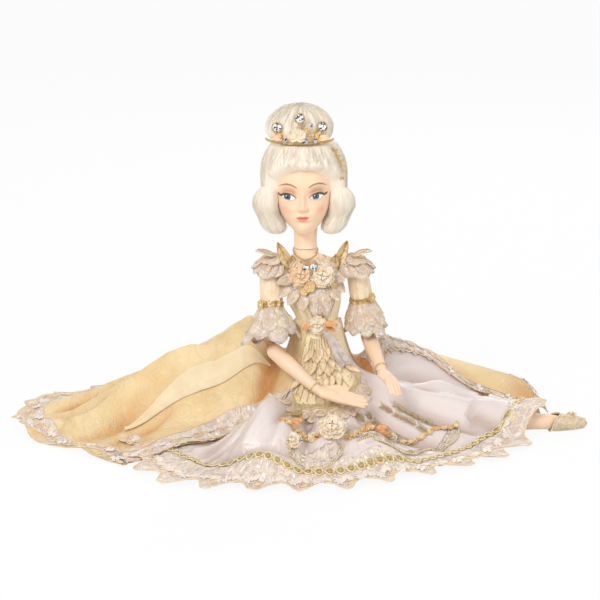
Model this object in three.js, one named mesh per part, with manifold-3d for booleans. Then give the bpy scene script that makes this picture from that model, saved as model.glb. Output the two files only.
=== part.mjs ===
// Seated lady doll in court dress: cloth body on a weighted seat, resin head, forearms, hands and legs,
// mohair hair with a tiara, and a gown of padded petticoat, satin underskirt, brocade overskirt and lace.
// Millimetres, +Z up, the doll faces -Y and its right side is at -X. Origin: centre of the seat's underside.

import * as THREE from 'three';
import { mergeVertices } from 'three/addons/utils/BufferGeometryUtils.js';
import Module from 'manifold-3d';

const wasm = await Module();
wasm.setup();

// Clearances
const GAP = 0.3;
const CLOTH_GAP = 0.6;

// Seat, trunk and neck
const SEAT_RADIUS = 36;
const SEAT_HEIGHT = 26;
const WAIST_HEIGHT = 143;
const WAIST_HALF_WIDTH = 21.5;
const WAIST_HALF_DEPTH = 17.5;
const HIP_HALF_WIDTH = 37;
const HIP_HALF_DEPTH = 29;
const SHOULDER_HEIGHT = 216;
const CHEST_HEIGHT = SHOULDER_HEIGHT - 23;
const CHEST_HALF_WIDTH = 32;
const CHEST_HALF_DEPTH = 24;
const CHEST_OFFSET = -6;
const PLATE_BOTTOM = SHOULDER_HEIGHT - 19;
const BODICE_TOP = SHOULDER_HEIGHT + 5;
const BODICE_WALL = 2;
const NECK_RADIUS = 13;
const NECK_LENGTH = 24;
const NECK_JOINT_HEIGHT = SHOULDER_HEIGHT + NECK_LENGTH;
const NECK_X = -15;
const NECK_Y = -5;
const NECK_PEG_RADIUS = 4;
const NECK_PEG_LENGTH = 34;
const ARM_WIRE_RADIUS = 1.6;

// Head and hair
const HEAD_X = NECK_X - 2;
const FACE_HALF_WIDTH = 33;
const FACE_DEPTH = 39;
const HEAD_BACK_DEPTH = 39;
const CHIN_HEIGHT = NECK_JOINT_HEIGHT + 17;
const HEAD_HEIGHT = 104;
const EYE_HEIGHT = CHIN_HEIGHT + HEAD_HEIGHT * 0.46;
const CROWN_HEIGHT = CHIN_HEIGHT + HEAD_HEIGHT;
const HAIR_HALF_WIDTH = 52;
const HAIR_HALF_DEPTH = 50;
const HAIR_TOP = CROWN_HEIGHT + 6;
const HAIRLINE_HEIGHT = HAIR_TOP - 31;
const FACE_ARCH_HEIGHT = 26;
const BUN_RADIUS = 39;
const BUN_HEIGHT = 45;
const BUN_X = HEAD_X - 5;
const CURL_RADIUS = 14;
const CURL_LENGTH = 50;
const CURL_SPREAD = 47;
const CURL_HEIGHT = CHIN_HEIGHT + 27;
const TIARA_WALL = 3;
const TIARA_HEIGHT = 9;
const STONE_RADIUS = 7;
const STONES = [
  { name: 'right', angle: -128, rise: 14 },
  { name: 'middle', angle: -90, rise: 25 },
  { name: 'left', angle: -52, rise: 14 },
];

// Arms: each runs from shoulder to elbow to wrist to fingertips, and all but the shoulder lie over the lap
const ARM_HEIGHT = SHOULDER_HEIGHT - 3;
const SLEEVE_RADIUS = 12.5;
const SLEEVE_WALL = 2;
const SLEEVE_SHARE = 0.8;
const ELBOW_RADIUS = 9.5;
const WRIST_RADIUS = 6.2;
const CUFF_LENGTH = 32;
const HAND_LENGTH = 52;
const BRACELET_WIRE = 1.2;
const ARMS = {
  right: {
    shoulder: [-57, 0, ARM_HEIGHT], elbow: [-54, -34], wrist: [1, -81], hand: [58, -86],
    overLap: { elbow: 69.71, wrist: 31.18, hand: 42.31 }, cuffRadius: 29, cuffDrop: -4,
  },
  left: {
    shoulder: [46, 0, ARM_HEIGHT], elbow: [60, 6], wrist: [76, -52], hand: [94, -84],
    overLap: { elbow: 60.93, wrist: 43.5, hand: 72.78 }, cuffRadius: 24, cuffDrop: -8,
  },
};

// Legs: each runs from hip to knee to ankle to toe
const LEG_SIDES = 12;
const THIGH_RADIUS = 21;
const KNEE_RADIUS = 16;
const KNEE_CLEARANCE = GAP + KNEE_RADIUS * (1 - Math.cos(Math.PI / LEG_SIDES));
const ANKLE_RADIUS = 10;
const SHOE_WALL = 2.2;
const LEGS = {
  right: { hip: [-25, -14, 42], knee: [-60, -90, 25], ankle: [12, -106, 18], toe: [56, -113, 13] },
  left: { hip: [28, -4, 42], knee: [140, 0, 26], ankle: [284, 9, 17], toe: [331, 15, 13] },
};

// Gown: outlines are [angle in degrees from +X, reach] on the table
const SKIRT_WAIST_HALF_WIDTH = 27;
const SKIRT_WAIST_HALF_DEPTH = 23;
const SKIRT_FLARE = 82;
const CLOTH_THICKNESS = 1.6;
const LACE_THICKNESS = 1.4;
const PETTICOAT_RIM = 4;
const HEM_OUTLINE = [
  [-180, 238], [-153, 247], [-139, 254], [-127, 233], [-113, 209], [-97, 198], [-78, 191], [-59, 182],
  [-37, 203], [-18, 243], [-2, 272], [12, 298], [30, 258], [60, 205], [90, 185], [130, 205], [180, 238],
];
const TRAIN_OUTLINE = [
  [-180, 362], [-175, 352], [-172, 310], [-164, 282], [-156, 252], [-150, 250], [-2, 276], [14, 302],
  [24, 312], [33, 334], [45, 300], [60, 258], [80, 238], [100, 236], [122, 262], [140, 318],
  [155, 376], [168, 400], [180, 362],
];
// How the gores leave the waist: [angle at the hem, angle at the waist]
const GORES = [
  [-180, -150], [-153, -113], [-97, -97], [-37, -74], [-3, -50], [30, 10], [90, 90], [150, 165], [180, 210],
];
const GORE_STEP = 7.5;
const FOOT_GORES = [-3.75, 3.75, 11.25];
const SKIRT_ROWS = [0, 0.08, 0.18, 0.3, 0.43, 0.57, 0.7, 0.8, 0.88, 0.94, 1];
const TRAIN_ROWS = [1.3, 1.6, 1.88, 2];
const PETTICOAT_LAST_ROW = 7;
const SATIN_LAST_ROW = 8;
const HEM_ROW = 10;
const BROCADE_LAST_ROW = 13;
const TRAIN_LAST_ROW = 14;
const OPENING_LEFT = -157.5;
const OPENING_RIGHT = 0;
const BACK_LEFT = 150;
const BACK_RIGHT = 45;
const BACK_MIDDLE = 97.5;
const LACE_START = 15;
const FOLD_COUNT = 13;
const FOLD_HEIGHT = 5;
const BRAID_ROW = 0.835;
const BRAID_WIDTH = 8;
const BRAID_THICKNESS = 2.6;
const LACE_BAND_WIDTH = 26;
const FRONT_LACE_SETTLE = { left: -0.3, right: 0.6 };
const BRAID_SETTLE = 0.9;
const BEAD_SETTLE = 1.3;

// Mounds under the skirts: what the seated body and its padding lift
const HIP_MOUND = { height: WAIST_HEIGHT + 2, sideDecay: 32, frontDecay: 58 };
const MOUNDS = [
  { from: [-60, -92], to: [-58, -118], height: [66, 58], width: 44 },
  { from: [-50, -112], to: [60, -116], height: [46, 42], width: 40 },
  { from: [42, -30], to: [150, -4], height: [90, 56], width: 48 },
  { from: [150, 0], to: [250, 7], height: [54, 40], width: 36 },
];
const PANNIERS = [
  { from: [-84, 42], to: [-300, 80], height: [136, 30], width: 56 },
  { from: [84, 50], to: [252, 110], height: [106, 42], width: 52 },
  { from: [0, 60], to: [0, 190], height: [104, 14], width: 74 },
];
const FOOT_COVER = { from: [60, 2], to: [292, 10], height: 36, width: 27 };

// Trimmings
const APRON_REACH = 0.42;
const APRON_LEFT = -141;
const APRON_RIGHT = -9;
const BEAD_EDGE_WIDTH = 5;
const ROSE_SIZES = { rose_peach: 11.5, rose_cream: 13, waist_rose: 9.5, garland_rose: 15 };
const FLOWER_BACK = 0.75;
const GARLAND_WIDTH = 12;
const GARLAND_HEIGHT = 7;
const GARLAND_ROW = 0.68;
const GARLAND_START = -110;
const GARLAND_END = -42;
const GARLAND_ROSE_GORE = -80;
const LACE_POINT_LENGTH = 46;
const LACE_POINT_WIDTH = 32;
const NECKLACE_DROP = 9;

const satin = { color: 0xe9dcd2, roughness: 0.35, metalness: 0.05 };
const brocade = { color: 0xeccf96, roughness: 0.6, metalness: 0.1 };
const lace = { color: 0xcdb9a5, roughness: 0.85, metalness: 0 };
const skin = { color: 0xf6d5b5, roughness: 0.45, metalness: 0 };
const mohair = { color: 0xf1e6cf, roughness: 0.95, metalness: 0 };
const gold = { color: 0xc9a85a, roughness: 0.35, metalness: 0.8 };
const crystal = { color: 0xd9dfe8, roughness: 0.05, metalness: 0.1 };
const padding = { color: 0xf3efe6, roughness: 0.95, metalness: 0 };
const peachSilk = { color: 0xebb078, roughness: 0.6, metalness: 0 };
const creamSilk = { color: 0xf0e1c0, roughness: 0.6, metalness: 0 };
const shoeCloth = { color: 0xd9bd7c, roughness: 0.5, metalness: 0.3 };

// Roses on the neckline: place on the trunk, lean, and height of the bloom
const ROSES = [
  { name: 'rose_peach', x: -21, z: SHOULDER_HEIGHT - 4, tilt: 14, height: 9, look: peachSilk },
  { name: 'rose_cream', x: 5, z: SHOULDER_HEIGHT - 6, tilt: 14, height: 9, look: creamSilk },
];

const doll = new THREE.Group();
const v3 = (p) => new THREE.Vector3(...p);
const clamp01 = (t) => Math.min(1, Math.max(0, t));
const radians = (a) => (a * Math.PI) / 180;

function addPart(name, geometry, look, parent = doll) {
  const mesh = new THREE.Mesh(geometry, new THREE.MeshStandardMaterial(look));
  mesh.name = name;
  parent.add(mesh);
  return mesh;
}

function mergedCopy(geometry) {
  const bare = geometry.clone();
  bare.deleteAttribute('normal');
  bare.deleteAttribute('uv');
  return mergeVertices(bare, 1e-4);
}

function toSolid(geometry, matrix) {
  const merged = mergedCopy(geometry);
  if (matrix) merged.applyMatrix4(matrix);
  return new wasm.Manifold(new wasm.Mesh({
    numProp: 3,
    vertProperties: new Float32Array(merged.attributes.position.array),
    triVerts: new Uint32Array(merged.index.array),
  }));
}

function toGeometry(solid) {
  const mesh = solid.getMesh();
  const geometry = new THREE.BufferGeometry();
  geometry.setAttribute('position', new THREE.BufferAttribute(mesh.vertProperties, 3));
  geometry.setIndex(new THREE.BufferAttribute(mesh.triVerts, 1));
  geometry.computeVertexNormals();
  return geometry;
}

// Only the largest body of a cut is kept, because a cut may leave a sliver
function largestBody(solid) {
  return solid.decompose().sort((a, b) => b.volume() - a.volume())[0];
}

function joined(geometries) {
  return geometries.map((g) => toSolid(g)).reduce((a, b) => a.add(b));
}

function closedGeometry(points, faces) {
  const geometry = new THREE.BufferGeometry();
  geometry.setAttribute('position', new THREE.Float32BufferAttribute(points.flatMap((p) => p.toArray()), 3));
  geometry.setIndex(faces);
  geometry.computeVertexNormals();
  return geometry;
}

// Rings of equal count, first to last, closed with a fan at each end
function loft(rings) {
  const sides = rings[0].length;
  const points = rings.flat();
  const faces = [];
  for (let k = 0; k + 1 < rings.length; k += 1) {
    for (let s = 0; s < sides; s += 1) {
      const a = k * sides + s;
      const b = k * sides + ((s + 1) % sides);
      faces.push(a, b, b + sides, a, b + sides, a + sides);
    }
  }
  const centre = (ring) => ring.reduce((sum, p) => sum.add(p), new THREE.Vector3()).divideScalar(sides);
  points.push(centre(rings[0]), centre(rings.at(-1)));
  const top = (rings.length - 1) * sides;
  for (let s = 0; s < sides; s += 1) {
    const next = (s + 1) % sides;
    faces.push(points.length - 2, next, s, points.length - 1, top + s, top + next);
  }
  return closedGeometry(points, faces);
}

// An oval ring at one height, with its own reach to front (-Y) and back (+Y)
function ovalRing(x, y, z, halfWidth, front, back, sides, grow = 0) {
  return Array.from({ length: sides }, (_, s) => {
    const a = (s / sides) * 2 * Math.PI;
    const reach = Math.sin(a) < 0 ? front : back;
    return new THREE.Vector3(x + (halfWidth + grow) * Math.cos(a), y + (reach + grow) * Math.sin(a), z);
  });
}

// A limb through the given points with a radius at each; an end radius near zero rounds it off
function limb(path, radii, sides = 10, grow = 0) {
  const at = path.map(v3);
  const along = at.at(-1).clone().sub(at[0]).normalize();
  const side = Math.abs(along.z) > 0.8 ? new THREE.Vector3(1, 0, 0) : new THREE.Vector3(0, 0, 1);
  const rings = at.map((p, k) => {
    const ahead = at[Math.min(k + 1, at.length - 1)].clone().sub(at[Math.max(k - 1, 0)]).normalize();
    const u = side.clone().cross(ahead).normalize();
    const w = ahead.clone().cross(u);
    return Array.from({ length: sides }, (_, s) => {
      const a = (s / sides) * 2 * Math.PI;
      const r = radii[k] + grow;
      return p.clone().addScaledVector(u, r * Math.cos(a)).addScaledVector(w, r * Math.sin(a));
    });
  });
  return loft(rings);
}

const between = (a, b, t) => a.map((value, k) => value + (b[k] - value) * t);

// A limb from a to b with rounded ends: the radius runs from ra to rb
function roundedLimb(a, b, ra, rb, sides = 10, grow = 0) {
  const length = v3(a).distanceTo(v3(b));
  const steps = [[-1, 0.15], [-0.7, 0.71], [0, 1]];
  const first = steps.map(([s, k]) => [(s * ra) / length, ra * k]);
  const last = steps.map(([s, k]) => [1 - (s * rb) / length, rb * k]).reverse();
  const stations = [...first, ...last];
  const path = stations.map(([t]) => between(a, b, t));
  return limb(path, stations.map(([, r]) => r), sides, grow);
}

// A frame whose +Z runs from a to b
function alongFrame(a, b) {
  const turn = new THREE.Quaternion().setFromUnitVectors(
    new THREE.Vector3(0, 0, 1), v3(b).sub(v3(a)).normalize());
  return new THREE.Matrix4().compose(v3(a), turn, new THREE.Vector3(1, 1, 1));
}

function turned(points, segments) {
  return new THREE.LatheGeometry(points.map(([r, z]) => new THREE.Vector2(r, z)), segments)
    .rotateX(Math.PI / 2);
}

function interpolate(table, x) {
  for (let k = 0; k + 1 < table.length; k += 1) {
    const [x0, y0] = table[k];
    const [x1, y1] = table[k + 1];
    if (x <= x1) return y0 + ((y1 - y0) * (x - x0)) / (x1 - x0);
  }
  return table.at(-1)[1];
}

// Gown lattice: gore lines by rows. Every layer uses it, so that layers nest face to face.
const goreAngles = [];
for (let a = -180; a < 180; a += GORE_STEP) goreAngles.push(a);
goreAngles.push(...FOOT_GORES);
goreAngles.sort((a, b) => a - b);
const rowValues = [...SKIRT_ROWS, ...TRAIN_ROWS];

function gorePoint(angle, row) {
  const wrapped = angle >= 180 ? angle - 360 : angle;
  const hemAngle = radians(wrapped);
  const waistAngle = radians(interpolate(GORES, wrapped));
  const hem = interpolate(HEM_OUTLINE, wrapped);
  const train = Math.max(interpolate(TRAIN_OUTLINE, wrapped), hem + 1);
  if (row > 1) {
    const reach = hem + (train - hem) * (row - 1);
    return [reach * Math.cos(hemAngle), reach * Math.sin(hemAngle)];
  }
  const a = (1 - row) ** 2;
  const b = 2 * row * (1 - row);
  const c = row ** 2;
  return [
    (a * SKIRT_WAIST_HALF_WIDTH + b * SKIRT_FLARE) * Math.cos(waistAngle) + c * hem * Math.cos(hemAngle),
    (a * SKIRT_WAIST_HALF_DEPTH + b * SKIRT_FLARE) * Math.sin(waistAngle) + c * hem * Math.sin(hemAngle),
  ];
}

function moundHeight({ from, to, height, width }, x, y, power = 2) {
  const dx = to[0] - from[0];
  const dy = to[1] - from[1];
  const t = clamp01(((x - from[0]) * dx + (y - from[1]) * dy) / (dx * dx + dy * dy));
  const away = Math.hypot(x - from[0] - t * dx, y - from[1] - t * dy);
  const top = Array.isArray(height) ? height[0] + (height[1] - height[0]) * t : height;
  return top * Math.exp(-((away / width) ** power));
}

const blendHeights = (heights) => heights.reduce((sum, h) => sum + h ** 4, 0) ** 0.25;

function hipHeight(x, y) {
  const reach = Math.max(Math.hypot(x, y), 1e-6);
  const outX = Math.max(0, Math.abs(x) * (1 - SKIRT_WAIST_HALF_WIDTH / reach));
  const outY = Math.max(0, Math.abs(y) * (1 - SKIRT_WAIST_HALF_DEPTH / reach));
  return HIP_MOUND.height * Math.exp(-Math.hypot(outX / HIP_MOUND.sideDecay, outY / HIP_MOUND.frontDecay));
}

function petticoatTop(x, y, row) {
  const fall = Math.sqrt(Math.max(0, 1 - row ** 5));
  const mounds = [...MOUNDS, ...PANNIERS].map((m) => moundHeight(m, x, y) * fall);
  const cover = moundHeight(FOOT_COVER, x, y, 4);
  return Math.max(PETTICOAT_RIM, blendHeights([hipHeight(x, y) * fall, cover, ...mounds]));
}

// Where an arm's elbow, wrist and fingertips are, each at its height over the lap
const armOverLap = ({ overLap, ...arm }) => Object.fromEntries(
  Object.entries(overLap).map(([joint, lift]) => {
    const [x, y] = arm[joint];
    return [joint, [x, y, petticoatTop(x, y, 0) + lift]];
  }),
);

function foldHeight(angle, row) {
  return FOLD_HEIGHT * clamp01(row * 1.6 - 0.25) * (0.5 + 0.5 * Math.cos(radians(angle) * FOLD_COUNT));
}

const satinBottom = (x, y, row, angle) => {
  if (row > SKIRT_ROWS[PETTICOAT_LAST_ROW]) {
    return moundHeight(FOOT_COVER, x, y, 4) + (row < 0.9 ? foldHeight(angle, row) * 0.4 : 0);
  }
  return petticoatTop(x, y, row) + CLOTH_GAP + foldHeight(angle, row);
};
const satinTop = (x, y, row, angle) => satinBottom(x, y, row, angle) + CLOTH_THICKNESS;

const laceBottom = (x, y, row, angle) => {
  if (row <= SKIRT_ROWS[SATIN_LAST_ROW]) return satinTop(x, y, row, angle) + CLOTH_GAP;
  return moundHeight(FOOT_COVER, x, y, 4);
};
const laceTop = (x, y, row, angle) => laceBottom(x, y, row, angle) + LACE_THICKNESS;

// The overskirt rides over lace and satin, and arches beyond the hem on its own stiffness
const brocadeBottom = (x, y, row, angle) => {
  const under = row <= 1 ? laceTopOrSatin(x, y, row, angle) + CLOTH_GAP : moundHeight(FOOT_COVER, x, y, 4);
  const fall = Math.sqrt(Math.max(0, 1 - (row / 2) ** 3));
  const arch = blendHeights(PANNIERS.map((m) => moundHeight(m, x, y))) * fall;
  const edgeFold = row > 1 ? foldHeight(angle, row) * (2 - row) : 0;
  return Math.max(under, arch + edgeFold);
};
const laceTopOrSatin = (x, y, row, angle) => Math.max(
  row <= SKIRT_ROWS[SATIN_LAST_ROW] ? satinTop(x, y, row, angle) : 0,
  row >= SKIRT_ROWS[PETTICOAT_LAST_ROW] ? laceTop(x, y, row, angle) : 0,
);
const brocadeTop = (x, y, row, angle) => brocadeBottom(x, y, row, angle) + CLOTH_THICKNESS;

// The gore lines from one angle on to another, going round once where the two are the same
function goresBetween(start, end) {
  const lines = goreAngles.flatMap((a) => [a - 360, a, a + 360]).sort((a, b) => a - b);
  const last = end <= start ? end + 360 : end;
  return lines.filter((a) => a >= start && a <= last);
}

// A sheet of cells between two surfaces given over the same points
function sheetSolid(upper, lower, round) {
  const across = upper.length;
  const down = upper[0].length;
  const points = [...upper.flat(), ...lower.flat()];
  const under = across * down;
  const at = (i, j) => (i % across) * down + j;
  const faces = [];
  const quad = (a, b, c, d) => faces.push(a, b, c, a, c, d);
  const cells = round ? across : across - 1;
  for (let i = 0; i < cells; i += 1) {
    for (let j = 0; j + 1 < down; j += 1) {
      quad(at(i, j), at(i, j + 1), at(i + 1, j + 1), at(i + 1, j));
      quad(under + at(i, j), under + at(i + 1, j), under + at(i + 1, j + 1), under + at(i, j + 1));
    }
    quad(at(i, 0), at(i + 1, 0), under + at(i + 1, 0), under + at(i, 0));
    const j = down - 1;
    quad(at(i, j), under + at(i, j), under + at(i + 1, j), at(i + 1, j));
  }
  if (!round) {
    const i = across - 1;
    for (let j = 0; j + 1 < down; j += 1) {
      quad(at(0, j), under + at(0, j), under + at(0, j + 1), at(0, j + 1));
      quad(at(i, j), at(i, j + 1), under + at(i, j + 1), under + at(i, j));
    }
  }
  return closedGeometry(points, faces);
}

function gownLayer(start, end, firstRow, lastRow, bottom, top) {
  const round = start === end;
  const lines = goresBetween(start, end);
  if (round) lines.pop();
  const rows = rowValues.slice(firstRow, lastRow + 1);
  const surface = (height) => {
    const grid = lines.map((line) => rows.map((row) => {
      const angle = ((line + 540) % 360) - 180;
      const [x, y] = gorePoint(angle, row);
      return new THREE.Vector3(x, y, height(x, y, row, angle));
    }));
    if (!round) {
      drawIn(grid[0], grid[1]);
      drawIn(grid.at(-1), grid.at(-2));
    }
    return grid;
  };
  return sheetSolid(surface(top), surface(bottom), round);
}

// Neighbouring panels part by a running gap at their seam
function drawIn(edge, inner) {
  edge.forEach((p, k) => p.lerp(inner[k], GAP / 2 / p.distanceTo(inner[k])));
}

// Height of the highest faceted cloth over a point of the table
const clothFaces = [];

function recordCloth(geometry) {
  const { position } = geometry.attributes;
  const { array } = geometry.index;
  for (let k = 0; k < array.length; k += 3) {
    const [a, b, c] = [0, 1, 2].map((n) => new THREE.Vector3().fromBufferAttribute(position, array[k + n]));
    const area = (b.x - a.x) * (c.y - a.y) - (c.x - a.x) * (b.y - a.y);
    if (area > 1e-6) clothFaces.push({ a, b, c, area });
  }
  return geometry;
}

function clothHeight(x, y) {
  let highest = 0;
  for (const { a, b, c, area } of clothFaces) {
    const u = ((b.x - x) * (c.y - y) - (c.x - x) * (b.y - y)) / area;
    const v = ((c.x - x) * (a.y - y) - (a.x - x) * (c.y - y)) / area;
    const w = 1 - u - v;
    if (u > -1e-6 && v > -1e-6 && w > -1e-6) highest = Math.max(highest, u * a.z + v * b.z + w * c.z);
  }
  return highest;
}

// The highest cloth within a round footprint
function clothHeightUnder(x, y, radius) {
  const heights = [clothHeight(x, y)];
  for (let k = 0; k < 8; k += 1) {
    const a = (k / 8) * 2 * Math.PI;
    for (const r of [radius / 2, radius]) heights.push(clothHeight(x + r * Math.cos(a), y + r * Math.sin(a)));
  }
  return Math.max(...heights);
}

// A strip laid on the cloth along a route on plan, raised in its middle by the crown. It settles
// by the given amount below the highest cloth under each of its points.
function laidStrip(route, width, thickness, crown, columnCount = 3, settle = 0) {
  const columns = Array.from({ length: columnCount }, (_, k) => k / (columnCount - 1) - 0.5);
  const step = Math.hypot(route[1][0] - route[0][0], route[1][1] - route[0][1]);
  const reach = Math.max(step, width / (columnCount - 1)) * 0.62;
  const lower = route.map(([x, y], k) => {
    const [xa, ya] = route[Math.max(0, k - 1)];
    const [xb, yb] = route[Math.min(route.length - 1, k + 1)];
    const length = Math.hypot(xb - xa, yb - ya);
    const [nx, ny] = [(yb - ya) / length, -(xb - xa) / length];
    return columns.map((c) => {
      const [px, py] = [x + nx * c * width, y + ny * c * width];
      return new THREE.Vector3(px, py, clothHeightUnder(px, py, reach) + GAP - settle);
    });
  });
  const upper = lower.map((line) => line.map((p, c) => {
    const rise = thickness + crown * (1 - (2 * columns[c]) ** 2);
    return new THREE.Vector3(p.x, p.y, p.z + rise);
  }));
  return sheetSolid(upper, lower, false);
}

function alongGore(angle, firstRow, lastRow, count, shift) {
  return Array.from({ length: count + 1 }, (_, k) => {
    const row = firstRow + ((lastRow - firstRow) * k) / count;
    const [x, y] = gorePoint(angle, row);
    const [xa, ya] = gorePoint(angle, row - 0.01);
    const length = Math.hypot(x - xa, y - ya);
    return [x - ((y - ya) / length) * shift, y + ((x - xa) / length) * shift];
  });
}

function alongRow(row, start, end, count) {
  return Array.from({ length: count + 1 }, (_, k) => gorePoint(start + ((end - start) * k) / count, row));
}

// Trunk: one profile of half width, half depth and x offset by height
const TRUNK_PROFILE = [
  [SEAT_HEIGHT + GAP, HIP_HALF_WIDTH * 0.9, HIP_HALF_DEPTH * 0.95, 0],
  [SEAT_HEIGHT + 29, HIP_HALF_WIDTH, HIP_HALF_DEPTH, 0],
  [WAIST_HEIGHT - 55, HIP_HALF_WIDTH * 0.93, HIP_HALF_DEPTH * 0.95, 0],
  [WAIST_HEIGHT - 27, WAIST_HALF_WIDTH * 1.18, WAIST_HALF_DEPTH * 1.15, 0],
  [WAIST_HEIGHT, WAIST_HALF_WIDTH, WAIST_HALF_DEPTH, 0],
  [CHEST_HEIGHT - 25, CHEST_HALF_WIDTH * 0.88, CHEST_HALF_DEPTH * 0.88, CHEST_OFFSET * 0.6],
  [CHEST_HEIGHT, CHEST_HALF_WIDTH, CHEST_HALF_DEPTH, CHEST_OFFSET],
  [SHOULDER_HEIGHT, CHEST_HALF_WIDTH * 0.95, CHEST_HALF_DEPTH * 0.75, CHEST_OFFSET * 1.2],
  [NECK_JOINT_HEIGHT - 11, NECK_RADIUS * 1.45, NECK_RADIUS * 1.25, NECK_X * 0.8],
  [NECK_JOINT_HEIGHT - 5, NECK_RADIUS * 1.08, NECK_RADIUS * 1.05, NECK_X],
  [NECK_JOINT_HEIGHT - GAP, NECK_RADIUS, NECK_RADIUS, NECK_X],
];
const TRUNK_SIDES = 16;

function trunkRing(z, grow) {
  const column = (n) => TRUNK_PROFILE.map((row) => [row[0], row[n]]);
  const [width, depth, x] = [1, 2, 3].map((n) => interpolate(column(n), z));
  const y = z > SHOULDER_HEIGHT ? NECK_Y * clamp01((z - SHOULDER_HEIGHT) / (NECK_LENGTH * 0.67)) : 0;
  return ovalRing(x, y, z, width, depth, depth, TRUNK_SIDES, grow);
}

function trunkLoft(low, high, grow = 0, step = 30) {
  const inside = TRUNK_PROFILE.map((row) => row[0]).filter((z) => z > low + 1 && z < high - 1);
  const heights = [low, ...inside, high];
  const dense = heights.flatMap((z, k) => {
    const next = heights[k + 1];
    if (next === undefined) return [z];
    const count = Math.ceil((next - z) / step);
    return Array.from({ length: count }, (_, n) => z + ((next - z) * n) / count);
  });
  return loft(dense.map((z) => trunkRing(z, grow)));
}

function makeTrunk() {
  const seat = new THREE.CylinderGeometry(SEAT_RADIUS, SEAT_RADIUS, SEAT_HEIGHT, 24);
  seat.rotateX(Math.PI / 2).translate(0, 0, SEAT_HEIGHT / 2);
  addPart('seat_weight', seat, padding);
  addPart('torso_body', trunkLoft(SEAT_HEIGHT + GAP, PLATE_BOTTOM - GAP), padding);

  const peg = new THREE.CylinderGeometry(NECK_PEG_RADIUS, NECK_PEG_RADIUS, NECK_PEG_LENGTH, 16);
  peg.rotateX(Math.PI / 2).translate(NECK_X, NECK_Y, NECK_JOINT_HEIGHT);
  addPart('neck_peg', peg, { color: 0xc8a878, roughness: 0.7, metalness: 0 });
  const plate = toSolid(trunkLoft(PLATE_BOTTOM, NECK_JOINT_HEIGHT - GAP)).subtract(pegHole());
  addPart('shoulder_plate', toGeometry(plate.subtract(armWire(GAP))), skin);
  addPart('arm_wire', toGeometry(armWire(0)), { color: 0xa8a8a8, roughness: 0.4, metalness: 1 });

  const outer = toSolid(trunkLoft(WAIST_HEIGHT - 5, BODICE_TOP, GAP + BODICE_WALL));
  const inner = toSolid(trunkLoft(WAIST_HEIGHT - 9, BODICE_TOP + 4, GAP));
  addPart('bodice', toGeometry(outer.subtract(inner).subtract(armWire(GAP))), satin);
}

// The wire through the shoulders, on which both arms turn
function armWire(grow) {
  const ends = [ARMS.right.shoulder, ARMS.left.shoulder];
  const length = ends[1][0] - ends[0][0] + 2 * grow;
  const rod = new THREE.CylinderGeometry(ARM_WIRE_RADIUS + grow, ARM_WIRE_RADIUS + grow, length, 10)
    .rotateZ(Math.PI / 2).translate(...between(ends[0], ends[1], 0.5));
  return toSolid(rod);
}

function pegHole() {
  const bore = new THREE.CylinderGeometry(
    NECK_PEG_RADIUS + GAP, NECK_PEG_RADIUS + GAP, NECK_PEG_LENGTH + 2 * GAP, 16);
  bore.rotateX(Math.PI / 2).translate(NECK_X, NECK_Y, NECK_JOINT_HEIGHT);
  return toSolid(bore);
}

// Head: rings of half width, reach to the front and reach to the back, by height
const HEAD_SIDES = 18;
const HEAD_PROFILE = [
  [CHIN_HEIGHT, 0.2, 0.84, -0.45],
  [CHIN_HEIGHT + 3, 0.36, 0.95, -0.1],
  [CHIN_HEIGHT + 9, 0.58, 0.97, 0.3],
  [CHIN_HEIGHT + 19, 0.78, 0.97, 0.62],
  [CHIN_HEIGHT + 32, 0.93, 1, 0.86],
  [EYE_HEIGHT, 1, 0.96, 1],
  [EYE_HEIGHT + 16, 1, 1, 1],
  [EYE_HEIGHT + 31, 0.93, 0.92, 0.95],
  [CROWN_HEIGHT - 11, 0.74, 0.68, 0.76],
  [CROWN_HEIGHT - 3, 0.42, 0.38, 0.42],
  [CROWN_HEIGHT, 0.12, 0.1, 0.12],
];

function headLoft(grow = 0) {
  return loft(HEAD_PROFILE.map(([z, width, front, back], k) => {
    const lift = k === 0 ? -grow : (k === HEAD_PROFILE.length - 1 ? grow : 0);
    return ovalRing(HEAD_X, 0, z + lift, width * FACE_HALF_WIDTH, front * FACE_DEPTH,
      back * HEAD_BACK_DEPTH, HEAD_SIDES, grow);
  }));
}

function neckLoft(grow = 0) {
  const heights = [NECK_JOINT_HEIGHT - grow, CHIN_HEIGHT - 4, CHIN_HEIGHT + 14];
  return loft(heights.map((z, k) => ovalRing(
    NECK_X, NECK_Y + k * 2, z, NECK_RADIUS, NECK_RADIUS, NECK_RADIUS, 16, grow)));
}

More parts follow.
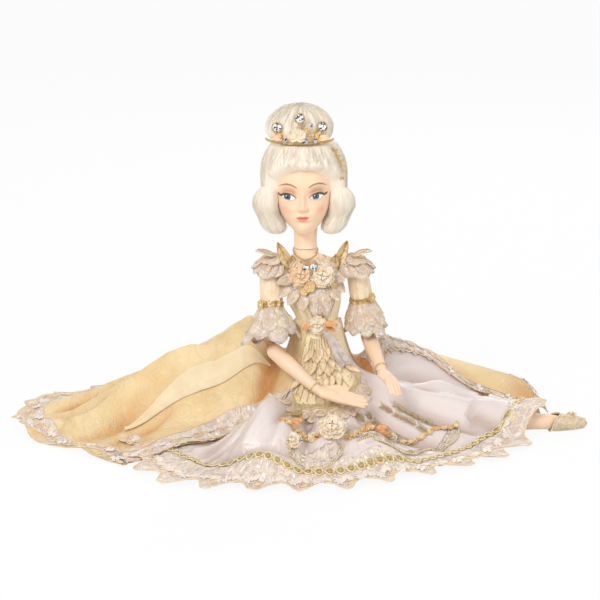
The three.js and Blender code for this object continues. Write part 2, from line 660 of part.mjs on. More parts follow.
function makeHead() {
  const nose = new THREE.ConeGeometry(4, 15, 8).rotateX(Math.PI / 2)
    .translate(HEAD_X, 2 - FACE_DEPTH, EYE_HEIGHT - 12);
  const face = joined([headLoft(), neckLoft(), nose]).subtract(pegHole());
  const headOutline = joined([headLoft(GAP), neckLoft(GAP)]);
  const head = new THREE.Group();
  head.position.set(NECK_X, NECK_Y, NECK_JOINT_HEIGHT);
  doll.add(head);
  const toHead = new THREE.Matrix4().makeTranslation(-NECK_X, -NECK_Y, -NECK_JOINT_HEIGHT);
  const place = (name, geometry, look) => addPart(name, geometry.clone().applyMatrix4(toHead), look, head);
  place('head', toGeometry(face), skin);

  // Swept-up hair round the head, open over the face under an arched hairline
  const hairProfile = [
    [CHIN_HEIGHT + 8, 0.52, -0.2, 0.8],
    [CHIN_HEIGHT + 20, 0.8, 0.1, 0.92],
    [CURL_HEIGHT + 4, 0.92, 0.4, 1],
    [EYE_HEIGHT + 10, 0.99, 0.72, 1.02],
    [HAIRLINE_HEIGHT - 4, 1.02, 0.96, 1],
    [HAIRLINE_HEIGHT + 12, 1, 0.98, 0.96],
    [HAIR_TOP - 9, 0.88, 0.87, 0.84],
    [HAIR_TOP, 0.7, 0.7, 0.68],
  ];
  const hairLoft = (grow) => toSolid(loft(hairProfile.map(([z, width, front, back], k) => ovalRing(
    HEAD_X, 0, k === 0 ? z - grow : z, width * HAIR_HALF_WIDTH, front * HAIR_HALF_DEPTH,
    back * HAIR_HALF_DEPTH, HEAD_SIDES, grow))));
  const hairMass = hairLoft(0);
  const clearHair = hairLoft(2 * CLOTH_GAP).add(headOutline);
  const faceArch = new THREE.Shape();
  faceArch.moveTo(-FACE_HALF_WIDTH, -HEAD_HEIGHT);
  faceArch.lineTo(FACE_HALF_WIDTH, -HEAD_HEIGHT);
  faceArch.absellipse(0, 0, FACE_HALF_WIDTH, FACE_ARCH_HEIGHT, 0, Math.PI, false);
  const archOptions = { depth: 2 * FACE_DEPTH, bevelEnabled: false, curveSegments: 10 };
  const faceOpening = new THREE.ExtrudeGeometry(faceArch, archOptions)
    .rotateX(Math.PI / 2).translate(HEAD_X, -FACE_DEPTH * 0.2, HAIRLINE_HEIGHT - FACE_ARCH_HEIGHT);
  const hair = largestBody(hairMass.subtract(headOutline).subtract(toSolid(faceOpening)));
  place('hair_front', toGeometry(hair), mohair);

  const bunBase = HAIR_TOP + GAP;
  const bunRings = [[0, 0.84], [6, 0.93], [18, 1], [29, 0.94], [38, 0.68], [43, 0.36], [BUN_HEIGHT, 0.1]];
  const bun = loft(bunRings.map(([z, share]) => ovalRing(
    BUN_X, 0, bunBase + z, share * BUN_RADIUS, share * BUN_RADIUS * 0.94, share * BUN_RADIUS * 0.94, 18)));
  place('hair_bun', bun, mohair);

  for (const [name, side] of [['right', -1], ['left', 1]]) {
    const half = CURL_LENGTH / 2;
    const profile = [[0, -half], [9, -half + 3], [CURL_RADIUS, -half * 0.52], [CURL_RADIUS - 2.5, 0],
      [CURL_RADIUS, half * 0.52], [9, half - 3], [0, half]];
    const roll = turned(profile, 14).translate(HEAD_X + side * CURL_SPREAD, -10, CURL_HEIGHT);
    place(`side_curl_${name}`, toGeometry(largestBody(toSolid(roll).subtract(clearHair))), mohair);
  }
  makeTiara(place, bunBase);
  makeHairSpray(place, clearHair);
}

// The tiara follows the foot of the bun, with an upright plate behind each stone
function makeTiara(place, bunBase) {
  const reachX = BUN_RADIUS + GAP;
  const reachY = BUN_RADIUS * 0.94 + GAP;
  const arc = [];
  for (let a = -160; a <= -20; a += 14) arc.push(a);
  const wall = (out, z) => arc.map((a) => new THREE.Vector3(
    BUN_X + (reachX + out) * Math.cos(radians(a)), (reachY + out) * Math.sin(radians(a)), z));
  const base = bunBase + GAP;
  const outer = wall(TIARA_WALL, base);
  const outerTop = wall(TIARA_WALL, base + TIARA_HEIGHT);
  const inner = wall(0, base);
  const innerTop = wall(0, base + TIARA_HEIGHT);
  const grid = (a, b) => a.map((p, k) => [p, b[k]]);
  const band = sheetSolid(grid(outerTop, outer), grid(innerTop, inner), false);
  const pieces = [band];
  for (const { angle, rise } of STONES) {
    const a = radians(angle);
    const foot = new THREE.Vector3(
      BUN_X + (reachX + TIARA_WALL / 2) * Math.cos(a), (reachY + TIARA_WALL / 2) * Math.sin(a), base + 2);
    const post = new THREE.CylinderGeometry(TIARA_WALL * 0.45, TIARA_WALL * 0.45, rise, 5)
      .rotateX(Math.PI / 2).translate(foot.x, foot.y - 0.5, foot.z + rise / 2);
    pieces.push(post);
  }
  const seats = STONES.map(({ name, angle, rise }) => {
    const a = radians(angle);
    const facing = new THREE.Vector3(Math.cos(a) * 0.55, Math.sin(a), 0.15).normalize();
    const centre = new THREE.Vector3(
      BUN_X + (reachX + TIARA_WALL) * Math.cos(a), (reachY + TIARA_WALL) * Math.sin(a), base + rise);
    const turn = new THREE.Quaternion().setFromUnitVectors(new THREE.Vector3(0, 0, 1), facing);
    return { name, frame: new THREE.Matrix4().compose(centre, turn, new THREE.Vector3(1, 1, 1)) };
  });
  const cup = turned([[0, -1.6], [STONE_RADIUS * 0.8, -1.6], [STONE_RADIUS, 0], [0, 0]], 8);
  pieces.push(...seats.map(({ frame }) => cup.clone().applyMatrix4(frame)));
  const r = STONE_RADIUS - 1.2;
  const stone = turned([[0, GAP], [r, GAP], [r, 1.4], [r * 0.62, 3.4], [0, 3.4]], 8);
  const room = turned([[0, 0], [r + GAP, 0], [r + GAP, 6], [0, 6]], 8);
  const crown = seats.reduce((solid, { frame }) => solid.subtract(toSolid(room, frame)), joined(pieces));
  place('tiara_band', toGeometry(largestBody(crown)), gold);
  for (const { name, frame } of seats) {
    place(`tiara_stone_${name}`, stone.clone().applyMatrix4(frame), crystal);
  }
  const flower = flowerSolid(7.5, 6).rotateX(Math.PI / 2)
    .translate(BUN_X - 3, -(reachY + TIARA_WALL + CLOTH_GAP), base + TIARA_HEIGHT * 0.55);
  place('tiara_flower', flower, creamSilk);
}

// A petalled flower facing +Z, its back at z = 0
function flowerSolid(radius, height, petals = 5) {
  const rings = [[FLOWER_BACK, 0], [1, 0.3], [0.9, 0.75], [0.5, 1], [0.18, 0.86]];
  const sides = petals * 3;
  return loft(rings.map(([share, z]) => Array.from({ length: sides }, (_, s) => {
    const a = (s / sides) * 2 * Math.PI;
    const r = share * radius * (1 - 0.14 * (0.5 - 0.5 * Math.cos(petals * a)) * (share > 0.6 ? 1 : 0));
    return new THREE.Vector3(r * Math.cos(a), r * Math.sin(a), z * height);
  })));
}

// A leaf in the XZ plane, growing along +Z from its stalk, with a raised rib
function leafSolid(length, width, thickness) {
  const shape = new THREE.Shape();
  shape.moveTo(0, 0);
  shape.quadraticCurveTo(width * 0.62, length * 0.42, 0, length);
  shape.quadraticCurveTo(-width * 0.62, length * 0.42, 0, 0);
  const options = { depth: thickness, bevelEnabled: false, curveSegments: 8 };
  return new THREE.ExtrudeGeometry(shape, options).rotateX(Math.PI / 2).translate(0, thickness / 2, 0);
}

// Three gilt leaves that grow from the hair above the left temple
function makeHairSpray(place, clearHair) {
  const stalk = [HEAD_X + 43, -16, HAIR_TOP - 22];
  const leaves = [-28, 4, 38].map((tilt, k) => leafSolid(30 - k * 3, 13, 2).rotateY(radians(tilt)));
  const spray = joined(leaves.map((leaf) => leaf.rotateZ(radians(58)).translate(...stalk)));
  place('hair_leaf_spray', toGeometry(largestBody(spray.subtract(clearHair))), gold);
}

// Arms: a stuffed upper arm in a satin sleeve, a lace cuff, and a resin forearm, hand and bracelet
function makeArm(name, { shoulder, elbow, wrist, hand, cuffRadius, cuffDrop }) {
  const armRadius = SLEEVE_RADIUS - SLEEVE_WALL - GAP;
  const endRadius = armRadius * 0.85;
  const length = v3(shoulder).distanceTo(v3(elbow));
  const upperEnd = between(elbow, shoulder, (ELBOW_RADIUS + endRadius) / length);
  const forearm = (grow) => roundedLimb(elbow, wrist, ELBOW_RADIUS, WRIST_RADIUS, 10, grow);
  const forearmClear = toSolid(forearm(GAP));
  const upper = toSolid(roundedLimb(shoulder, upperEnd, armRadius, endRadius, 12))
    .subtract(forearmClear).subtract(armWire(GAP));
  addPart(`upper_arm_${name}`, toGeometry(largestBody(upper)), padding);

  const sleeveEnd = between(shoulder, elbow, SLEEVE_SHARE);
  const sleeveOut = toSolid(roundedLimb(shoulder, sleeveEnd, SLEEVE_RADIUS, SLEEVE_RADIUS * 0.92, 12));
  const armClear = toSolid(roundedLimb(shoulder, upperEnd, armRadius, endRadius, 12, GAP));
  const sleeve = largestBody(sleeveOut.subtract(armClear).subtract(forearmClear)
    .subtract(sleeveTrim(shoulder, elbow)).subtract(armWire(GAP)));
  addPart(`sleeve_${name}`, toGeometry(sleeve), satin);

  // The cuff hangs from the sleeve as a ruffled bell round the elbow
  const root = length - CUFF_LENGTH + cuffDrop;
  const bell = [[SLEEVE_RADIUS * 0.95 + GAP, 0], [SLEEVE_RADIUS + 4, 5], [cuffRadius * 0.72, 15],
    [cuffRadius, CUFF_LENGTH]];
  const outside = bell.map(([r, z]) => [r + LACE_THICKNESS, z - 0.4]);
  const cuffRings = [...bell, ...outside.reverse()].map(([r, z]) => ({ r, z, ruffle: z > 12 ? 1 : 0 }));
  const cuff = ruffledRing(cuffRings, 8, 2);
  cuff.applyMatrix4(new THREE.Matrix4().makeTranslation(0, 0, root));
  cuff.applyMatrix4(alongFrame(shoulder, elbow));
  addPart(`sleeve_lace_${name}`, cuff, lace);

  addPart(`forearm_${name}`, forearm(0), skin);
  const chain = new THREE.TorusGeometry(WRIST_RADIUS + BRACELET_WIRE + GAP + 0.4, BRACELET_WIRE, 5, 12);
  chain.applyMatrix4(alongFrame(between(wrist, elbow, 0.06), wrist));
  addPart(`bracelet_${name}`, chain, gold);
  const palm = handSolid(name, wrist, hand).subtract(forearmClear);
  addPart(`hand_${name}`, toGeometry(largestBody(palm)), skin);
}

// The open end of a sleeve, squared off above the elbow
function sleeveTrim(shoulder, elbow) {
  const length = v3(shoulder).distanceTo(v3(elbow));
  const block = new THREE.CylinderGeometry(30, 30, 60, 12).rotateX(Math.PI / 2)
    .translate(0, 0, length * SLEEVE_SHARE + 30);
  return toSolid(block.applyMatrix4(alongFrame(shoulder, elbow)));
}

// A closed ring of revolution whose outer rings wave in and out, with a side for each way
function ruffledRing(rings, waves, depth) {
  const grid = rings.map(({ r, z, ruffle }) => Array.from({ length: 2 * waves }, (_, s) => {
    const a = (s / waves) * Math.PI;
    const out = r + ruffle * depth * Math.cos(waves * a);
    return new THREE.Vector3(out * Math.cos(a), out * Math.sin(a), z);
  }));
  return closedRing(grid);
}

// Hands: a flat palm that runs into four closed fingers, and a thumb
function handSolid(name, wrist, tip) {
  const start = v3(wrist);
  const ahead = v3(tip).sub(start).normalize();
  const across = name === 'right'
    ? new THREE.Vector3(0, 0.95, 0.3).cross(ahead).cross(ahead).negate().normalize()
    : new THREE.Vector3(1, 0.2, 0.3).cross(ahead).cross(ahead).negate().normalize();
  const up = ahead.clone().cross(across).normalize();
  const spot = (a, c, u = 0) => start.clone().addScaledVector(ahead, a).addScaledVector(across, c)
    .addScaledVector(up, u).toArray();
  const palmLength = HAND_LENGTH * 0.44;
  const palmWidth = HAND_LENGTH * 0.2;
  const thumbRoot = spot(palmLength * 0.4, palmWidth * 0.7);
  const thumb = roundedLimb(thumbRoot, spot(palmLength * 1.15, palmWidth * 1.3, 2), 3.3, 2.4, 6);
  const palmRings = [[0, 0.62, 0.85], [palmLength * 0.4, 0.95, 0.7], [palmLength, 1, 0.56],
    [HAND_LENGTH * 0.72, 0.86, 0.46], [HAND_LENGTH * 0.94, 0.62, 0.4], [HAND_LENGTH, 0.3, 0.2]];
  const sides = 10;
  const palm = loft(palmRings.map(([a, wide, thick]) => Array.from({ length: sides }, (_, s) => {
    const angle = (s / sides) * 2 * Math.PI;
    return v3(spot(a, palmWidth * wide * Math.cos(angle), WRIST_RADIUS * thick * Math.sin(angle)));
  })));
  return joined([palm, thumb]);
}

// Legs: cloth thighs, moulded lower legs with the foot, and shoes open at the instep
function makeLeg(name, { hip, knee, ankle, toe }, bodyClear) {
  const footEnd = between(ankle, toe, 0.88);
  const lower = (grow) => joined([
    roundedLimb(knee, ankle, KNEE_RADIUS, ANKLE_RADIUS, LEG_SIDES, grow),
    roundedLimb(ankle, footEnd, ANKLE_RADIUS, ANKLE_RADIUS * 0.5, LEG_SIDES, grow),
  ]);
  const thigh = toSolid(roundedLimb(hip, between(hip, knee, 0.92), THIGH_RADIUS, KNEE_RADIUS, LEG_SIDES))
    .subtract(lower(KNEE_CLEARANCE)).subtract(bodyClear);
  addPart(`thigh_${name}`, toGeometry(largestBody(thigh)), padding);
  addPart(`lower_leg_${name}`, toGeometry(lower(0)), skin);
  const shoeHeel = between(ankle, toe, 0.2);
  const shoe = toSolid(roundedLimb(shoeHeel, toe, ANKLE_RADIUS, ANKLE_RADIUS * 0.4, LEG_SIDES, SHOE_WALL))
    .subtract(lower(GAP));
  addPart(`shoe_${name}`, toGeometry(largestBody(shoe)), shoeCloth);
}

// What the petticoat leaves free: a limb with its way down to the table
function limbChannel(path, radii, grow) {
  const at = path.map(v3);
  const ahead = at.at(-1).clone().sub(at[0]).setZ(0).normalize();
  const side = new THREE.Vector3(-ahead.y, ahead.x, 0);
  return loft(at.map((p, k) => {
    const r = radii[k] * 1.04 + grow;
    const arch = [0, 30, 60, 90, 120, 150, 180].map((a) => p.clone()
      .addScaledVector(side, -r * Math.cos(radians(a))).setZ(p.z + r * Math.sin(radians(a))));
    const foot = [1, -1].map((s) => p.clone().addScaledVector(side, s * r).setZ(-2));
    return [...arch, ...foot].reverse();
  }));
}

// The petticoat is solid padding from the waist to its rim, with room for the seat, trunk and legs
function makePetticoat(bodyClear) {
  const lines = goresBetween(-180, -180).slice(0, -1);
  const rows = rowValues.slice(0, PETTICOAT_LAST_ROW + 1);
  const ring = (row, height) => lines.map((angle) => {
    const [x, y] = gorePoint(angle, row);
    return new THREE.Vector3(x, y, height(x, y, row));
  });
  const rings = rows.map((row) => ring(row, petticoatTop));
  const stuffing = closedRing([ring(rows[0], () => 0), ...rings, ring(rows.at(-1), () => 0)]);
  const thighRadii = [THIGH_RADIUS, THIGH_RADIUS, KNEE_RADIUS, KNEE_RADIUS];
  const shankRadii = [KNEE_RADIUS, KNEE_RADIUS, ANKLE_RADIUS * 1.2, ANKLE_RADIUS * 1.1, ANKLE_RADIUS * 0.8];
  const channels = Object.values(LEGS).flatMap(({ hip, knee, ankle, toe }) => {
    const thigh = [between(hip, knee, -0.15), hip, knee, between(knee, hip, -0.22)];
    const shank = [between(knee, ankle, -0.25), knee, ankle, toe, between(ankle, toe, 1.2)];
    return [limbChannel(thigh, thighRadii, 1), limbChannel(shank, shankRadii, SHOE_WALL + 1)];
  });
  const cut = channels.map((g) => toSolid(g)).reduce((a, b) => a.add(b)).add(bodyClear);
  addPart('petticoat', toGeometry(largestBody(toSolid(stuffing).subtract(cut))), padding);
}

// Rings of equal count joined in a closed loop, the last to the first
function closedRing(rings) {
  const sides = rings[0].length;
  const faces = [];
  for (let k = 0; k < rings.length; k += 1) {
    const next = (k + 1) % rings.length;
    for (let s = 0; s < sides; s += 1) {
      const t = (s + 1) % sides;
      faces.push(k * sides + s, next * sides + s, next * sides + t);
      faces.push(k * sides + s, next * sides + t, k * sides + t);
    }
  }
  return closedGeometry(rings.flat(), faces);
}

function makeGown() {
  const underskirt = gownLayer(-180, -180, 0, SATIN_LAST_ROW, satinBottom, satinTop);
  addPart('underskirt', recordCloth(underskirt), satin);
  const [laceFrom, laceTo] = [OPENING_LEFT - LACE_START, OPENING_RIGHT + LACE_START];
  const hemLace = gownLayer(laceFrom, laceTo, PETTICOAT_LAST_ROW, HEM_ROW, laceBottom, laceTop);
  addPart('hem_lace', recordCloth(hemLace), lace);
  const panels = [
    ['overskirt_right', OPENING_RIGHT, BACK_RIGHT],
    ['overskirt_back', BACK_RIGHT, BACK_LEFT],
    ['overskirt_left', BACK_LEFT, OPENING_LEFT],
  ];
  for (const [name, start, end] of panels) {
    const panel = gownLayer(start, end, 0, BROCADE_LAST_ROW, brocadeBottom, brocadeTop);
    addPart(name, recordCloth(panel), brocade);
  }
  const trainLaceBottom = (x, y, row, angle) => (
    row < 2 ? brocadeTop(x, y, row, angle) + CLOTH_GAP : moundHeight(FOOT_COVER, x, y, 4));
  const trainLaceTop = (x, y, row, angle) => trainLaceBottom(x, y, row, angle) + LACE_THICKNESS;
  const edges = [['right', OPENING_RIGHT, BACK_MIDDLE], ['left', BACK_MIDDLE, OPENING_LEFT]];
  for (const [name, start, end] of edges) {
    const edge = gownLayer(start, end, BROCADE_LAST_ROW - 1, TRAIN_LAST_ROW, trainLaceBottom, trainLaceTop);
    addPart(`train_lace_${name}`, recordCloth(edge), lace);
  }
}

// Lace along the two front edges of the overskirt
function makeFrontLace() {
  const shift = LACE_BAND_WIDTH / 2 - 5;
  const left = alongGore(OPENING_LEFT + 3, 0.3, 0.93, 16, shift);
  const right = alongGore(OPENING_RIGHT - 3, 0.34, 0.84, 18, -shift);
  const band = [LACE_BAND_WIDTH, LACE_THICKNESS, 0, 5];
  addPart('front_lace_left', recordCloth(laidStrip(left, ...band, FRONT_LACE_SETTLE.left)), lace);
  addPart('front_lace_right', recordCloth(laidStrip(right, ...band, FRONT_LACE_SETTLE.right)), lace);
}

// The apron is a shield of embroidered brocade under the waist, with a bead edge and a lace fall
function apronPoint(across, down) {
  const angle = APRON_LEFT + (APRON_RIGHT - APRON_LEFT) * across;
  const shield = Math.sqrt(Math.max(0, 1 - (2 * across - 1) ** 2 * 0.8));
  return gorePoint(angle, 0.03 + (APRON_REACH * (0.45 + 0.55 * shield) - 0.03) * down);
}

function apronSheet(firstDown, lastDown, rows, thickness, lift) {
  const columns = 14;
  const lower = Array.from({ length: columns + 1 }, (_, i) => Array.from({ length: rows + 1 }, (_, j) => {
    const [x, y] = apronPoint(i / columns, firstDown + ((lastDown - firstDown) * j) / rows);
    return new THREE.Vector3(x, y, clothHeightUnder(x, y, 4) + lift);
  }));
  const upper = lower.map((line) => line.map((p) => new THREE.Vector3(p.x, p.y, p.z + thickness)));
  return sheetSolid(upper, lower, false);
}

function makeApron() {
  const apron = apronSheet(0, 1, 6, CLOTH_THICKNESS, CLOTH_GAP);
  const fall = apronSheet(1 + GAP / 40, 1.22, 2, LACE_THICKNESS, 3 * CLOTH_GAP);
  const route = Array.from({ length: 19 }, (_, k) => apronPoint(0.03 + (0.94 * k) / 18, 0.93));
  addPart('apron', recordCloth(apron), brocade);
  addPart('apron_bead_edge', laidStrip(route, BEAD_EDGE_WIDTH, 0.8, 2.4, 3, BEAD_SETTLE), gold);
  addPart('apron_lace', recordCloth(fall), lace);
}

function makeTrimmings() {
  const braidRoute = alongRow(BRAID_ROW, OPENING_LEFT + 12, OPENING_RIGHT - 6, 46);
  const braid = laidStrip(braidRoute, BRAID_WIDTH, BRAID_THICKNESS / 2, BRAID_THICKNESS / 2, 3, BRAID_SETTLE);
  addPart('hem_braid', recordCloth(braid), gold);
  const garland = alongRow(GARLAND_ROW, GARLAND_START, GARLAND_END, 22);
  addPart('skirt_garland', recordCloth(
    laidStrip(garland, GARLAND_WIDTH, GARLAND_HEIGHT * 0.4, GARLAND_HEIGHT * 0.6)), gold);
  const roseRadius = ROSE_SIZES.garland_rose;
  const [x, y] = gorePoint(GARLAND_ROSE_GORE, GARLAND_ROW);
  const z = clothHeightUnder(x, y, roseRadius) + GAP;
  addPart('garland_rose', flowerSolid(roseRadius, roseRadius * 0.8, 6).translate(x, y, z), creamSilk);
}

// The front of the trunk at a place and height, with a given distance off its surface
function trunkFront(x, z, off) {
  const front = [...trunkRing(z, off).slice(TRUNK_SIDES / 2), trunkRing(z, off)[0]];
  return interpolate(front.map((p) => [p.x, p.y]), x);
}

// Where the centre of a round flat back comes to lie when it leans on the trunk, tilted back by an angle
function seatOnTrunk(x, z, radius, tilt, off) {
  const rim = Array.from({ length: 8 }, (_, k) => [Math.cos(radians(k * 45)), Math.sin(radians(k * 45))]);
  return Math.min(...[[0, 0], ...rim].map(([a, b]) => (
    trunkFront(x + a * radius, z + b * radius, off) - b * radius * Math.tan(radians(tilt)))));
}

// A point on the trunk at a height and an angle, with a given distance off its surface
function trunkPoint(z, angle, off) {
  const ring = trunkRing(z, off);
  const place = ((angle / 360 + 1) % 1) * TRUNK_SIDES;
  const low = Math.floor(place);
  return ring[low].clone().lerp(ring[(low + 1) % TRUNK_SIDES], place - low);
}

// Dress trimmings on the bodice: roses, the lace point, collar leaves, shoulder lace and the necklace
function makeBodiceTrim() {
  const off = GAP + BODICE_WALL + GAP;
  const facing = (geometry, tilt, x, y, z) => geometry
    .rotateX(Math.PI / 2 - radians(tilt)).translate(x, y, z);
  const size = ROSE_SIZES;
  for (const { name, x, z, tilt, height, look } of ROSES) {
    const radius = ROSE_SIZES[name];
    const seat = seatOnTrunk(x, z, radius * FLOWER_BACK, tilt, off);
    const rose = facing(flowerSolid(radius, height, 6), tilt, x, seat, z);
    addPart(name, rose, look);
  }
  const point = new THREE.Shape();
  point.moveTo(0, -LACE_POINT_LENGTH);
  point.quadraticCurveTo(LACE_POINT_WIDTH * 0.55, -LACE_POINT_LENGTH * 0.6, LACE_POINT_WIDTH * 0.5, -4);
  point.quadraticCurveTo(LACE_POINT_WIDTH * 0.3, 3, 0, -3);
  point.quadraticCurveTo(-LACE_POINT_WIDTH * 0.3, 3, -LACE_POINT_WIDTH * 0.5, -4);
  point.quadraticCurveTo(-LACE_POINT_WIDTH * 0.55, -LACE_POINT_LENGTH * 0.6, 0, -LACE_POINT_LENGTH);
  const plateOptions = { depth: LACE_THICKNESS, bevelEnabled: false, curveSegments: 5 };
  const lacePlate = new THREE.ExtrudeGeometry(point, plateOptions);
  const plateHeight = CHEST_HEIGHT + 2;
  const plateSeat = trunkPoint(plateHeight, -90, off).y - CLOTH_GAP;
  addPart('bodice_lace_front', facing(lacePlate, -4, 0, plateSeat, plateHeight), lace);
  const [waistX, waistZ, waistTilt] = [-1, WAIST_HEIGHT + 7, 24];
  const waistRadius = ROSE_SIZES.waist_rose;
  const waistBack = waistRadius * FLOWER_BACK;
  const plateFront = plateSeat - LACE_THICKNESS - GAP
    + (plateHeight - waistZ - waistBack) * Math.tan(radians(4));
  const waistSeat = Math.min(
    seatOnTrunk(waistX, waistZ, waistBack, waistTilt, off),
    plateFront - waistBack * Math.sin(radians(waistTilt)),
  );
  const waistRose = facing(flowerSolid(waistRadius, 8, 6), waistTilt, waistX, waistSeat, waistZ);
  addPart('waist_rose', waistRose, creamSilk);

  const bead = 1.3;
  const chain = Array.from({ length: 24 }, (_, k) => {
    const angle = (k / 24) * 360;
    const drop = Math.max(0, -Math.sin(radians(angle))) ** 2;
    return trunkPoint(NECK_JOINT_HEIGHT - 4 - NECKLACE_DROP * drop, angle, bead + 3 * GAP);
  });
  addPart('necklace', closedTube(chain, bead, 5), gold);

  for (const [name, { shoulder }] of Object.entries(ARMS)) {
    const side = name === 'right' ? -1 : 1;
    const profile = [[1, 15.5], [11, 13.5], [22, 3], [31, -11]];
    const outside = profile.map(([r, z]) => [r + 0.5, z + LACE_THICKNESS]).reverse();
    const rings = [...profile, ...outside].map(([r, z]) => ({ r, z, ruffle: r > 20 ? 1 : 0 }));
    const bell = ruffledRing(rings.reverse(), 8, 2).rotateY(radians(side * 6)).translate(...shoulder);
    const clear = toSolid(trunkLoft(CHEST_HEIGHT - 40, NECK_JOINT_HEIGHT + 6, off));
    addPart(`collar_lace_${name}`, toGeometry(largestBody(toSolid(bell).subtract(clear))), lace);
    const [leafX, leafZ, leafThickness] = [shoulder[0] - side * 24, BODICE_TOP - 3, 1.6];
    const leaf = leafSolid(36, 17, leafThickness).rotateY(radians(side * 30)).rotateX(radians(-6));
    const leafSeat = trunkFront(leafX, leafZ, off) - leafThickness / 2 - GAP;
    addPart(`collar_leaf_${name}`, leaf.translate(leafX, leafSeat, leafZ), gold);
  }
}

// A tube round a closed loop of points
function closedTube(points, radius, sides) {
  const count = points.length;
  return closedRing(points.map((p, k) => {
    const ahead = points[(k + 1) % count].clone().sub(points[(k + count - 1) % count]).normalize();
    const up = new THREE.Vector3(0, 0, 1);
    const out = ahead.clone().cross(up).normalize();
    const over = out.clone().cross(ahead);
    return Array.from({ length: sides }, (_, s) => {
      const a = (s / sides) * 2 * Math.PI;
      return p.clone().addScaledVector(out, radius * Math.cos(a)).addScaledVector(over, radius * Math.sin(a));
    });
  }));
}

const bodyClear = toSolid(trunkLoft(20, BODICE_TOP, GAP + BODICE_WALL + GAP)).add(toSolid(
  new THREE.CylinderGeometry(SEAT_RADIUS + GAP, SEAT_RADIUS + GAP, SEAT_HEIGHT + 20, 24)
    .rotateX(Math.PI / 2).translate(0, 0, SEAT_HEIGHT / 2 - 10 + GAP)));
makeTrunk();
makeHead();
for (const [name, arm] of Object.entries(ARMS)) makeArm(name, { ...arm, ...armOverLap(arm) });
for (const [name, leg] of Object.entries(LEGS)) makeLeg(name, leg, bodyClear);
makePetticoat(bodyClear);
makeGown();
makeFrontLace();
makeApron();
makeTrimmings();
makeBodiceTrim();

export default doll;
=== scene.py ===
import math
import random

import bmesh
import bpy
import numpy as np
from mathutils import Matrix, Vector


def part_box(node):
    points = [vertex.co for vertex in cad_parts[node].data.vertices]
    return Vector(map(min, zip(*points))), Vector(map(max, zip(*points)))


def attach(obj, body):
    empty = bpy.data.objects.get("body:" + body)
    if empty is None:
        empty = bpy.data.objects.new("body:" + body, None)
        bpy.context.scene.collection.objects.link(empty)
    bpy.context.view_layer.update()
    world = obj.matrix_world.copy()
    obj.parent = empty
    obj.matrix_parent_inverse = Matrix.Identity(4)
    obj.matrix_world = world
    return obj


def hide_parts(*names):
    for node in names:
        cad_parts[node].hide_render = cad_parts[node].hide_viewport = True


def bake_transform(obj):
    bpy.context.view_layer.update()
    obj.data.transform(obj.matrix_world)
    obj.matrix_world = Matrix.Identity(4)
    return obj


bl_info = {
    "name": "Seated Lady Doll",
    "version": (1, 0, 0),
    "blender": (4, 5, 0),
    "location": "View3D > Sidebar > Doll",
    "description": "Dresses the seated lady doll in skin, hair, satin, brocade, lace and jewels",
    "category": "Object",
}

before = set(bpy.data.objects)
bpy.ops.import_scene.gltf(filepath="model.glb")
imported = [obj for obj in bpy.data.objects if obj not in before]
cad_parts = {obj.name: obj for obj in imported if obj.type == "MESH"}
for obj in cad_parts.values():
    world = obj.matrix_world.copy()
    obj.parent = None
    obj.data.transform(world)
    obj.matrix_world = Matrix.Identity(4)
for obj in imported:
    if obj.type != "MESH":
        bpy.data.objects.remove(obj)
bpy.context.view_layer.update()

MM = 0.001

# The gown's plan, in millimetres and degrees from +X: (angle, reach)
HEM_OUTLINE = [
    (-180, 238), (-153, 247), (-139, 254), (-127, 233), (-113, 209), (-97, 198), (-78, 191), (-59, 182),
    (-37, 203), (-18, 243), (-2, 272), (12, 298), (30, 258), (60, 205), (90, 185), (130, 205), (180, 238),
]
TRAIN_OUTLINE = [
    (-180, 362), (-175, 352), (-172, 310), (-164, 282), (-156, 252), (-150, 250), (-2, 276), (14, 302),
    (24, 312), (33, 334), (45, 300), (60, 258), (80, 238), (100, 236), (122, 262), (140, 318),
    (155, 376), (168, 400), (180, 362),
]
GORES = [
    (-180, -150), (-153, -113), (-97, -97), (-37, -74), (-3, -50), (30, 10), (90, 90), (150, 165), (180, 210),
]
WAIST_HALF_WIDTH = 27
WAIST_HALF_DEPTH = 23
SKIRT_FLARE = 82
WAIST_HEIGHT = 143
PETTICOAT_RIM = 4
PETTICOAT_END = 0.8
FOLD_COUNT = 13
RIDGE_FADE = 0.15
MOUNDS = [
    {"from": (-60, -92), "to": (-58, -118), "height": (66, 58), "width": 44},
    {"from": (-50, -112), "to": (60, -116), "height": (46, 42), "width": 40},
    {"from": (42, -30), "to": (150, -4), "height": (90, 56), "width": 48},
    {"from": (150, 0), "to": (250, 7), "height": (54, 40), "width": 36},
]
PANNIERS = [
    {"from": (-84, 42), "to": (-300, 80), "height": (136, 30), "width": 56},
    {"from": (84, 50), "to": (252, 110), "height": (106, 42), "width": 52},
    {"from": (0, 60), "to": (0, 190), "height": (104, 14), "width": 74},
]
FOOT_COVER = {"from": (60, 2), "to": (292, 10), "height": (36, 36), "width": 27}


def srgb(red, green, blue):
    """A colour as it looks on a screen, from 0 to 255, as the linear colour that the shaders take."""
    def linear(value):
        c = value / 255
        return c / 12.92 if c <= 0.04045 else ((c + 0.055) / 1.055) ** 2.4
    return (linear(red), linear(green), linear(blue), 1.0)


# Settings that a user would change

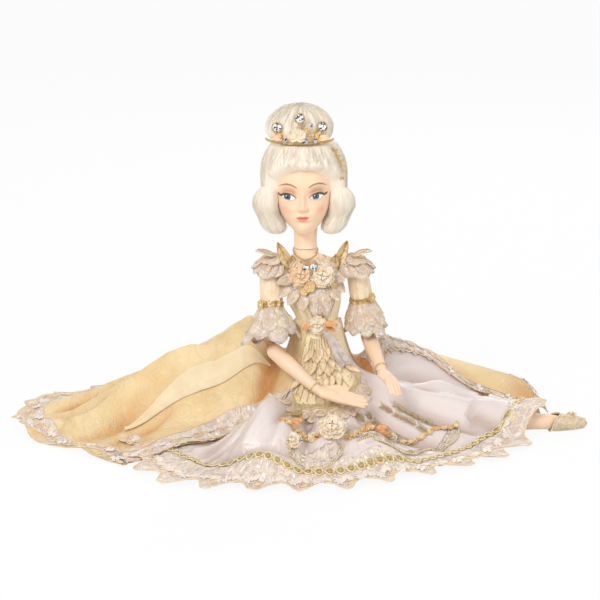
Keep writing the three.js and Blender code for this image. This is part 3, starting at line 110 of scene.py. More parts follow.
class DollGownSettings(bpy.types.PropertyGroup):
    """Sizes and colours of the gown"""
    fold_height: bpy.props.FloatProperty(
        name="Fold height", description="Height of the skirt's main folds", default=0.005, unit="LENGTH")
    scallop_width: bpy.props.FloatProperty(
        name="Scallop width", description="Width of a scallop of the lace", default=0.054, unit="LENGTH")
    scallop_depth: bpy.props.FloatProperty(
        name="Scallop depth", description="Depth of a scallop of the lace", default=0.024, unit="LENGTH")
    satin_colour: bpy.props.FloatVectorProperty(
        name="Satin", description="Colour of the underskirt", default=srgb(233, 221, 215), size=4,
        subtype="COLOR", min=0, max=1)
    brocade_colour: bpy.props.FloatVectorProperty(
        name="Brocade", description="Colour of the overskirt", default=srgb(243, 217, 166), size=4,
        subtype="COLOR", min=0, max=1)
    lace_colour: bpy.props.FloatVectorProperty(
        name="Lace", description="Colour of the lace motifs", default=srgb(238, 222, 206), size=4,
        subtype="COLOR", min=0, max=1)


class DollFigureSettings(bpy.types.PropertyGroup):
    """Sizes and colours of the figure"""
    strand_count: bpy.props.IntProperty(
        name="Strands", description="Loose strands in the hair", default=1500, min=100, max=4000)
    skin_colour: bpy.props.FloatVectorProperty(
        name="Skin", description="Colour of the painted resin", default=srgb(250, 217, 184), size=4,
        subtype="COLOR", min=0, max=1)
    hair_colour: bpy.props.FloatVectorProperty(
        name="Hair", description="Colour of the mohair", default=srgb(255, 246, 230), size=4,
        subtype="COLOR", min=0, max=1)
    gold_colour: bpy.props.FloatVectorProperty(
        name="Gilt", description="Colour of gilt thread and metal", default=srgb(222, 188, 122), size=4,
        subtype="COLOR", min=0, max=1)


def gown():
    return bpy.context.scene.doll_gown


def figure():
    return bpy.context.scene.doll_figure


# Shader nodes

def add_node(tree, kind, inputs=None, **settings):
    """A shader node; each input is a value or the socket that feeds it."""
    made = tree.nodes.new("ShaderNode" + kind)
    for key, value in settings.items():
        setattr(made, key, value)
    for key, value in (inputs or {}).items():
        if isinstance(value, bpy.types.NodeSocket):
            tree.links.new(value, made.inputs[key])
        else:
            made.inputs[key].default_value = value
    return made


def calc(tree, operation, a, b=0.0):
    return add_node(tree, "Math", {0: a, 1: b}, operation=operation).outputs[0]


def times(tree, a, b):
    return calc(tree, "MULTIPLY", a, b)


def blend_colour(tree, factor, a, b):
    return add_node(tree, "Mix", {0: factor, 6: a, 7: b}, data_type="RGBA").outputs[2]


def ramp(tree, factor, stops):
    """A value from 0 to 1 turned through (place, value) stops into another value."""
    made = add_node(tree, "ValToRGB", {0: factor})
    band = made.color_ramp
    while len(band.elements) < len(stops):
        band.elements.new(0.5)
    for element, (place, value) in zip(band.elements, stops):
        element.position = place
        element.color = (value, value, value, 1)
    return made.outputs[0]


def noise(tree, vector, scale, detail):
    return add_node(tree, "TexNoise", {"Vector": vector, "Scale": scale, "Detail": detail}).outputs["Fac"]


def cells(tree, vector, scale, feature="F1", output="Distance", randomness=1.0):
    made = add_node(tree, "TexVoronoi", {"Vector": vector, "Scale": scale, "Randomness": randomness},
                    feature=feature)
    return made.outputs[output]


def waves(tree, vector, scale, direction="X"):
    made = add_node(tree, "TexWave", {"Vector": vector, "Scale": scale}, bands_direction=direction)
    return made.outputs["Fac"]


def stretched(tree, vector, scale):
    return add_node(tree, "Mapping", {"Vector": vector, "Scale": scale}).outputs[0]


def warped(tree, vector, scale, reach):
    """Places pushed about by soft noise, so that the cells of a pattern aren't straight-edged."""
    wander = add_node(tree, "TexNoise", {"Vector": vector, "Scale": scale, "Detail": 2.0}).outputs["Color"]
    pushed = add_node(tree, "VectorMath", {0: wander, 1: (reach, reach, 0)}, operation="MULTIPLY").outputs[0]
    return add_node(tree, "VectorMath", {0: vector, 1: pushed}, operation="ADD").outputs[0]


def new_material(name, colour, space, **sockets):
    """A material with its node tree, its surface shader and its pattern places in the given space."""
    made = bpy.data.materials.new(name)
    made.use_nodes = True
    tree = made.node_tree
    surface = tree.nodes["Principled BSDF"]
    surface.inputs["Base Color"].default_value = colour
    for key, value in sockets.items():
        surface.inputs[key.replace("_", " ")].default_value = value
    return made, tree, surface, add_node(tree, "TexCoord").outputs[space]


def set_colour(tree, surface, colour):
    tree.links.new(colour, surface.inputs["Base Color"])


def set_relief(tree, surface, first, *others):
    """Bump of the surface from layers, each a pattern and its height in metres."""
    height = times(tree, *first)
    for layer in others:
        height = calc(tree, "ADD", height, times(tree, *layer))
    bump = add_node(tree, "Bump", {"Height": height, "Distance": 1.0})
    tree.links.new(bump.outputs[0], surface.inputs["Normal"])


def paint_fold_shade(tree, colour, deep, share):
    """Painted shade: cloth turns deeper and warmer down in its folds, as its own colour bounces between them.
    """
    painted_shade = add_node(tree, "Attribute", attribute_name="painted_shade").outputs["Fac"]
    return blend_colour(tree, times(tree, painted_shade, share), colour, deep)


def shade(colour, factor):
    return (colour[0] * factor, colour[1] * factor, colour[2] * factor, 1.0)


def satin_material():
    base = tuple(gown().satin_colour)
    made, tree, surface, cloth = new_material(
        "blush_satin", base, "UV", Roughness=0.3, Specular_IOR_Level=0.8, Coat_Weight=0.35,
        Coat_Roughness=0.16, Sheen_Weight=0.15, Sheen_Roughness=0.4)
    weave = waves(tree, stretched(tree, cloth, (1, 0.15, 1)), 900)
    colour = blend_colour(tree, times(tree, noise(tree, cloth, 26, 4), 0.5), base, srgb(226, 206, 200))
    # Painted shade: the satin turns warm grey-brown down in its folds.
    set_colour(tree, surface, paint_fold_shade(tree, colour, srgb(184, 152, 134), 0.75))
    crease = noise(tree, stretched(tree, cloth, (50, 16, 1)), 1, 4)
    set_relief(tree, surface, (crease, 0.0042), (weave, 0.00003))
    return made


def brocade_material(name, base, deep, light):
    """Tone on tone: ogee medallions with scrolls inside, on a fine rib, with painted shade in the folds."""
    base = base or tuple(gown().brocade_colour)
    made, tree, surface, cloth = new_material(
        name, base, "UV", Roughness=0.55, Sheen_Weight=0.35, Sheen_Roughness=0.35)
    bent = warped(tree, cloth, 40.0, 0.012)
    medallion = cells(tree, bent, 52, randomness=0.8)
    scroll = calc(tree, "MULTIPLY_ADD", calc(tree, "SINE", times(tree, medallion, 15)), 0.5)
    scroll_line = ramp(tree, scroll, [(0.28, 0), (0.4, 1), (0.52, 1), (0.64, 0)])
    leaf_line = ramp(tree, cells(tree, bent, 210, "DISTANCE_TO_EDGE"), [(0.0, 1), (0.16, 0)])
    inner = ramp(tree, medallion, [(0.3, 1), (0.45, 0)])
    leaves = times(tree, times(tree, leaf_line, inner), 0.9)
    motif = calc(tree, "MAXIMUM", times(tree, scroll_line, 0.7), leaves)
    patch = ramp(tree, noise(tree, cloth, 22, 4), [(0.4, 0), (0.7, 1)])
    tone = blend_colour(tree, times(tree, patch, 0.55), base, deep)
    colour = blend_colour(tree, times(tree, motif, 0.5), tone, light)
    # Painted shade: the brocade turns deep orange down in its folds.
    set_colour(tree, surface, paint_fold_shade(tree, colour, srgb(206, 138, 62), 0.85))
    set_relief(tree, surface, (motif, 0.0005), (waves(tree, cloth, 380, "Y"), 0.00006))
    return made


def lace_material(name, motif_scale, net):
    """Petals with a pale cord round them, on a fine net."""
    base = tuple(gown().lace_colour)
    made, tree, surface, cloth = new_material(name, base, "UV", Roughness=0.7, Sheen_Weight=0.2)
    bent = warped(tree, cloth, 70.0, 0.008)
    edge = cells(tree, bent, motif_scale, "DISTANCE_TO_EDGE")
    cord = ramp(tree, edge, [(0.05, 1), (0.13, 0)])
    inner = ramp(tree, edge, [(0.17, 0), (0.2, 1), (0.25, 1), (0.28, 0)])
    which = add_node(tree, "SeparateColor", {0: cells(tree, bent, motif_scale, output="Color")}).outputs[0]
    chosen = ramp(tree, which, [(0.5, 0), (0.54, 1)])
    filling = times(tree, chosen, ramp(tree, edge, [(0.1, 0), (0.18, 1)]))
    holes = ramp(tree, cells(tree, cloth, 900, "DISTANCE_TO_EDGE"), [(0.1, 1), (0.3, 0)])
    ground = blend_colour(tree, times(tree, holes, 0.35), net, base)
    filled = blend_colour(tree, filling, ground, srgb(253, 246, 240))
    line = calc(tree, "MAXIMUM", cord, times(tree, inner, 0.5))
    set_colour(tree, surface, blend_colour(tree, line, filled, srgb(244, 224, 202)))
    set_relief(tree, surface, (line, 0.0006), (filling, 0.0004))
    return made


def woven_material(name, colour, deep, scale=1.0):
    """A plain cloth or wood with a fine even grain and a little change of tone."""
    made, tree, surface, place = new_material(name, colour, "Object", Roughness=0.8)
    tone = ramp(tree, noise(tree, place, 60 * scale, 4), [(0.3, 0), (0.75, 1)])
    set_colour(tree, surface, blend_colour(tree, tone, colour, deep))
    thread = calc(tree, "ADD", waves(tree, place, 520 * scale), waves(tree, place, 520 * scale, "Z"))
    set_relief(tree, surface, (thread, 0.00008))
    return made


def silk_material(name, colour, deep):
    made, tree, surface, place = new_material(name, colour, "Object", Roughness=0.42, Sheen_Weight=0.4)
    tone = ramp(tree, noise(tree, place, 140, 3), [(0.35, 0), (0.7, 1)])
    set_colour(tree, surface, blend_colour(tree, tone, colour, deep))
    set_relief(tree, surface, (noise(tree, place, 420, 4), 0.0004))
    return made


def gilt_material(name, colour, metallic, roughness):
    base = colour or tuple(figure().gold_colour)
    made, tree, surface, place = new_material(name, base, "Object", Roughness=roughness, Metallic=metallic)
    tone = ramp(tree, noise(tree, place, 240, 3), [(0.35, 0), (0.7, 1)])
    set_colour(tree, surface, blend_colour(tree, tone, base, shade(base, 0.72)))
    set_relief(tree, surface, (noise(tree, place, 1400, 2), 0.0001))
    return made


def crystal_material(name, colour):
    made, tree, surface, place = new_material(
        name, colour, "Object", Roughness=0.05, Metallic=0.55, Coat_Weight=0.8)
    # Painted reflection: a share of random cells turns almost black, standing for facets that mirror the dark
    # surroundings.
    reflection_cell = add_node(tree, "SeparateColor", {0: cells(tree, place, 520, output="Color")}).outputs[0]
    dark = ramp(tree, reflection_cell, [(0.62, 0), (0.7, 1)])
    set_colour(tree, surface, blend_colour(tree, dark, colour, shade(colour, 0.06)))
    return made


def pearl_material(name, colour):
    made, tree, surface, place = new_material(name, colour, "Object", Roughness=0.22, Coat_Weight=0.5)
    tone = times(tree, noise(tree, place, 160, 2), 0.5)
    set_colour(tree, surface, blend_colour(tree, tone, colour, shade(colour, 0.8)))
    return made


def skin_material(name, painted):
    base = tuple(figure().skin_colour)
    made, tree, surface, place = new_material(
        name, base, "Object", Roughness=0.42, Subsurface_Weight=0.06, Subsurface_Scale=0.004)
    flush = ramp(tree, noise(tree, place, 30, 3), [(0.4, 0), (0.75, 1)])
    colour = blend_colour(tree, times(tree, flush, 0.35), base, srgb(246, 203, 172))
    if painted:
        paint = add_node(tree, "VertexColor", layer_name="paint")
        colour = blend_colour(tree, paint.outputs["Alpha"], colour, paint.outputs["Color"])
    set_colour(tree, surface, colour)
    set_relief(tree, surface, (noise(tree, place, 700, 3), 0.00006))
    return made


def hair_material():
    base = tuple(figure().hair_colour)
    made, tree, surface, combed = new_material(
        "mohair", base, "UV", Roughness=0.7, Sheen_Weight=0.6, Sheen_Roughness=0.4)
    strand = noise(tree, stretched(tree, combed, (1100, 22, 1)), 1, 4)
    lock = noise(tree, stretched(tree, combed, (150, 8, 1)), 1, 3)
    dark = times(tree, ramp(tree, strand, [(0.3, 1), (0.62, 0)]), 0.16)
    tone = blend_colour(tree, dark, base, srgb(240, 218, 188))
    warm = times(tree, ramp(tree, lock, [(0.35, 1), (0.6, 0)]), 0.3)
    set_colour(tree, surface, blend_colour(tree, warm, tone, srgb(252, 232, 204)))
    set_relief(tree, surface, (strand, 0.0003), (lock, 0.0004))
    return made


# Each look: what makes its material, the material's name, and its screen colours and other values.
# None stands for the colour in the settings.
LOOKS = {
    "satin": (satin_material,),
    "brocade": (brocade_material, "gold_brocade", None, (226, 182, 112), (251, 236, 204)),
    "bodice_brocade": (brocade_material, "bodice_brocade", (254, 237, 200), (242, 214, 164), (254, 246, 224)),
    "lining": (woven_material, "cream_lining", (253, 234, 198), (246, 222, 182)),
    "lace": (lace_material, "corded_lace", 150.0, (208, 191, 187)),
    "fine_lace": (lace_material, "petal_lace", 210.0, (232, 214, 208)),
    "padding": (woven_material, "wadding", (238, 230, 218), (222, 212, 198)),
    "peach": (silk_material, "peach_silk", (253, 226, 192), (244, 202, 156)),
    "orange": (silk_material, "orange_silk", (240, 182, 122), (218, 148, 88)),
    "cream": (silk_material, "cream_silk", (253, 240, 218), (244, 224, 190)),
    "ribbon": (silk_material, "silver_ribbon", (214, 202, 192), (178, 162, 152)),
    "leaf_satin": (silk_material, "leaf_satin", (248, 230, 196), (228, 196, 146)),
    "sleeve_satin": (silk_material, "sleeve_satin", (246, 226, 194), (236, 208, 168)),
    "cord": (silk_material, "lace_cord", (246, 224, 188), (232, 202, 160)),
    "petal": (silk_material, "lace_petal", (248, 236, 224), (236, 220, 206)),
    "lash": (silk_material, "painted_lash", (60, 42, 38), (44, 30, 28)),
    "gilt": (gilt_material, "gilt", None, 0.75, 0.34),
    "braid": (gilt_material, "gilt_braid", (202, 176, 112), 0.3, 0.45),
    "cord_gold": (gilt_material, "gilt_cord", (242, 224, 180), 0.22, 0.45),
    "gilt_cloth": (gilt_material, "gilt_cloth", (242, 216, 166), 0.25, 0.5),
    "bronze": (gilt_material, "bronze_bead", (206, 186, 158), 0.35, 0.4),
    "shoe": (gilt_material, "beaded_cloth", (226, 204, 168), 0.25, 0.5),
    "steel": (gilt_material, "steel_wire", (176, 178, 182), 0.9, 0.35),
    "crystal": (crystal_material, "cut_crystal", (240, 243, 248)),
    "lilac": (crystal_material, "lilac_crystal", (214, 200, 226)),
    "pearl": (pearl_material, "pearl", (244, 228, 200)),
    "gold_pearl": (pearl_material, "gold_pearl", (234, 196, 124)),
    "skin": (skin_material, "painted_resin", False),
    "face": (skin_material, "painted_face", True),
    "hair": (hair_material,),
    "wood": (woven_material, "peg_wood", (206, 172, 128), (182, 144, 100), 0.4),
}
made_looks = {}


def material(look):
    """The material of a look, made on its first use."""
    if look not in made_looks:
        maker, *values = LOOKS[look]
        made_looks[look] = maker(*(srgb(*value) if isinstance(value, tuple) else value for value in values))
    return made_looks[look]


# Meshes

def add_object(name, mesh, look, body, replaces=(), smooth=True, thick=0):
    """Puts a mesh in the scene, hangs it on the empty of the body it rides on and hides the nodes that it
    stands for.

    thick is the thickness that a sheet gets on its inner side, in millimetres.
    """
    mesh.name = name
    piece = bpy.data.objects.new(name, mesh)
    bpy.context.scene.collection.objects.link(piece)
    mesh.materials.clear()
    mesh.materials.append(material(look))
    mesh.polygons.foreach_set("use_smooth", [smooth] * len(mesh.polygons))
    if body:
        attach(piece, body)
    if replaces:
        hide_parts(*replaces)
    if thick:
        solid = piece.modifiers.new("thickness", "SOLIDIFY")
        solid.thickness = thick * MM
        solid.offset = -1
    return piece


def finished(bm):
    """The mesh that was built in bm."""
    mesh = bpy.data.meshes.new("built")
    bm.to_mesh(mesh)
    bm.free()
    return mesh


def weld(mesh, distance):
    """Joins the points that lie closer together than the distance in metres."""
    bm = bmesh.new()
    bm.from_mesh(mesh)
    bmesh.ops.remove_doubles(bm, verts=bm.verts, dist=distance)
    bm.to_mesh(mesh)
    bm.free()


def coordinates(mesh):
    flat = np.zeros(len(mesh.vertices) * 3)
    mesh.vertices.foreach_get("co", flat)
    return flat.reshape(-1, 3)


def lay_out(mesh, places, cloth):
    """Moves the points to places in millimetres, and sets their UVs in metres of cloth."""
    mesh.vertices.foreach_set("co", (places * MM).reshape(-1))
    layer = mesh.uv_layers.new(name="cloth")
    corners = np.zeros(len(mesh.loops), int)
    mesh.loops.foreach_get("vertex_index", corners)
    layer.data.foreach_set("uv", (cloth[corners] * MM).reshape(-1))


def box_blur(values, reach):
    """Values on a grid, each the mean of its neighbours up to the reach on all sides."""
    weights = np.full(2 * reach + 1, 1 / (2 * reach + 1))
    padded = np.pad(values, reach, mode="edge")
    across = np.apply_along_axis(np.convolve, 1, padded, weights, "valid")
    return np.apply_along_axis(np.convolve, 0, across, weights, "valid")


def mark_fold_shade(mesh, u, v, z, columns, rows, reach, depth):
    """Stores how deep each point lies in a fold, from 0 to 1, as the share of painted shade there."""
    i, j = np.round(u * columns).astype(int), np.round(v * rows).astype(int)
    grid = np.zeros((rows + 1, columns + 1))
    grid[j, i] = z
    sunk = np.clip((box_blur(grid, reach) - grid) / depth, 0, 1)
    layer = mesh.attributes.new("painted_shade", "FLOAT", "POINT")
    layer.data.foreach_set("value", box_blur(sunk, 1)[j, i])


def sheet_mesh(columns, rows, place, seam=False, valleys=None):
    """A grid whose points go where place(u, v) says, which also gives their places on the flat cloth.

    seam joins the grid where it meets itself. valleys is how far round, in grid steps, and how deep in
    millimetres a full fold is, for the painted shade in the folds.
    """
    bm = bmesh.new()
    bmesh.ops.create_grid(bm, x_segments=columns, y_segments=rows, size=0.5)
    mesh = finished(bm)
    corners = coordinates(mesh)
    u, v = corners[:, 0] + 0.5, corners[:, 1] + 0.5
    points, cloth = place(u, v)
    lay_out(mesh, np.stack(points, 1), np.stack(cloth, 1))
    if valleys:
        mark_fold_shade(mesh, u, v, points[2], columns, rows, *valleys)
    if seam:
        weld(mesh, 1e-6)
    mesh.update()
    return mesh


def evaluated_mesh(piece):
    graph = bpy.context.evaluated_depsgraph_get()
    graph.update()
    return bpy.data.meshes.new_from_object(piece.evaluated_get(graph))


def bake_modifiers(piece):
    final = evaluated_mesh(piece)
    piece.modifiers.clear()
    piece.data = final


def melt(piece, voxel, rounds):
    """Turns a piece into one smooth skin: the voxel size in millimetres, and rounds of smoothing."""
    remesh = piece.modifiers.new("voxels", "REMESH")
    remesh.mode = "VOXEL"
    remesh.voxel_size = voxel * MM
    remesh.use_smooth_shade = True
    smooth = piece.modifiers.new("smooth", "SMOOTH")
    smooth.factor = 0.5
    smooth.iterations = rounds


def tube_mesh(lines, sides=4):
    """Thin tubes: each line is a list of (x, y, z, radius) in millimetres."""
    curve = bpy.data.curves.new("tubes", "CURVE")
    curve.dimensions = "3D"
    curve.bevel_depth = 1.0
    curve.bevel_resolution = (sides - 4) // 2
    curve.resolution_u = 1
    curve.use_fill_caps = True
    for line in lines:
        spline = curve.splines.new("POLY")
        spline.points.add(len(line) - 1)
        spline.points.foreach_set("co", [c for x, y, z, _ in line for c in (x * MM, y * MM, z * MM, 1)])
        spline.points.foreach_set("radius", [r * MM for *_, r in line])
    maker = bpy.data.objects.new("tubes", curve)
    bpy.context.scene.collection.objects.link(maker)
    mesh = evaluated_mesh(maker)
    bpy.data.objects.remove(maker)
    bpy.data.curves.remove(curve)
    return mesh


def beads_mesh(beads, fineness=1):
    """Round beads: each is (x, y, z, radius) in millimetres."""
    bm = bmesh.new()
    for x, y, z, radius in beads:
        place = Matrix.Translation(Vector((x, y, z)) * MM)
        bmesh.ops.create_icosphere(bm, subdivisions=fineness, radius=radius * MM, matrix=place)
    return finished(bm)


def eased(x, xs, ys):
    """A smooth line through the given stations, without overshoot."""
    xs, ys = np.asarray(xs, float), np.asarray(ys, float)
    slopes = np.diff(ys) / np.diff(xs)
    tangents = np.concatenate([[slopes[0]], (slopes[1:] + slopes[:-1]) / 2, [slopes[-1]]])
    flat = np.concatenate([[False], slopes[1:] * slopes[:-1] <= 0, [False]])
    tangents[flat] = 0
    x = np.clip(x, xs[0], xs[-1])
    k = np.clip(np.searchsorted(xs, x, side="right") - 1, 0, len(xs) - 2)
    width = xs[k + 1] - xs[k]
    t = (x - xs[k]) / width
    rise = (2 * t**3 - 3 * t**2 + 1) * ys[k] + (-2 * t**3 + 3 * t**2) * ys[k + 1]
    return rise + width * ((t**3 - 2 * t**2 + t) * tangents[k] + (t**3 - t**2) * tangents[k + 1])


def smoothstep(x, low, high):
    t = np.clip((x - low) / (high - low), 0, 1)
    return t * t * (3 - 2 * t)


# The gown's shape, as functions of gore angle, row and plan place

def periodic(table, softness):
    """A closed outline in degrees, with its corners eased over the given angle."""
    angles = np.arange(-720, 721)
    sampled = np.interp((angles / 2 + 180) % 360 - 180, [a for a, _ in table], [r for _, r in table])
    reach = np.arange(-60, 61) / 2
    weights = np.exp(-0.5 * (reach / softness) ** 2)
    smooth = np.convolve(sampled, weights / weights.sum(), mode="same")
    return angles[120:-120] / 2, smooth[120:-120]


HEM_CURVE = periodic(HEM_OUTLINE, 3.5)
TRAIN_CURVE = periodic(TRAIN_OUTLINE, 2.5)
LEAN_CURVE = periodic([(a, w - a) for a, w in GORES], 3.5)


def wrapped(angle):
    """The angle brought between -180 and 180 degrees."""
    return (np.asarray(angle, float) + 180) % 360 - 180


def gore_point(angle, row):
    """Plan place of a gore line at a row: 0 at the waist, 1 at the hem, 2 at the train's edge."""
    a = wrapped(angle)
    hem_angle = np.radians(a)
    waist_angle = np.radians(a + np.interp(a, *LEAN_CURVE))
    hem = np.interp(a, *HEM_CURVE)
    train = np.maximum(np.interp(a, *TRAIN_CURVE), hem + 1)
    inner, middle, outer = (1 - row) ** 2, 2 * row * (1 - row), row**2
    flare = middle * SKIRT_FLARE
    x = (inner * WAIST_HALF_WIDTH + flare) * np.cos(waist_angle) + outer * hem * np.cos(hem_angle)
    y = (inner * WAIST_HALF_DEPTH + flare) * np.sin(waist_angle) + outer * hem * np.sin(hem_angle)
    reach = hem + (train - hem) * (row - 1)
    return np.where(row > 1, reach * np.cos(hem_angle), x), np.where(row > 1, reach * np.sin(hem_angle), y)


def mound(form, x, y, power=2):
    """A rounded ridge from one plan place to another, with its heights at both."""
    (x0, y0), (x1, y1) = form["from"], form["to"]
    dx, dy = x1 - x0, y1 - y0
    t = np.clip(((x - x0) * dx + (y - y0) * dy) / (dx * dx + dy * dy), 0, 1)
    away = np.hypot(x - x0 - t * dx, y - y0 - t * dy)
    low, high = form["height"]
    return (low + (high - low) * t) * np.exp(-((away / form["width"]) ** power))


def blend_heights(heights):
    """The highest of several forms, with their meeting lines rounded."""
    return sum(h**4 for h in heights) ** 0.25


def hip_height(x, y):
    """The slope of the skirts round the waist."""
    reach = np.maximum(np.hypot(x, y), 1e-6)
    out_x = np.maximum(0, np.abs(x) * (1 - WAIST_HALF_WIDTH / reach))
    out_y = np.maximum(0, np.abs(y) * (1 - WAIST_HALF_DEPTH / reach))
    return (WAIST_HEIGHT + 2) * np.exp(-np.hypot(out_x / 32, out_y / 58))


def petticoat_top(x, y, row):
    """Top of the padding: the hips, the cover of the foot and all mounds."""
    fall = np.sqrt(np.maximum(0, 1 - np.minimum(row, 1) ** 5))
    cover = mound(FOOT_COVER, x, y, 4)
    padded = [mound(m, x, y) * fall for m in MOUNDS + PANNIERS]
    return np.maximum(PETTICOAT_RIM, blend_heights([hip_height(x, y) * fall, cover, *padded]))


def main_folds(angle, row):
    """The even folds that the settings can raise."""
    wave = 0.5 + 0.5 * np.cos(np.radians(angle) * FOLD_COUNT)
    return gown().fold_height / MM * np.clip(row * 1.6 - 0.25, 0, 1) * wave


def fine_folds(angle, row, depth=1.0):
    """Small soft folds that run down the gores."""
    a = np.radians(wrapped(angle))
    grow = np.clip(row * 1.4, 0, 1)
    wave = (0.4 * np.sin(29 * a + 1.3 * np.sin(3 * a) + 2.2 * row)
            + 0.3 * np.sin(47 * a + 2.0 * np.sin(5 * a + 1) - 3 * row)
            + 0.3 * np.sin(71 * a + 1.7 * np.sin(2 * a)))
    return depth * grow * wave


def ridge(x, y, height, before, after, line):
    """A raised fold along (angle, row) stations; before and after are its widths on its two sides."""
    angles, rows = np.array(line, float).T
    px, py = gore_point(angles, rows)
    best, side, along = np.full(x.shape, 1e9), np.zeros(x.shape), np.zeros(x.shape)
    count = len(px) - 1
    for k in range(count):
        dx, dy = px[k + 1] - px[k], py[k + 1] - py[k]
        t = np.clip(((x - px[k]) * dx + (y - py[k]) * dy) / (dx * dx + dy * dy), 0, 1)
        ox, oy = x - px[k] - t * dx, y - py[k] - t * dy
        away = np.hypot(ox, oy)
        nearer = away < best
        best = np.where(nearer, away, best)
        side = np.where(nearer, dx * oy - dy * ox, side)
        along = np.where(nearer, (k + t) / count, along)
    width = np.where(side > 0, after, before)
    fade = np.clip(along / RIDGE_FADE, 0, 1) * np.clip((1 - along) / RIDGE_FADE, 0, 1)
    return height * np.exp(-((best / width) ** 2)) * fade


def ridges(x, y, folds):
    """All folds of a table together."""
    return sum(ridge(x, y, *fold) for fold in folds)


def row_length(angle, row):
    """Millimetres of cloth in plan for one whole row, down a gore line."""
    x0, y0 = gore_point(angle, row - 0.01)
    x1, y1 = gore_point(angle, row + 0.01)
    return np.hypot(x1 - x0, y1 - y0) / 0.02


def arc_table(start, end, row):
    """Gore angles from start to end, and how far along the row each lies in millimetres."""
    angles = np.linspace(start, end, 721)
    x, y = gore_point(angles, np.full_like(angles, row))
    steps = np.hypot(np.diff(x), np.diff(y))
    return angles, np.concatenate([[0], np.cumsum(steps)])


def scallops(length, width, depth):
    """How far a scalloped edge stands back from its full depth: pointed lobes with round valleys."""
    return depth * np.abs(np.sin(np.pi * length / width)) ** 1.3


# Stage and camera

VIEW_TARGET = Vector((-0.0216, 0, 0.174))
VIEW_DISTANCE = 2.2
VIEW_ELEVATION = math.radians(15)
VIEW_LENS = 110
FLOOR_HALF = 8
LAMPS = [
    ("key_lamp", (-1.3, -2.0, 2.0), 1.2, 40),
    ("fill_lamp", (1.9, -1.6, 1.3), 1.8, 14),
    ("back_lamp", (0.6, 1.9, 1.9), 1.4, 17),
]
WORLD_LEVEL = 0.53
FLOOR_GLOW = 0.93
WHITE = (1, 1, 1, 1)


class DOLL_OT_stage(bpy.types.Operator):
    """Makes the pale floor, the soft lights and the camera"""
    bl_idname = "doll.stage"
    bl_label = "Stage"

    def execute(self, context):
        scene = context.scene
        scene.view_settings.view_transform = "Standard"
        bm = bmesh.new()
        bmesh.ops.create_grid(bm, x_segments=1, y_segments=1, size=FLOOR_HALF)
        mesh = finished(bm)
        floor = bpy.data.objects.new("floor", mesh)
        scene.collection.objects.link(floor)
        mesh.materials.append(floor_material())
        make_world(scene)
        make_camera(scene)
        for name, place, size, power in LAMPS:
            lamp = bpy.data.lights.new(name, "AREA")
            lamp.shape = "DISK"
            lamp.size = size
            lamp.energy = power
            stand = bpy.data.objects.new(name, lamp)
            stand.location = place
            stand.rotation_euler = (VIEW_TARGET - Vector(place)).to_track_quat("-Z", "Y").to_euler()
            scene.collection.objects.link(stand)
        return {"FINISHED"}


def make_camera(scene):
    lens = bpy.data.cameras.new("camera")
    lens.lens = VIEW_LENS
    lens.sensor_width = 36
    camera = bpy.data.objects.new("camera", lens)
    back = Vector((0, -math.cos(VIEW_ELEVATION), math.sin(VIEW_ELEVATION)))
    camera.location = VIEW_TARGET + back * VIEW_DISTANCE
    camera.rotation_euler = (-back).to_track_quat("-Z", "Y").to_euler()
    scene.collection.objects.link(camera)
    scene.camera = camera


def shown_ray(tree):
    """1 where the camera looks, straight or through glass or in a mirror, and 0 for the light itself."""
    path = add_node(tree, "LightPath")
    seen = calc(tree, "MAXIMUM", path.outputs["Is Camera Ray"], path.outputs["Is Glossy Ray"])
    return calc(tree, "MAXIMUM", seen, path.outputs["Is Transmission Ray"])


def make_world(scene):
    world = bpy.data.worlds.new("studio")
    scene.world = world
    world.use_nodes = True
    tree = world.node_tree
    tree.nodes.clear()
    soft = add_node(tree, "Background", {"Color": WHITE, "Strength": WORLD_LEVEL})
    white = add_node(tree, "Background", {"Color": WHITE, "Strength": 1.0})
    mixed = add_node(tree, "MixShader", {0: shown_ray(tree), 1: soft.outputs[0], 2: white.outputs[0]})
    add_node(tree, "OutputWorld", {0: mixed.outputs[0]})


def floor_material():
    made = bpy.data.materials.new("pale_floor")
    made.use_nodes = True
    tree = made.node_tree
    tree.nodes.clear()
    cloth = add_node(tree, "BsdfDiffuse", {"Color": (0.93, 0.93, 0.93, 1)})
    glow = add_node(tree, "Emission", {"Color": WHITE, "Strength": 1.0})
    share = times(tree, shown_ray(tree), FLOOR_GLOW)
    mixed = add_node(tree, "MixShader", {0: share, 1: cloth.outputs[0], 2: glow.outputs[0]})
    add_node(tree, "OutputMaterial", {0: mixed.outputs[0]})
    return made


# Stuffing and hard pieces: name, node, voxel in millimetres, body, how full the stuffing is

STUFFED = [
    ("trunk_stuffing", "torso_body", 3.0, "root", 0.9),
    ("thigh_right_stuffing", "thigh_right", 3.0, "root", 0.85),
    ("thigh_left_stuffing", "thigh_left", 3.0, "root", 0.85),
    ("petticoat_wadding", "petticoat", 4.5, "root", 0.6),
    ("upper_arm_right_stuffing", "upper_arm_right", 2.0, "upper_arm_right", 0.85),
    ("upper_arm_left_stuffing", "upper_arm_left", 2.0, "upper_arm_left", 0.85),
]
HARD = {"seat_weight": "wood", "shoulder_plate": "skin", "neck_peg": "wood", "arm_wire": "steel"}
STUFFING_SHRINK = 0.6


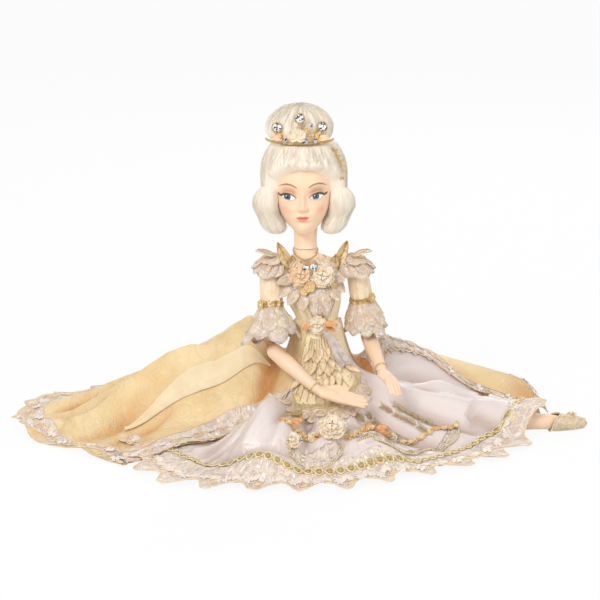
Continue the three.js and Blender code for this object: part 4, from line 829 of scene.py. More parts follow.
class DOLL_OT_stuffing(bpy.types.Operator):
    """Makes the stuffed trunk, thighs and upper arms and the petticoat's padding, and finishes hard pieces"""
    bl_idname = "doll.stuffing"
    bl_label = "Stuffing"

    def execute(self, context):
        for name, node, voxel, body, fill in STUFFED:
            self.stuffed_copy(name, node, voxel, body, fill)
        for node, look in HARD.items():
            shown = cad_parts[node]
            shown.data.materials.clear()
            shown.data.materials.append(material(look))
        return {"FINISHED"}

    def stuffed_copy(self, name, node, voxel, body, fill):
        """A softened solid in the place of a stuffed piece, slightly slimmer than its cover."""
        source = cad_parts[node]
        mesh = source.data.copy()
        mesh.transform(source.matrix_world)
        weld(mesh, 1e-5)
        piece = add_object(name, mesh, "padding", body, [node])
        melt(piece, voxel, 6)
        slim = piece.modifiers.new("slim", "DISPLACE")
        slim.strength = -STUFFING_SHRINK * MM
        slim.mid_level = 0
        bake_modifiers(piece)


# Skirts. Folds are (height, width before, width after, [(gore angle, row), ...]), in millimetres and degrees

SATIN_FOLDS = [
    (-11, 5, 9, [(-152, 0.3), (-147, 0.5), (-144, 0.66), (-142, 0.82)]),
    (10, 12, 9, [(-133, 0.28), (-130, 0.5), (-127, 0.66), (-126, 0.82)]),
    (-7, 5, 8, [(-121, 0.3), (-119, 0.5), (-117, 0.66), (-116, 0.8)]),
    (6, 12, 10, [(-112, 0.4), (-110, 0.6), (-109, 0.82)]),
    (-5, 6, 7, [(-98, 0.45), (-96, 0.6), (-95, 0.78)]),
    (5, 9, 7, [(-86, 0.45), (-84, 0.6), (-82, 0.78)]),
    (-5, 6, 8, [(-72, 0.48), (-66, 0.6), (-62, 0.74)]),
    (6, 9, 6, [(-52, 0.42), (-47, 0.56), (-43, 0.7)]),
    (6, 10, 14, [(-158, 0.5), (-157, 0.66), (-156, 0.82)]),
    (-7, 6, 8, [(-30, 0.4), (-24, 0.62), (-21, 0.82)]),
    (7, 8, 6, [(-17, 0.4), (-14, 0.64), (-13, 0.82)]),
    (-6, 5, 6, [(-8, 0.45), (-7, 0.66), (-6, 0.84)]),
    (7, 7, 7, [(-1.5, 0.5), (0, 0.7), (1, 0.86)]),
    (-5, 5, 6, [(6, 0.5), (6, 0.7), (6, 0.86)]),
    (4, 5, 5, [(11, 0.5), (11, 0.72), (10, 0.86)]),
]
PADDING_GAP = 1.6
SATIN_LIFT = 2.0
SATIN_END = 0.9
LACE_TOP_LINE = ([-180, -60, -22, -6, 2, 12, 24], [0.81, 0.81, 0.835, 0.865, 0.9, 0.92, 0.93])
LACE_SHEET = 0.5
LACE_LIFT = 6.5
TABLE_LIFT = 0.9
HEM_TABLE = arc_table(-200, 400, 1.0)
SATIN_DROP = PETTICOAT_END - 0.03
ROW_OF_CLOTH = 230


def satin_height(angle, row, x, y):
    """Top of the satin: over the padding and its own folds, then down to the table beyond the braid."""
    inside = petticoat_top(x, y, row) + PADDING_GAP + main_folds(angle, np.minimum(row, PETTICOAT_END))
    inside = inside + SATIN_LIFT + ridges(x, y, SATIN_FOLDS) + fine_folds(angle, row, 1.1)
    rim = petticoat_top(*gore_point(angle, np.full_like(row, PETTICOAT_END)), PETTICOAT_END)
    low = np.maximum(TABLE_LIFT, mound(FOOT_COVER, x, y, 4) + 1.2)
    fall = smoothstep(row, SATIN_DROP, 0.95)
    hanging = low + np.maximum(0, rim + 4 - low) * (1 - fall)
    return np.where(row <= SATIN_DROP, inside, np.maximum(low, np.minimum(inside, hanging + 3)))


def lace_height(angle, row, x, y):
    """Top of the hem lace, which waves and lifts a little between its scallops."""
    wave = 1.2 * np.sin(np.radians(angle) * 41) * smoothstep(row, 0.84, 1.0)
    length = np.interp(angle, *HEM_TABLE)
    lifted = LACE_LIFT * np.abs(np.sin(np.pi * length / (gown().scallop_width / MM))) ** 2
    lifted = lifted * smoothstep(row, 0.87, 1.02)
    return satin_height(angle, row, x, y) + 1.0 + np.maximum(0, wave) + lifted


def gown_sheet(columns, rows, start, end, first, last, height, track_row=0.9, seam=False, valleys=None):
    """A sheet on the gown's gores: start, end, first and last may be numbers or functions."""
    def at(value, x):
        return value(x) if callable(value) else np.full_like(x, float(value))

    all_rows = np.linspace(0, 2, 21)
    table = arc_table(np.min(at(start, all_rows)) - 8, np.max(at(end, all_rows)) + 8, track_row)

    def place(u, v):
        guess = at(start, v) * (1 - u) + at(end, v) * u
        row = at(first, guess) * (1 - v) + at(last, guess) * v
        angle = at(start, row) * (1 - u) + at(end, row) * u
        row = at(first, angle) * (1 - v) + at(last, angle) * v
        x, y = gore_point(angle, row)
        return (x, y, height(angle, row, x, y)), (np.interp(angle, *table), row * ROW_OF_CLOTH)

    return sheet_mesh(columns, rows, place, seam, valleys)


def add_sheet(name, mesh, look, nodes, thick, body="root"):
    """A piece of cloth: its thickness in millimetres, and the body it rides on."""
    piece = add_object(name, mesh, look, body, nodes, thick=thick)


def lace_top(angle):
    """Row where the hem lace begins."""
    return eased(angle, *LACE_TOP_LINE)


def satin_end(angle):
    """The satin ends under the lace, whose top runs lower over the foot."""
    lower = np.where(angle > -90, np.maximum(0, lace_top(wrapped(angle)) - 0.82), 0)
    return SATIN_END + 0.6 * lower * (wrapped(angle) < 60)


def lace_scallops(angle, table):
    """How far the lace's edge stands back at a gore angle, by a table of lengths along the edge."""
    return scallops(np.interp(angle, *table), gown().scallop_width / MM, gown().scallop_depth / MM)


def hem_row_length(angle):
    return row_length(angle, np.full_like(angle, 0.98))


def hem_edge(angle):
    """Row of the hem lace's scalloped edge."""
    return 1.0 + (7 - lace_scallops(angle, HEM_TABLE)) / hem_row_length(angle)


class DOLL_OT_underskirt(bpy.types.Operator):
    """Makes the satin underskirt with its lace hem"""
    bl_idname = "doll.underskirt"
    bl_label = "Satin underskirt"

    def execute(self, context):
        mesh = gown_sheet(560, 84, -180, 180, 0.0, satin_end, satin_height, seam=True, valleys=(9, 5.0))
        add_sheet("underskirt_satin", mesh, "satin", ["underskirt"], 0.6)
        mesh = gown_sheet(760, 30, -178, 20, lace_top, hem_edge, lace_height, 1.0)
        add_sheet("hem_lace_flounce", mesh, "lace", ["hem_lace"], LACE_SHEET)
        return {"FINISHED"}


# Overskirt. The lines give gore angles over rows, and the widths are in degrees or millimetres over rows

LEFT_EDGE = ([0, 0.24, 0.42, 0.56, 0.71, 0.86, 0.96, 1.1, 2], [208, 206, 198, 194, 195, 200, 204, 205, 205])
RIGHT_EDGE = ([0, 0.2, 0.41, 0.52, 0.63, 0.75, 0.88, 1.0, 2], [14, 22, 31, 30, 27.5, 21, 17.5, 14, 14])
FLAP_LINE = ([0.24, 0.36, 0.52, 0.7, 0.84, 0.97, 1.06], [156.7, 161.6, 166.6, 170.4, 174.6, 181.4, 185])
FLAP_HALF_WIDTH = ([0.24, 0.4, 0.55, 0.7, 0.84, 0.94, 1.0], [0.5, 3.2, 3.4, 2.6, 1.8, 1.1, 0.4])
LEFT_BAND_WIDTH = 34
RIGHT_BAND_WIDTH = ([0.3, 0.55, 0.66, 0.75, 1.04], [30, 28, 20, 9, 8])
BAND_ROWS = {-1: (0.26, 1.12), 1: (0.3, 1.04)}
BAND_LENGTH = 240
BAND_SCALLOP = 22
BAND_OVERLAP = 4
DEGREES = 57.3
OVERSKIRT_GAP = 2.6
OVERSKIRT_FOLDS = [
    (18, 5, 26, [(160, 0.55), (166, 0.86), (172, 1.05), (178, 1.36), (180, 1.7)]),
    (-14, 9, 7, [(157, 0.6), (163, 1.0), (167, 1.3), (171, 1.7)]),
    (-12, 6, 7, [(169, 0.4), (173.8, 0.6), (178.4, 0.8), (185, 0.95), (190.8, 1.2)]),
    (-8, 6, 6, [(160, 0.3), (161, 0.45), (164, 0.62)]),
    (7, 10, 14, [(184, 0.3), (184, 0.55), (187, 0.75), (193, 0.95)]),
    (-6, 9, 9, [(176, 0.95), (183, 1.2), (187, 1.6), (188, 1.9)]),
    (8, 10, 14, [(44, 0.3), (38, 0.6), (33, 1.0), (31, 1.6)]),
    (-8, 10, 12, [(60, 0.4), (54, 0.8), (48, 1.5)]),
    (8, 12, 12, [(72, 0.4), (68, 0.8), (66, 1.6)]),
    (-6, 9, 12, [(86, 0.4), (84, 0.8), (84, 1.6)]),
    (9, 13, 13, [(100, 0.35), (100, 0.8), (102, 1.6)]),
    (-7, 11, 10, [(114, 0.4), (117, 0.8), (118, 1.6)]),
    (9, 13, 12, [(128, 0.4), (132, 0.8), (134, 1.7)]),
    (-8, 12, 10, [(142, 0.5), (147, 0.8), (150, 1.7)]),
]
TRAIN_TABLE = arc_table(-100, 300, 2.0)
# The waves of the train's edge: gore angle, half width in degrees, height in millimetres
TRAIN_WAVES = [
    (177, 4.0, 15), (160, 5.0, 9), (193, 3.0, 6), (143, 5.0, 9), (124, 5.0, 8), (104, 5.5, 8), (82, 5.0, 7),
    (62, 5.0, 8), (46, 3.5, 7), (24, 3.5, 9),
]


def left_edge(row):
    """Gore angle of the overskirt's open front at the doll's left."""
    return eased(row, *LEFT_EDGE)


def right_edge(row):
    """Gore angle of the overskirt's open front at the doll's right."""
    return eased(row, *RIGHT_EDGE)


def brocade_height(angle, row, x, y):
    """Top of the overskirt: over the satin, arched over its own hips, with its folds and waved hem."""
    over_satin = satin_height(angle, np.minimum(row, 1), x, y) + OVERSKIRT_GAP
    beyond = smoothstep(row, 0.86, 1.05)
    over_foot = np.maximum(TABLE_LIFT, mound(FOOT_COVER, x, y, 4) + OVERSKIRT_GAP)
    under = over_satin * (1 - beyond) + over_foot * beyond
    fall = np.sqrt(np.maximum(0, 1 - (np.minimum(row, 2) / 2) ** 3))
    arch = blend_heights([mound(m, x, y) for m in PANNIERS]) * fall
    depth = smoothstep(row, 1.0, 1.7)
    hem = sum(high * np.exp(-(((angle - middle) / wide) ** 2)) for middle, wide, high in TRAIN_WAVES) * depth
    folds = ridges(x, y, OVERSKIRT_FOLDS) * smoothstep(row, 0.15, 0.4)
    height = np.maximum(under, arch + main_folds(angle, row) + folds)
    return np.maximum(height, under + hem) + np.maximum(0, fine_folds(angle, row, 0.9))


def train_lace_height(angle, row, x, y):
    return brocade_height(angle, row, x, y) + 0.9


def train_row_length(angle):
    return np.maximum(row_length(angle, np.full_like(angle, 1.7)), 20)


def train_edge(angle):
    """Row of the train lace's scalloped edge."""
    return 2.0 - np.minimum(lace_scallops(angle, TRAIN_TABLE) / train_row_length(angle), 0.45)


def lace_start_row(angle):
    """The train lace is as deep as the brocade's overhang allows, and never over a quarter of the way in."""
    depth = np.maximum(row_length(angle, np.full_like(angle, 1.5)), 12)
    return 2.0 - np.clip(44 / depth, 0.2, 0.95)


def flap_start(row):
    return eased(row, *FLAP_LINE) - eased(row, *FLAP_HALF_WIDTH)


def flap_end(row):
    return eased(row, *FLAP_LINE) + eased(row, *FLAP_HALF_WIDTH)


def flap_height(angle, row, x, y):
    """The turned-back lining: its lower edge rolls clear of the panel below it."""
    across = (angle - eased(row, *FLAP_LINE)) / eased(row, *FLAP_HALF_WIDTH)
    roll = 5.5 * np.exp(-(((across - 0.72) / 0.3) ** 2)) + 3.0 * np.exp(-(((across + 0.8) / 0.25) ** 2))
    return brocade_height(angle, row, x, y) + 1.3 + roll * smoothstep(row, 0.24, 0.36)


def band_place(side, u, v, ripple=0.0):
    """Gore angle and row on a front band: u runs down it, v from the panel's edge inwards.

    side is -1 for the doll's left, where the band is even, and 1 for its right, where it narrows as the
    edge turns under. ripple is added in millimetres.
    """
    first, last = BAND_ROWS[side]
    row = first + (last - first) * u
    line = left_edge(row) if side < 0 else right_edge(row)
    width = np.full_like(row, LEFT_BAND_WIDTH) if side < 0 else eased(row, *RIGHT_BAND_WIDTH)
    reach = np.hypot(*gore_point(line, row))
    return line + side * (v * width - BAND_OVERLAP + ripple) / reach * DEGREES, row


class DOLL_OT_overskirt(bpy.types.Operator):
    """Makes the brocade overskirt in three panels, with its lining, train lace and front lace bands"""
    bl_idname = "doll.overskirt"
    bl_label = "Brocade overskirt"

    def execute(self, context):
        for side, columns, rows, start, end, length in [
                ("left", 205, 180, 150, left_edge, 0.5), ("back", 210, 100, 45, 150, 0.42),
                ("right", 130, 160, right_edge, 45, 0.46)]:
            mesh = gown_sheet(columns, rows, start, end, 0.0, 1.95, brocade_height, 1.4, valleys=(12, 7.0))
            add_sheet(f"overskirt_{side}_panel", mesh, "brocade", [f"overskirt_{side}"], 0.8)
        mesh = gown_sheet(40, 150, flap_start, flap_end, 0.24, 0.99, flap_height, 1.4)
        add_sheet("overskirt_turned_lining", mesh, "lining", [], 0.7)
        self.right_facing()
        for side, start, end, columns in [("left", 97.5, 205, 620), ("right", 14, 97.5, 380)]:
            mesh = gown_sheet(columns, 30, start, end, lace_start_row, train_edge, train_lace_height, 2.0)
            add_sheet(f"train_lace_{side}_border", mesh, "lace", [f"train_lace_{side}"], LACE_SHEET)
        self.front_band("left", -1)
        self.front_band("right", 1)
        return {"FINISHED"}

    def right_facing(self):
        """The facing that hangs from the right front edge down to the satin."""
        def place(u, v):
            row = 0.34 + 0.52 * u
            angle = right_edge(row) + 0.6 + 2.6 * v
            x, y = gore_point(angle, row)
            top_angle = right_edge(row) + 0.6
            top = brocade_height(top_angle, row, *gore_point(top_angle, row)) - 1.2
            low = satin_height(angle, row, x, y) + 0.8
            z = np.maximum(low, top + (low - top) * smoothstep(v, 0.05, 0.9))
            return (x, y, z), (u * 160, v * 40)

        add_sheet("overskirt_right_facing", sheet_mesh(90, 24, place), "lining", [], 0.6)

    def front_band(self, name, side):
        def place(u, v):
            along = u * BAND_LENGTH
            ripple = scallops(along, BAND_SCALLOP, 5.0) * np.clip((0.14 - v) / 0.14, 0, 1)
            angle, row = band_place(side, u, v, ripple)
            x, y = gore_point(angle, row)
            crimp = 1.1 * np.sin(along / 9.0) * smoothstep(0.5 - v, 0, 0.5)
            z = brocade_height(angle, row, x, y) + 2.1 + np.maximum(-0.2, crimp)
            return (x, y, z), (along, v * LEFT_BAND_WIDTH)

        add_sheet(f"front_lace_{name}_band", sheet_mesh(220, 26, place), "lace",
                  [f"front_lace_{name}"], LACE_SHEET)


# Head and face, in millimetres from the middle of the face; z is height over the table

HEAD_X = -17
CHIN_HEIGHT = 261
CROWN_HEIGHT = 361
NECK_X = -15
NECK_Y = -5
NECK_JOINT_HEIGHT = 240
HEAD_PROFILE = [
    (261, 0.12, 0.82, -0.45), (263, 0.34, 0.92, -0.2), (266, 0.48, 0.95, 0.0), (270.5, 0.61, 0.97, 0.3),
    (278.5, 0.78, 0.98, 0.6), (288, 0.91, 0.99, 0.84), (300, 0.985, 0.97, 0.98), (321, 1, 1, 1),
    (336, 0.93, 0.92, 0.95), (350, 0.74, 0.68, 0.76), (358, 0.42, 0.38, 0.42), (361, 0.12, 0.1, 0.12),
]
FACE_HALF_WIDTH = 33
FACE_DEPTH = 39
EYE_X = 16.6
EYE_Z = 307
EYE_HALF = 8.5
IRIS_RADIUS = 3.9
PUPIL_RADIUS = 1.8
GAZE = (-1.3, 0.4)
BROW_LINE = ([7, 12, 18, 23.5, 28], [318.8, 321.6, 322.6, 321.2, 318.4])
MOUTH_Z = 283
NOSE_TIP_Z = 294.5
FACE_TILT = 0.04
# Screen colours of the painted face, in the order in which they are laid on
PAINTS = {
    "cheek": (242, 146, 128), "chin": (240, 178, 142), "nostril rim": (238, 178, 138),
    "nostril": (196, 116, 88), "hairline_shadow": (240, 190, 150), "eyeshadow": (214, 146, 104),
    "crease": (158, 98, 70), "lid lashes": (126, 78, 58), "eye white": (244, 241, 237),
    "lid shade": (186, 176, 176), "iris rim": (44, 50, 66), "iris": (92, 110, 134), "pupil": (24, 20, 22),
    "glint": (255, 255, 255), "upper rim": (52, 38, 36), "lower rim": (132, 88, 68), "brow": (138, 92, 60),
    "lips": (232, 130, 116), "lip shine": (245, 170, 152), "mouth line": (172, 74, 66),
}


def bump_at(x, z, at_x, at_z, wide, high, power=2.0):
    """A soft mound on both sides of the face, 1 at its top."""
    return np.exp(-((((np.abs(x) - at_x) / wide) ** 2 + ((z - at_z) / high) ** 2) ** (power / 2)))


def lid_lines(x):
    """Upper and lower rim of the open eye over the distance from the eye's middle, outwards positive."""
    t = np.clip(x / EYE_HALF, -1, 1)
    tilt = 0.6 * t
    upper = EYE_Z + tilt + 3.7 * np.maximum(0, 1 - t**2) ** 0.7
    lower = EYE_Z + tilt - 3.0 * np.maximum(0, 1 - t**2) ** 0.8
    return upper, lower


def face_place(x, z):
    """The face's own upright place: it is tipped a little and looks slightly to its right."""
    return x + 1.5 - 2.2 * smoothstep(z, 286, 262), z - FACE_TILT * x


def face_relief(x, z):
    """How far the face stands out in front of the plain oval."""
    x, z = face_place(x, z)
    tip, lips = NOSE_TIP_Z, MOUTH_Z
    nose_high = eased(z, [tip - 4.5, tip - 2.2, tip, tip + 4.5, tip + 11, tip + 19, tip + 27],
                      [0, 5.2, 8.8, 6.6, 4.2, 2.2, 0])
    nose_wide = eased(z, [tip - 4.5, tip, tip + 8, tip + 18], [4.6, 4.4, 3.4, 3.6])
    relief = nose_high * np.exp(-((x / nose_wide) ** 2))
    relief += 2.4 * bump_at(x, z, 4.6, tip - 1.3, 2.2, 2.3)
    relief -= 4.0 * bump_at(x, z, EYE_X - 1.5, EYE_Z + 1.5, 10, 7)
    relief += 3.4 * bump_at(x, z, EYE_X, EYE_Z, 8.8, 5.2, 3.0)
    side = np.abs(x) - EYE_X
    upper, lower = lid_lines(side)
    within = np.clip(1.25 - np.abs(side) / EYE_HALF, 0, 1)
    relief += 1.2 * np.exp(-(((z - upper - 1.1) / 1.1) ** 2)) * np.minimum(1, within * 3)
    relief += 0.45 * np.exp(-(((z - lower + 0.7) / 0.8) ** 2)) * np.minimum(1, within * 3)
    relief -= 0.7 * np.exp(-(((z - upper - 3.6) / 0.9) ** 2)) * np.minimum(1, within * 2)
    relief += 1.3 * bump_at(x, z, 16, 320, 12, 4)
    relief += 3.1 * bump_at(x, z, 17.5, 289.5, 10.5, 10)
    relief += 2.2 * bump_at(x, z, 0, lips + 1, 11, 8)
    relief += 1.8 * np.exp(-((x / 6.8) ** 2)) * np.exp(-(((z - lips - 2.2) / 1.7) ** 2))
    relief += 2.4 * np.exp(-((x / 5.8) ** 2)) * np.exp(-(((z - lips + 2.3) / 2.0) ** 2))
    relief -= 1.4 * np.exp(-((x / 7.6) ** 2)) * np.exp(-(((z - lips) / 0.7) ** 2))
    relief -= 0.5 * bump_at(x, z, 0, lips + 5, 1.6, 1.8)
    relief -= 1.2 * bump_at(x, z, 0, lips - 6.6, 8, 1.9)
    relief += 2.6 * bump_at(x, z, 0, lips - 13, 7.5, 4.4)
    return relief


def layer(colours, alpha, tint, strength):
    """Lays a colour over what is painted so far."""
    strength = np.clip(strength, 0, 1)[:, None]
    colours[:] = colours * (1 - strength) + np.array(tint[:3]) * strength
    alpha[:] = np.maximum(alpha, strength[:, 0])


def band(distance, half, soft=0.35):
    """1 inside the given half width, with a soft edge."""
    return 1 - smoothstep(np.abs(distance), half - soft, half + soft)


def face_paint(x, z):
    """Painted colour at places on the face, and how much it covers there."""
    x, z = face_place(x, z)
    colours = np.tile(np.array(figure().skin_colour[:3]), (len(x), 1))
    alpha = np.zeros(len(x))
    side = np.abs(x) - EYE_X
    look = x - np.sign(x) * EYE_X

    def dab(paint, strength):
        layer(colours, alpha, srgb(*PAINTS[paint]), strength)

    dab("cheek", 0.66 * bump_at(x, z, 20.5, 292, 8.5, 6.5))
    dab("chin", 0.35 * bump_at(x, z, 0, MOUTH_Z - 14, 8, 4))
    dab("nostril rim", 0.5 * bump_at(x, z, 5.2, NOSE_TIP_Z - 2.1, 2.4, 2.2))
    dab("nostril", 0.8 * bump_at(x, z, 2.5, NOSE_TIP_Z - 3.6, 1.1, 0.7))
    # Painted shadow that the hair casts on the forehead along the hairline.
    dab("hairline_shadow", 0.6 * smoothstep(z, 332, 341))
    upper, lower = lid_lines(side)
    over = z - upper
    shadow = smoothstep(over, -0.5, 0.8) * (1 - smoothstep(over, 6, 14))
    shadow = shadow * np.exp(-((np.abs(side + 1) / 11) ** 4))
    dab("eyeshadow", 0.72 * shadow)
    crease = band(over - 3.4 + 0.02 * side**2, 0.55, 0.5) * np.exp(-((side / 8.5) ** 4))
    dab("crease", 0.6 * crease)
    strokes = (0.5 + 0.5 * np.sin(side * 3.2 + over * 0.9)) ** 3
    fan = smoothstep(over, 0.6, 1.2) * (1 - smoothstep(over, 3.2, 6.4)) * np.exp(-((side / 9.5) ** 4))
    dab("lid lashes", 0.5 * fan * strokes)
    inside = smoothstep(upper - z, -0.15, 0.35) * smoothstep(z - lower, -0.15, 0.35)
    inside = inside * band(side, EYE_HALF, 0.3)
    dab("eye white", inside)
    dab("lid shade", 0.55 * inside * np.exp(-(((upper - z) / 1.1) ** 2)))
    iris = np.hypot(look - GAZE[0], z - EYE_Z - GAZE[1])
    dab("iris rim", inside * (1 - smoothstep(iris, IRIS_RADIUS - 0.25, IRIS_RADIUS + 0.25)))
    rays = 0.75 + 0.25 * np.sin(np.arctan2(z - EYE_Z, look - GAZE[0]) * 24)
    dab("iris", inside * rays * (1 - smoothstep(iris, IRIS_RADIUS - 1.3, IRIS_RADIUS - 0.5)))
    dab("pupil", inside * (1 - smoothstep(iris, PUPIL_RADIUS - 0.3, PUPIL_RADIUS + 0.2)))
    glint = np.hypot(look - GAZE[0] + 1.2, z - EYE_Z - 1.5)
    dab("glint", inside * (1 - smoothstep(glint, 0.45, 0.85)))
    wing = np.clip(side / EYE_HALF, 0, 1.45)
    lash = 0.75 + 0.75 * smoothstep(side, -6, 7)
    rim = upper + 0.9 * np.maximum(0, wing - 1) * 3.5
    reach = band(side - 1.5, EYE_HALF + 2.6, 0.8)
    dab("upper rim", 0.95 * band(z - rim - 0.25, lash, 0.35) * reach)
    dab("lower rim", 0.6 * band(z - lower + 0.2, 0.45, 0.4) * band(side, EYE_HALF + 0.4, 0.6))
    brow = eased(np.abs(x), *BROW_LINE)
    brow_half = 0.95 * np.clip(np.minimum((np.abs(x) - 5) / 4, (29.5 - np.abs(x)) / 8), 0.15, 1)
    spread = band(np.abs(x) - 17.4, 11.2, 0.8)
    dab("brow", 0.9 * band(z - brow, brow_half + 0.25, 0.5) * spread)
    bow = MOUTH_Z + 3.4 - 0.9 * np.exp(-((x / 1.5) ** 2)) - 2.4 * np.clip(np.abs(x) / 8, 0, 1) ** 1.9
    base = MOUTH_Z - 4.5 + 5.3 * np.clip(np.abs(x) / 8, 0, 1) ** 2.2
    lips = smoothstep(bow - z, -0.3, 0.4) * smoothstep(z - base, -0.3, 0.5) * band(x, 8, 0.4)
    dab("lips", 0.9 * lips)
    dab("lip shine", 0.5 * lips * bump_at(x, z, 0, MOUTH_Z - 2.4, 3.4, 1.0))
    dab("mouth line", 0.85 * band(z - MOUTH_Z + 0.3 - 0.016 * x**2, 0.45, 0.4) * band(x, 6.8, 0.8))
    return colours, alpha


def loft_radii(profile, z):
    """The shares of a profile at a height: its columns after the first."""
    table = np.array(profile, float)
    return [eased(z, table[:, 0], table[:, k]) for k in range(1, table.shape[1])]


class DOLL_OT_head(bpy.types.Operator):
    """Makes the head with its painted face, and the neck"""
    bl_idname = "doll.head"
    bl_label = "Head"

    def execute(self, context):
        def place(u, v):
            t = 2 * u - 1
            turn = -np.pi / 2 + np.pi * t * (0.45 + 0.55 * t * t)
            z = CHIN_HEIGHT + 0.001 + (CROWN_HEIGHT - CHIN_HEIGHT) * v
            wide, front, back = loft_radii(HEAD_PROFILE, z)
            tip = np.minimum(1, np.sqrt(np.clip(np.minimum(v, 1 - v) / 0.018, 0, 1)))
            x = wide * FACE_HALF_WIDTH * np.cos(turn) * tip
            depth = np.where(np.sin(turn) < 0, front * FACE_DEPTH, back * FACE_DEPTH)
            y = depth * np.sin(turn)
            middle = -FACE_DEPTH * (front - back) / 2
            y = middle + (y - middle) * tip
            facing = smoothstep(-np.sin(turn), 0.05, 0.45)
            y = y - face_relief(x, z) * facing * tip
            return (HEAD_X + x, y, z), (u * 200, v * 104)

        bm = bmesh.new()
        bm.from_mesh(sheet_mesh(300, 250, place, seam=True))
        bm.from_mesh(sheet_mesh(64, 40, self.neck, seam=True))
        mesh = finished(bm)
        self.paint(mesh)
        add_object("painted_head", mesh, "face", "head", ["head"])
        self.lashes()
        return {"FINISHED"}

    def neck(self, u, v):
        """From just over the joint to inside the head, slightly waisted."""
        z = np.interp(v, [0, 0.02, 0.98, 1], [NECK_JOINT_HEIGHT + 0.4, NECK_JOINT_HEIGHT + 0.4, 276, 276])
        girth = eased(z, [240, 247, 256, 276], [14.0, 13.4, 13.6, 15.5])
        radius = girth * np.interp(v, [0, 0.02, 0.98, 1], [0, 1, 1, 0])
        turn = 2 * np.pi * u
        lean = np.clip((z - NECK_JOINT_HEIGHT) / 31, 0, 1) * 4
        return (NECK_X + radius * np.cos(turn), NECK_Y + lean + radius * np.sin(turn), z), (u * 80, v * 36)

    def paint(self, mesh):
        x, y, z = (coordinates(mesh) / MM).T
        colours, alpha = face_paint(x - HEAD_X, z)
        alpha = alpha * (y < -12)
        shade_layer = mesh.color_attributes.new(name="paint", type="FLOAT_COLOR", domain="POINT")
        shade_layer.data.foreach_set("color", np.column_stack([colours, alpha]).reshape(-1))

    def lashes(self):
        """Short upper lashes that fan outwards."""
        lines = []
        for side in (-1, 1):
            for k in range(15):
                across = -EYE_HALF * 0.75 + k * EYE_HALF * 1.8 / 14
                upper, _ = lid_lines(np.array([across]))
                x, z = side * (EYE_X + across), float(upper[0]) + 0.4
                root = self.on_face(x - 1.5, z + FACE_TILT * x)
                long = 2.2 + 1.6 * (k / 14)
                lean = side * (0.1 + 0.9 * k / 14)
                tip = (root[0] + lean * long, root[1] - 1.5, root[2] + long * 0.8, 0.05)
                middle = (root[0] + lean * long * 0.4, root[1] - 1.1, root[2] + long * 0.2, 0.13)
                lines.append([(*root, 0.2), middle, tip])
        add_tubes("eyelashes", lines, "lash", body="head")

    def on_face(self, x, z):
        """Point of the face's skin at a place seen from the front."""
        wide, front, _ = (float(r[0]) for r in loft_radii(HEAD_PROFILE, np.array([z])))
        reach = math.sqrt(max(0.0, 1 - (x / (wide * FACE_HALF_WIDTH)) ** 2))
        relief = float(face_relief(np.array([x]), np.array([z]))[0])
        return HEAD_X + x, -front * FACE_DEPTH * reach - relief, z


# Hair

HAIR_HALF_WIDTH = 52
HAIR_HALF_DEPTH = 50
HAIR_PROFILE = [
    (265, 0.56, 0.3, 0.8), (277, 0.8, 0.4, 0.92), (288, 0.9, 0.55, 1), (315, 0.96, 0.8, 1.02),
    (332, 0.96, 0.94, 1), (345, 0.92, 0.94, 0.96), (357, 0.82, 0.84, 0.84), (367, 0.7, 0.7, 0.68),
]
HAIR_TOP = 367
BUN_X = -22
BUN_RADIUS = 39
BUN_RINGS = [(0, 0.8), (5, 0.92), (14, 1), (22, 0.97), (30, 0.85), (37, 0.63), (41.5, 0.38), (43.6, 0.02)]
HAIRLINE_HALF = 33
STRAND_RADIUS = 0.16


def ring_noise(turn, count, seed, drift=0.0):
    """A smooth random wave round a ring with the given number of locks."""
    source = np.random.default_rng(seed).uniform(-1, 1, count)
    place = ((turn / (2 * np.pi) + drift) % 1) * count
    k = np.floor(place).astype(int) % count
    t = place - np.floor(place)
    t = t * t * (3 - 2 * t)
    return source[k] * (1 - t) + source[(k + 1) % count] * t


def locks(turn, along, seed=3):
    """Brushed locks: coarse and fine ridges that run from root to tip."""
    drift = 0.006 * np.sin(along * 5 + turn * 3)
    return (1.0 * ring_noise(turn, 54, seed, drift) + 0.6 * ring_noise(turn, 150, seed + 1, drift * 1.4)
            + 0.35 * ring_noise(turn, 420, seed + 2, drift * 2))


def hairline(turn):
    """Height of the hair's lower edge round the head."""
    x = np.clip(np.cos(turn) * FACE_HALF_WIDTH * 1.02 / HAIRLINE_HALF, -1, 1)
    arc = 309 + 30.5 * np.sqrt(np.maximum(0, 1 - np.abs(x) ** 2.4))
    back = 268 + 6 * np.cos(turn) ** 2
    sides = (arc - 30 - back) * np.exp(-((np.sin(turn) / 0.25) ** 2)) * (np.sin(turn) >= 0)
    return np.where(np.sin(turn) < 0, arc - 30 * smoothstep(np.abs(x), 0.9, 1.0), back) + sides


def pompadour_point(turn, along, lift=0.0):
    """The swept-up hair: it leaves the skin at the hairline, swells out and closes under the bun."""
    low = hairline(turn)
    z = low + (HAIR_TOP - low) * along
    wide, front, back = loft_radii(HAIR_PROFILE, z)
    skull_wide, skull_front, skull_back = loft_radii(HEAD_PROFILE, np.minimum(z, CROWN_HEIGHT))
    swell = np.sqrt(np.clip(1 - (1 - np.clip(along / 0.3, 0, 1)) ** 2, 0, 1))

    def reach(hair, skull, half):
        inner = skull * half - 0.5
        return inner + np.maximum(0, hair - inner) * swell + lift

    rx = reach(wide * HAIR_HALF_WIDTH, skull_wide, FACE_HALF_WIDTH)
    ry_front = reach(front * HAIR_HALF_DEPTH, skull_front, FACE_DEPTH)
    ry_back = reach(back * HAIR_HALF_DEPTH, skull_back, FACE_DEPTH)
    ry = np.where(np.sin(turn) < 0, ry_front, ry_back)
    return HEAD_X + rx * np.cos(turn), ry * np.sin(turn), z


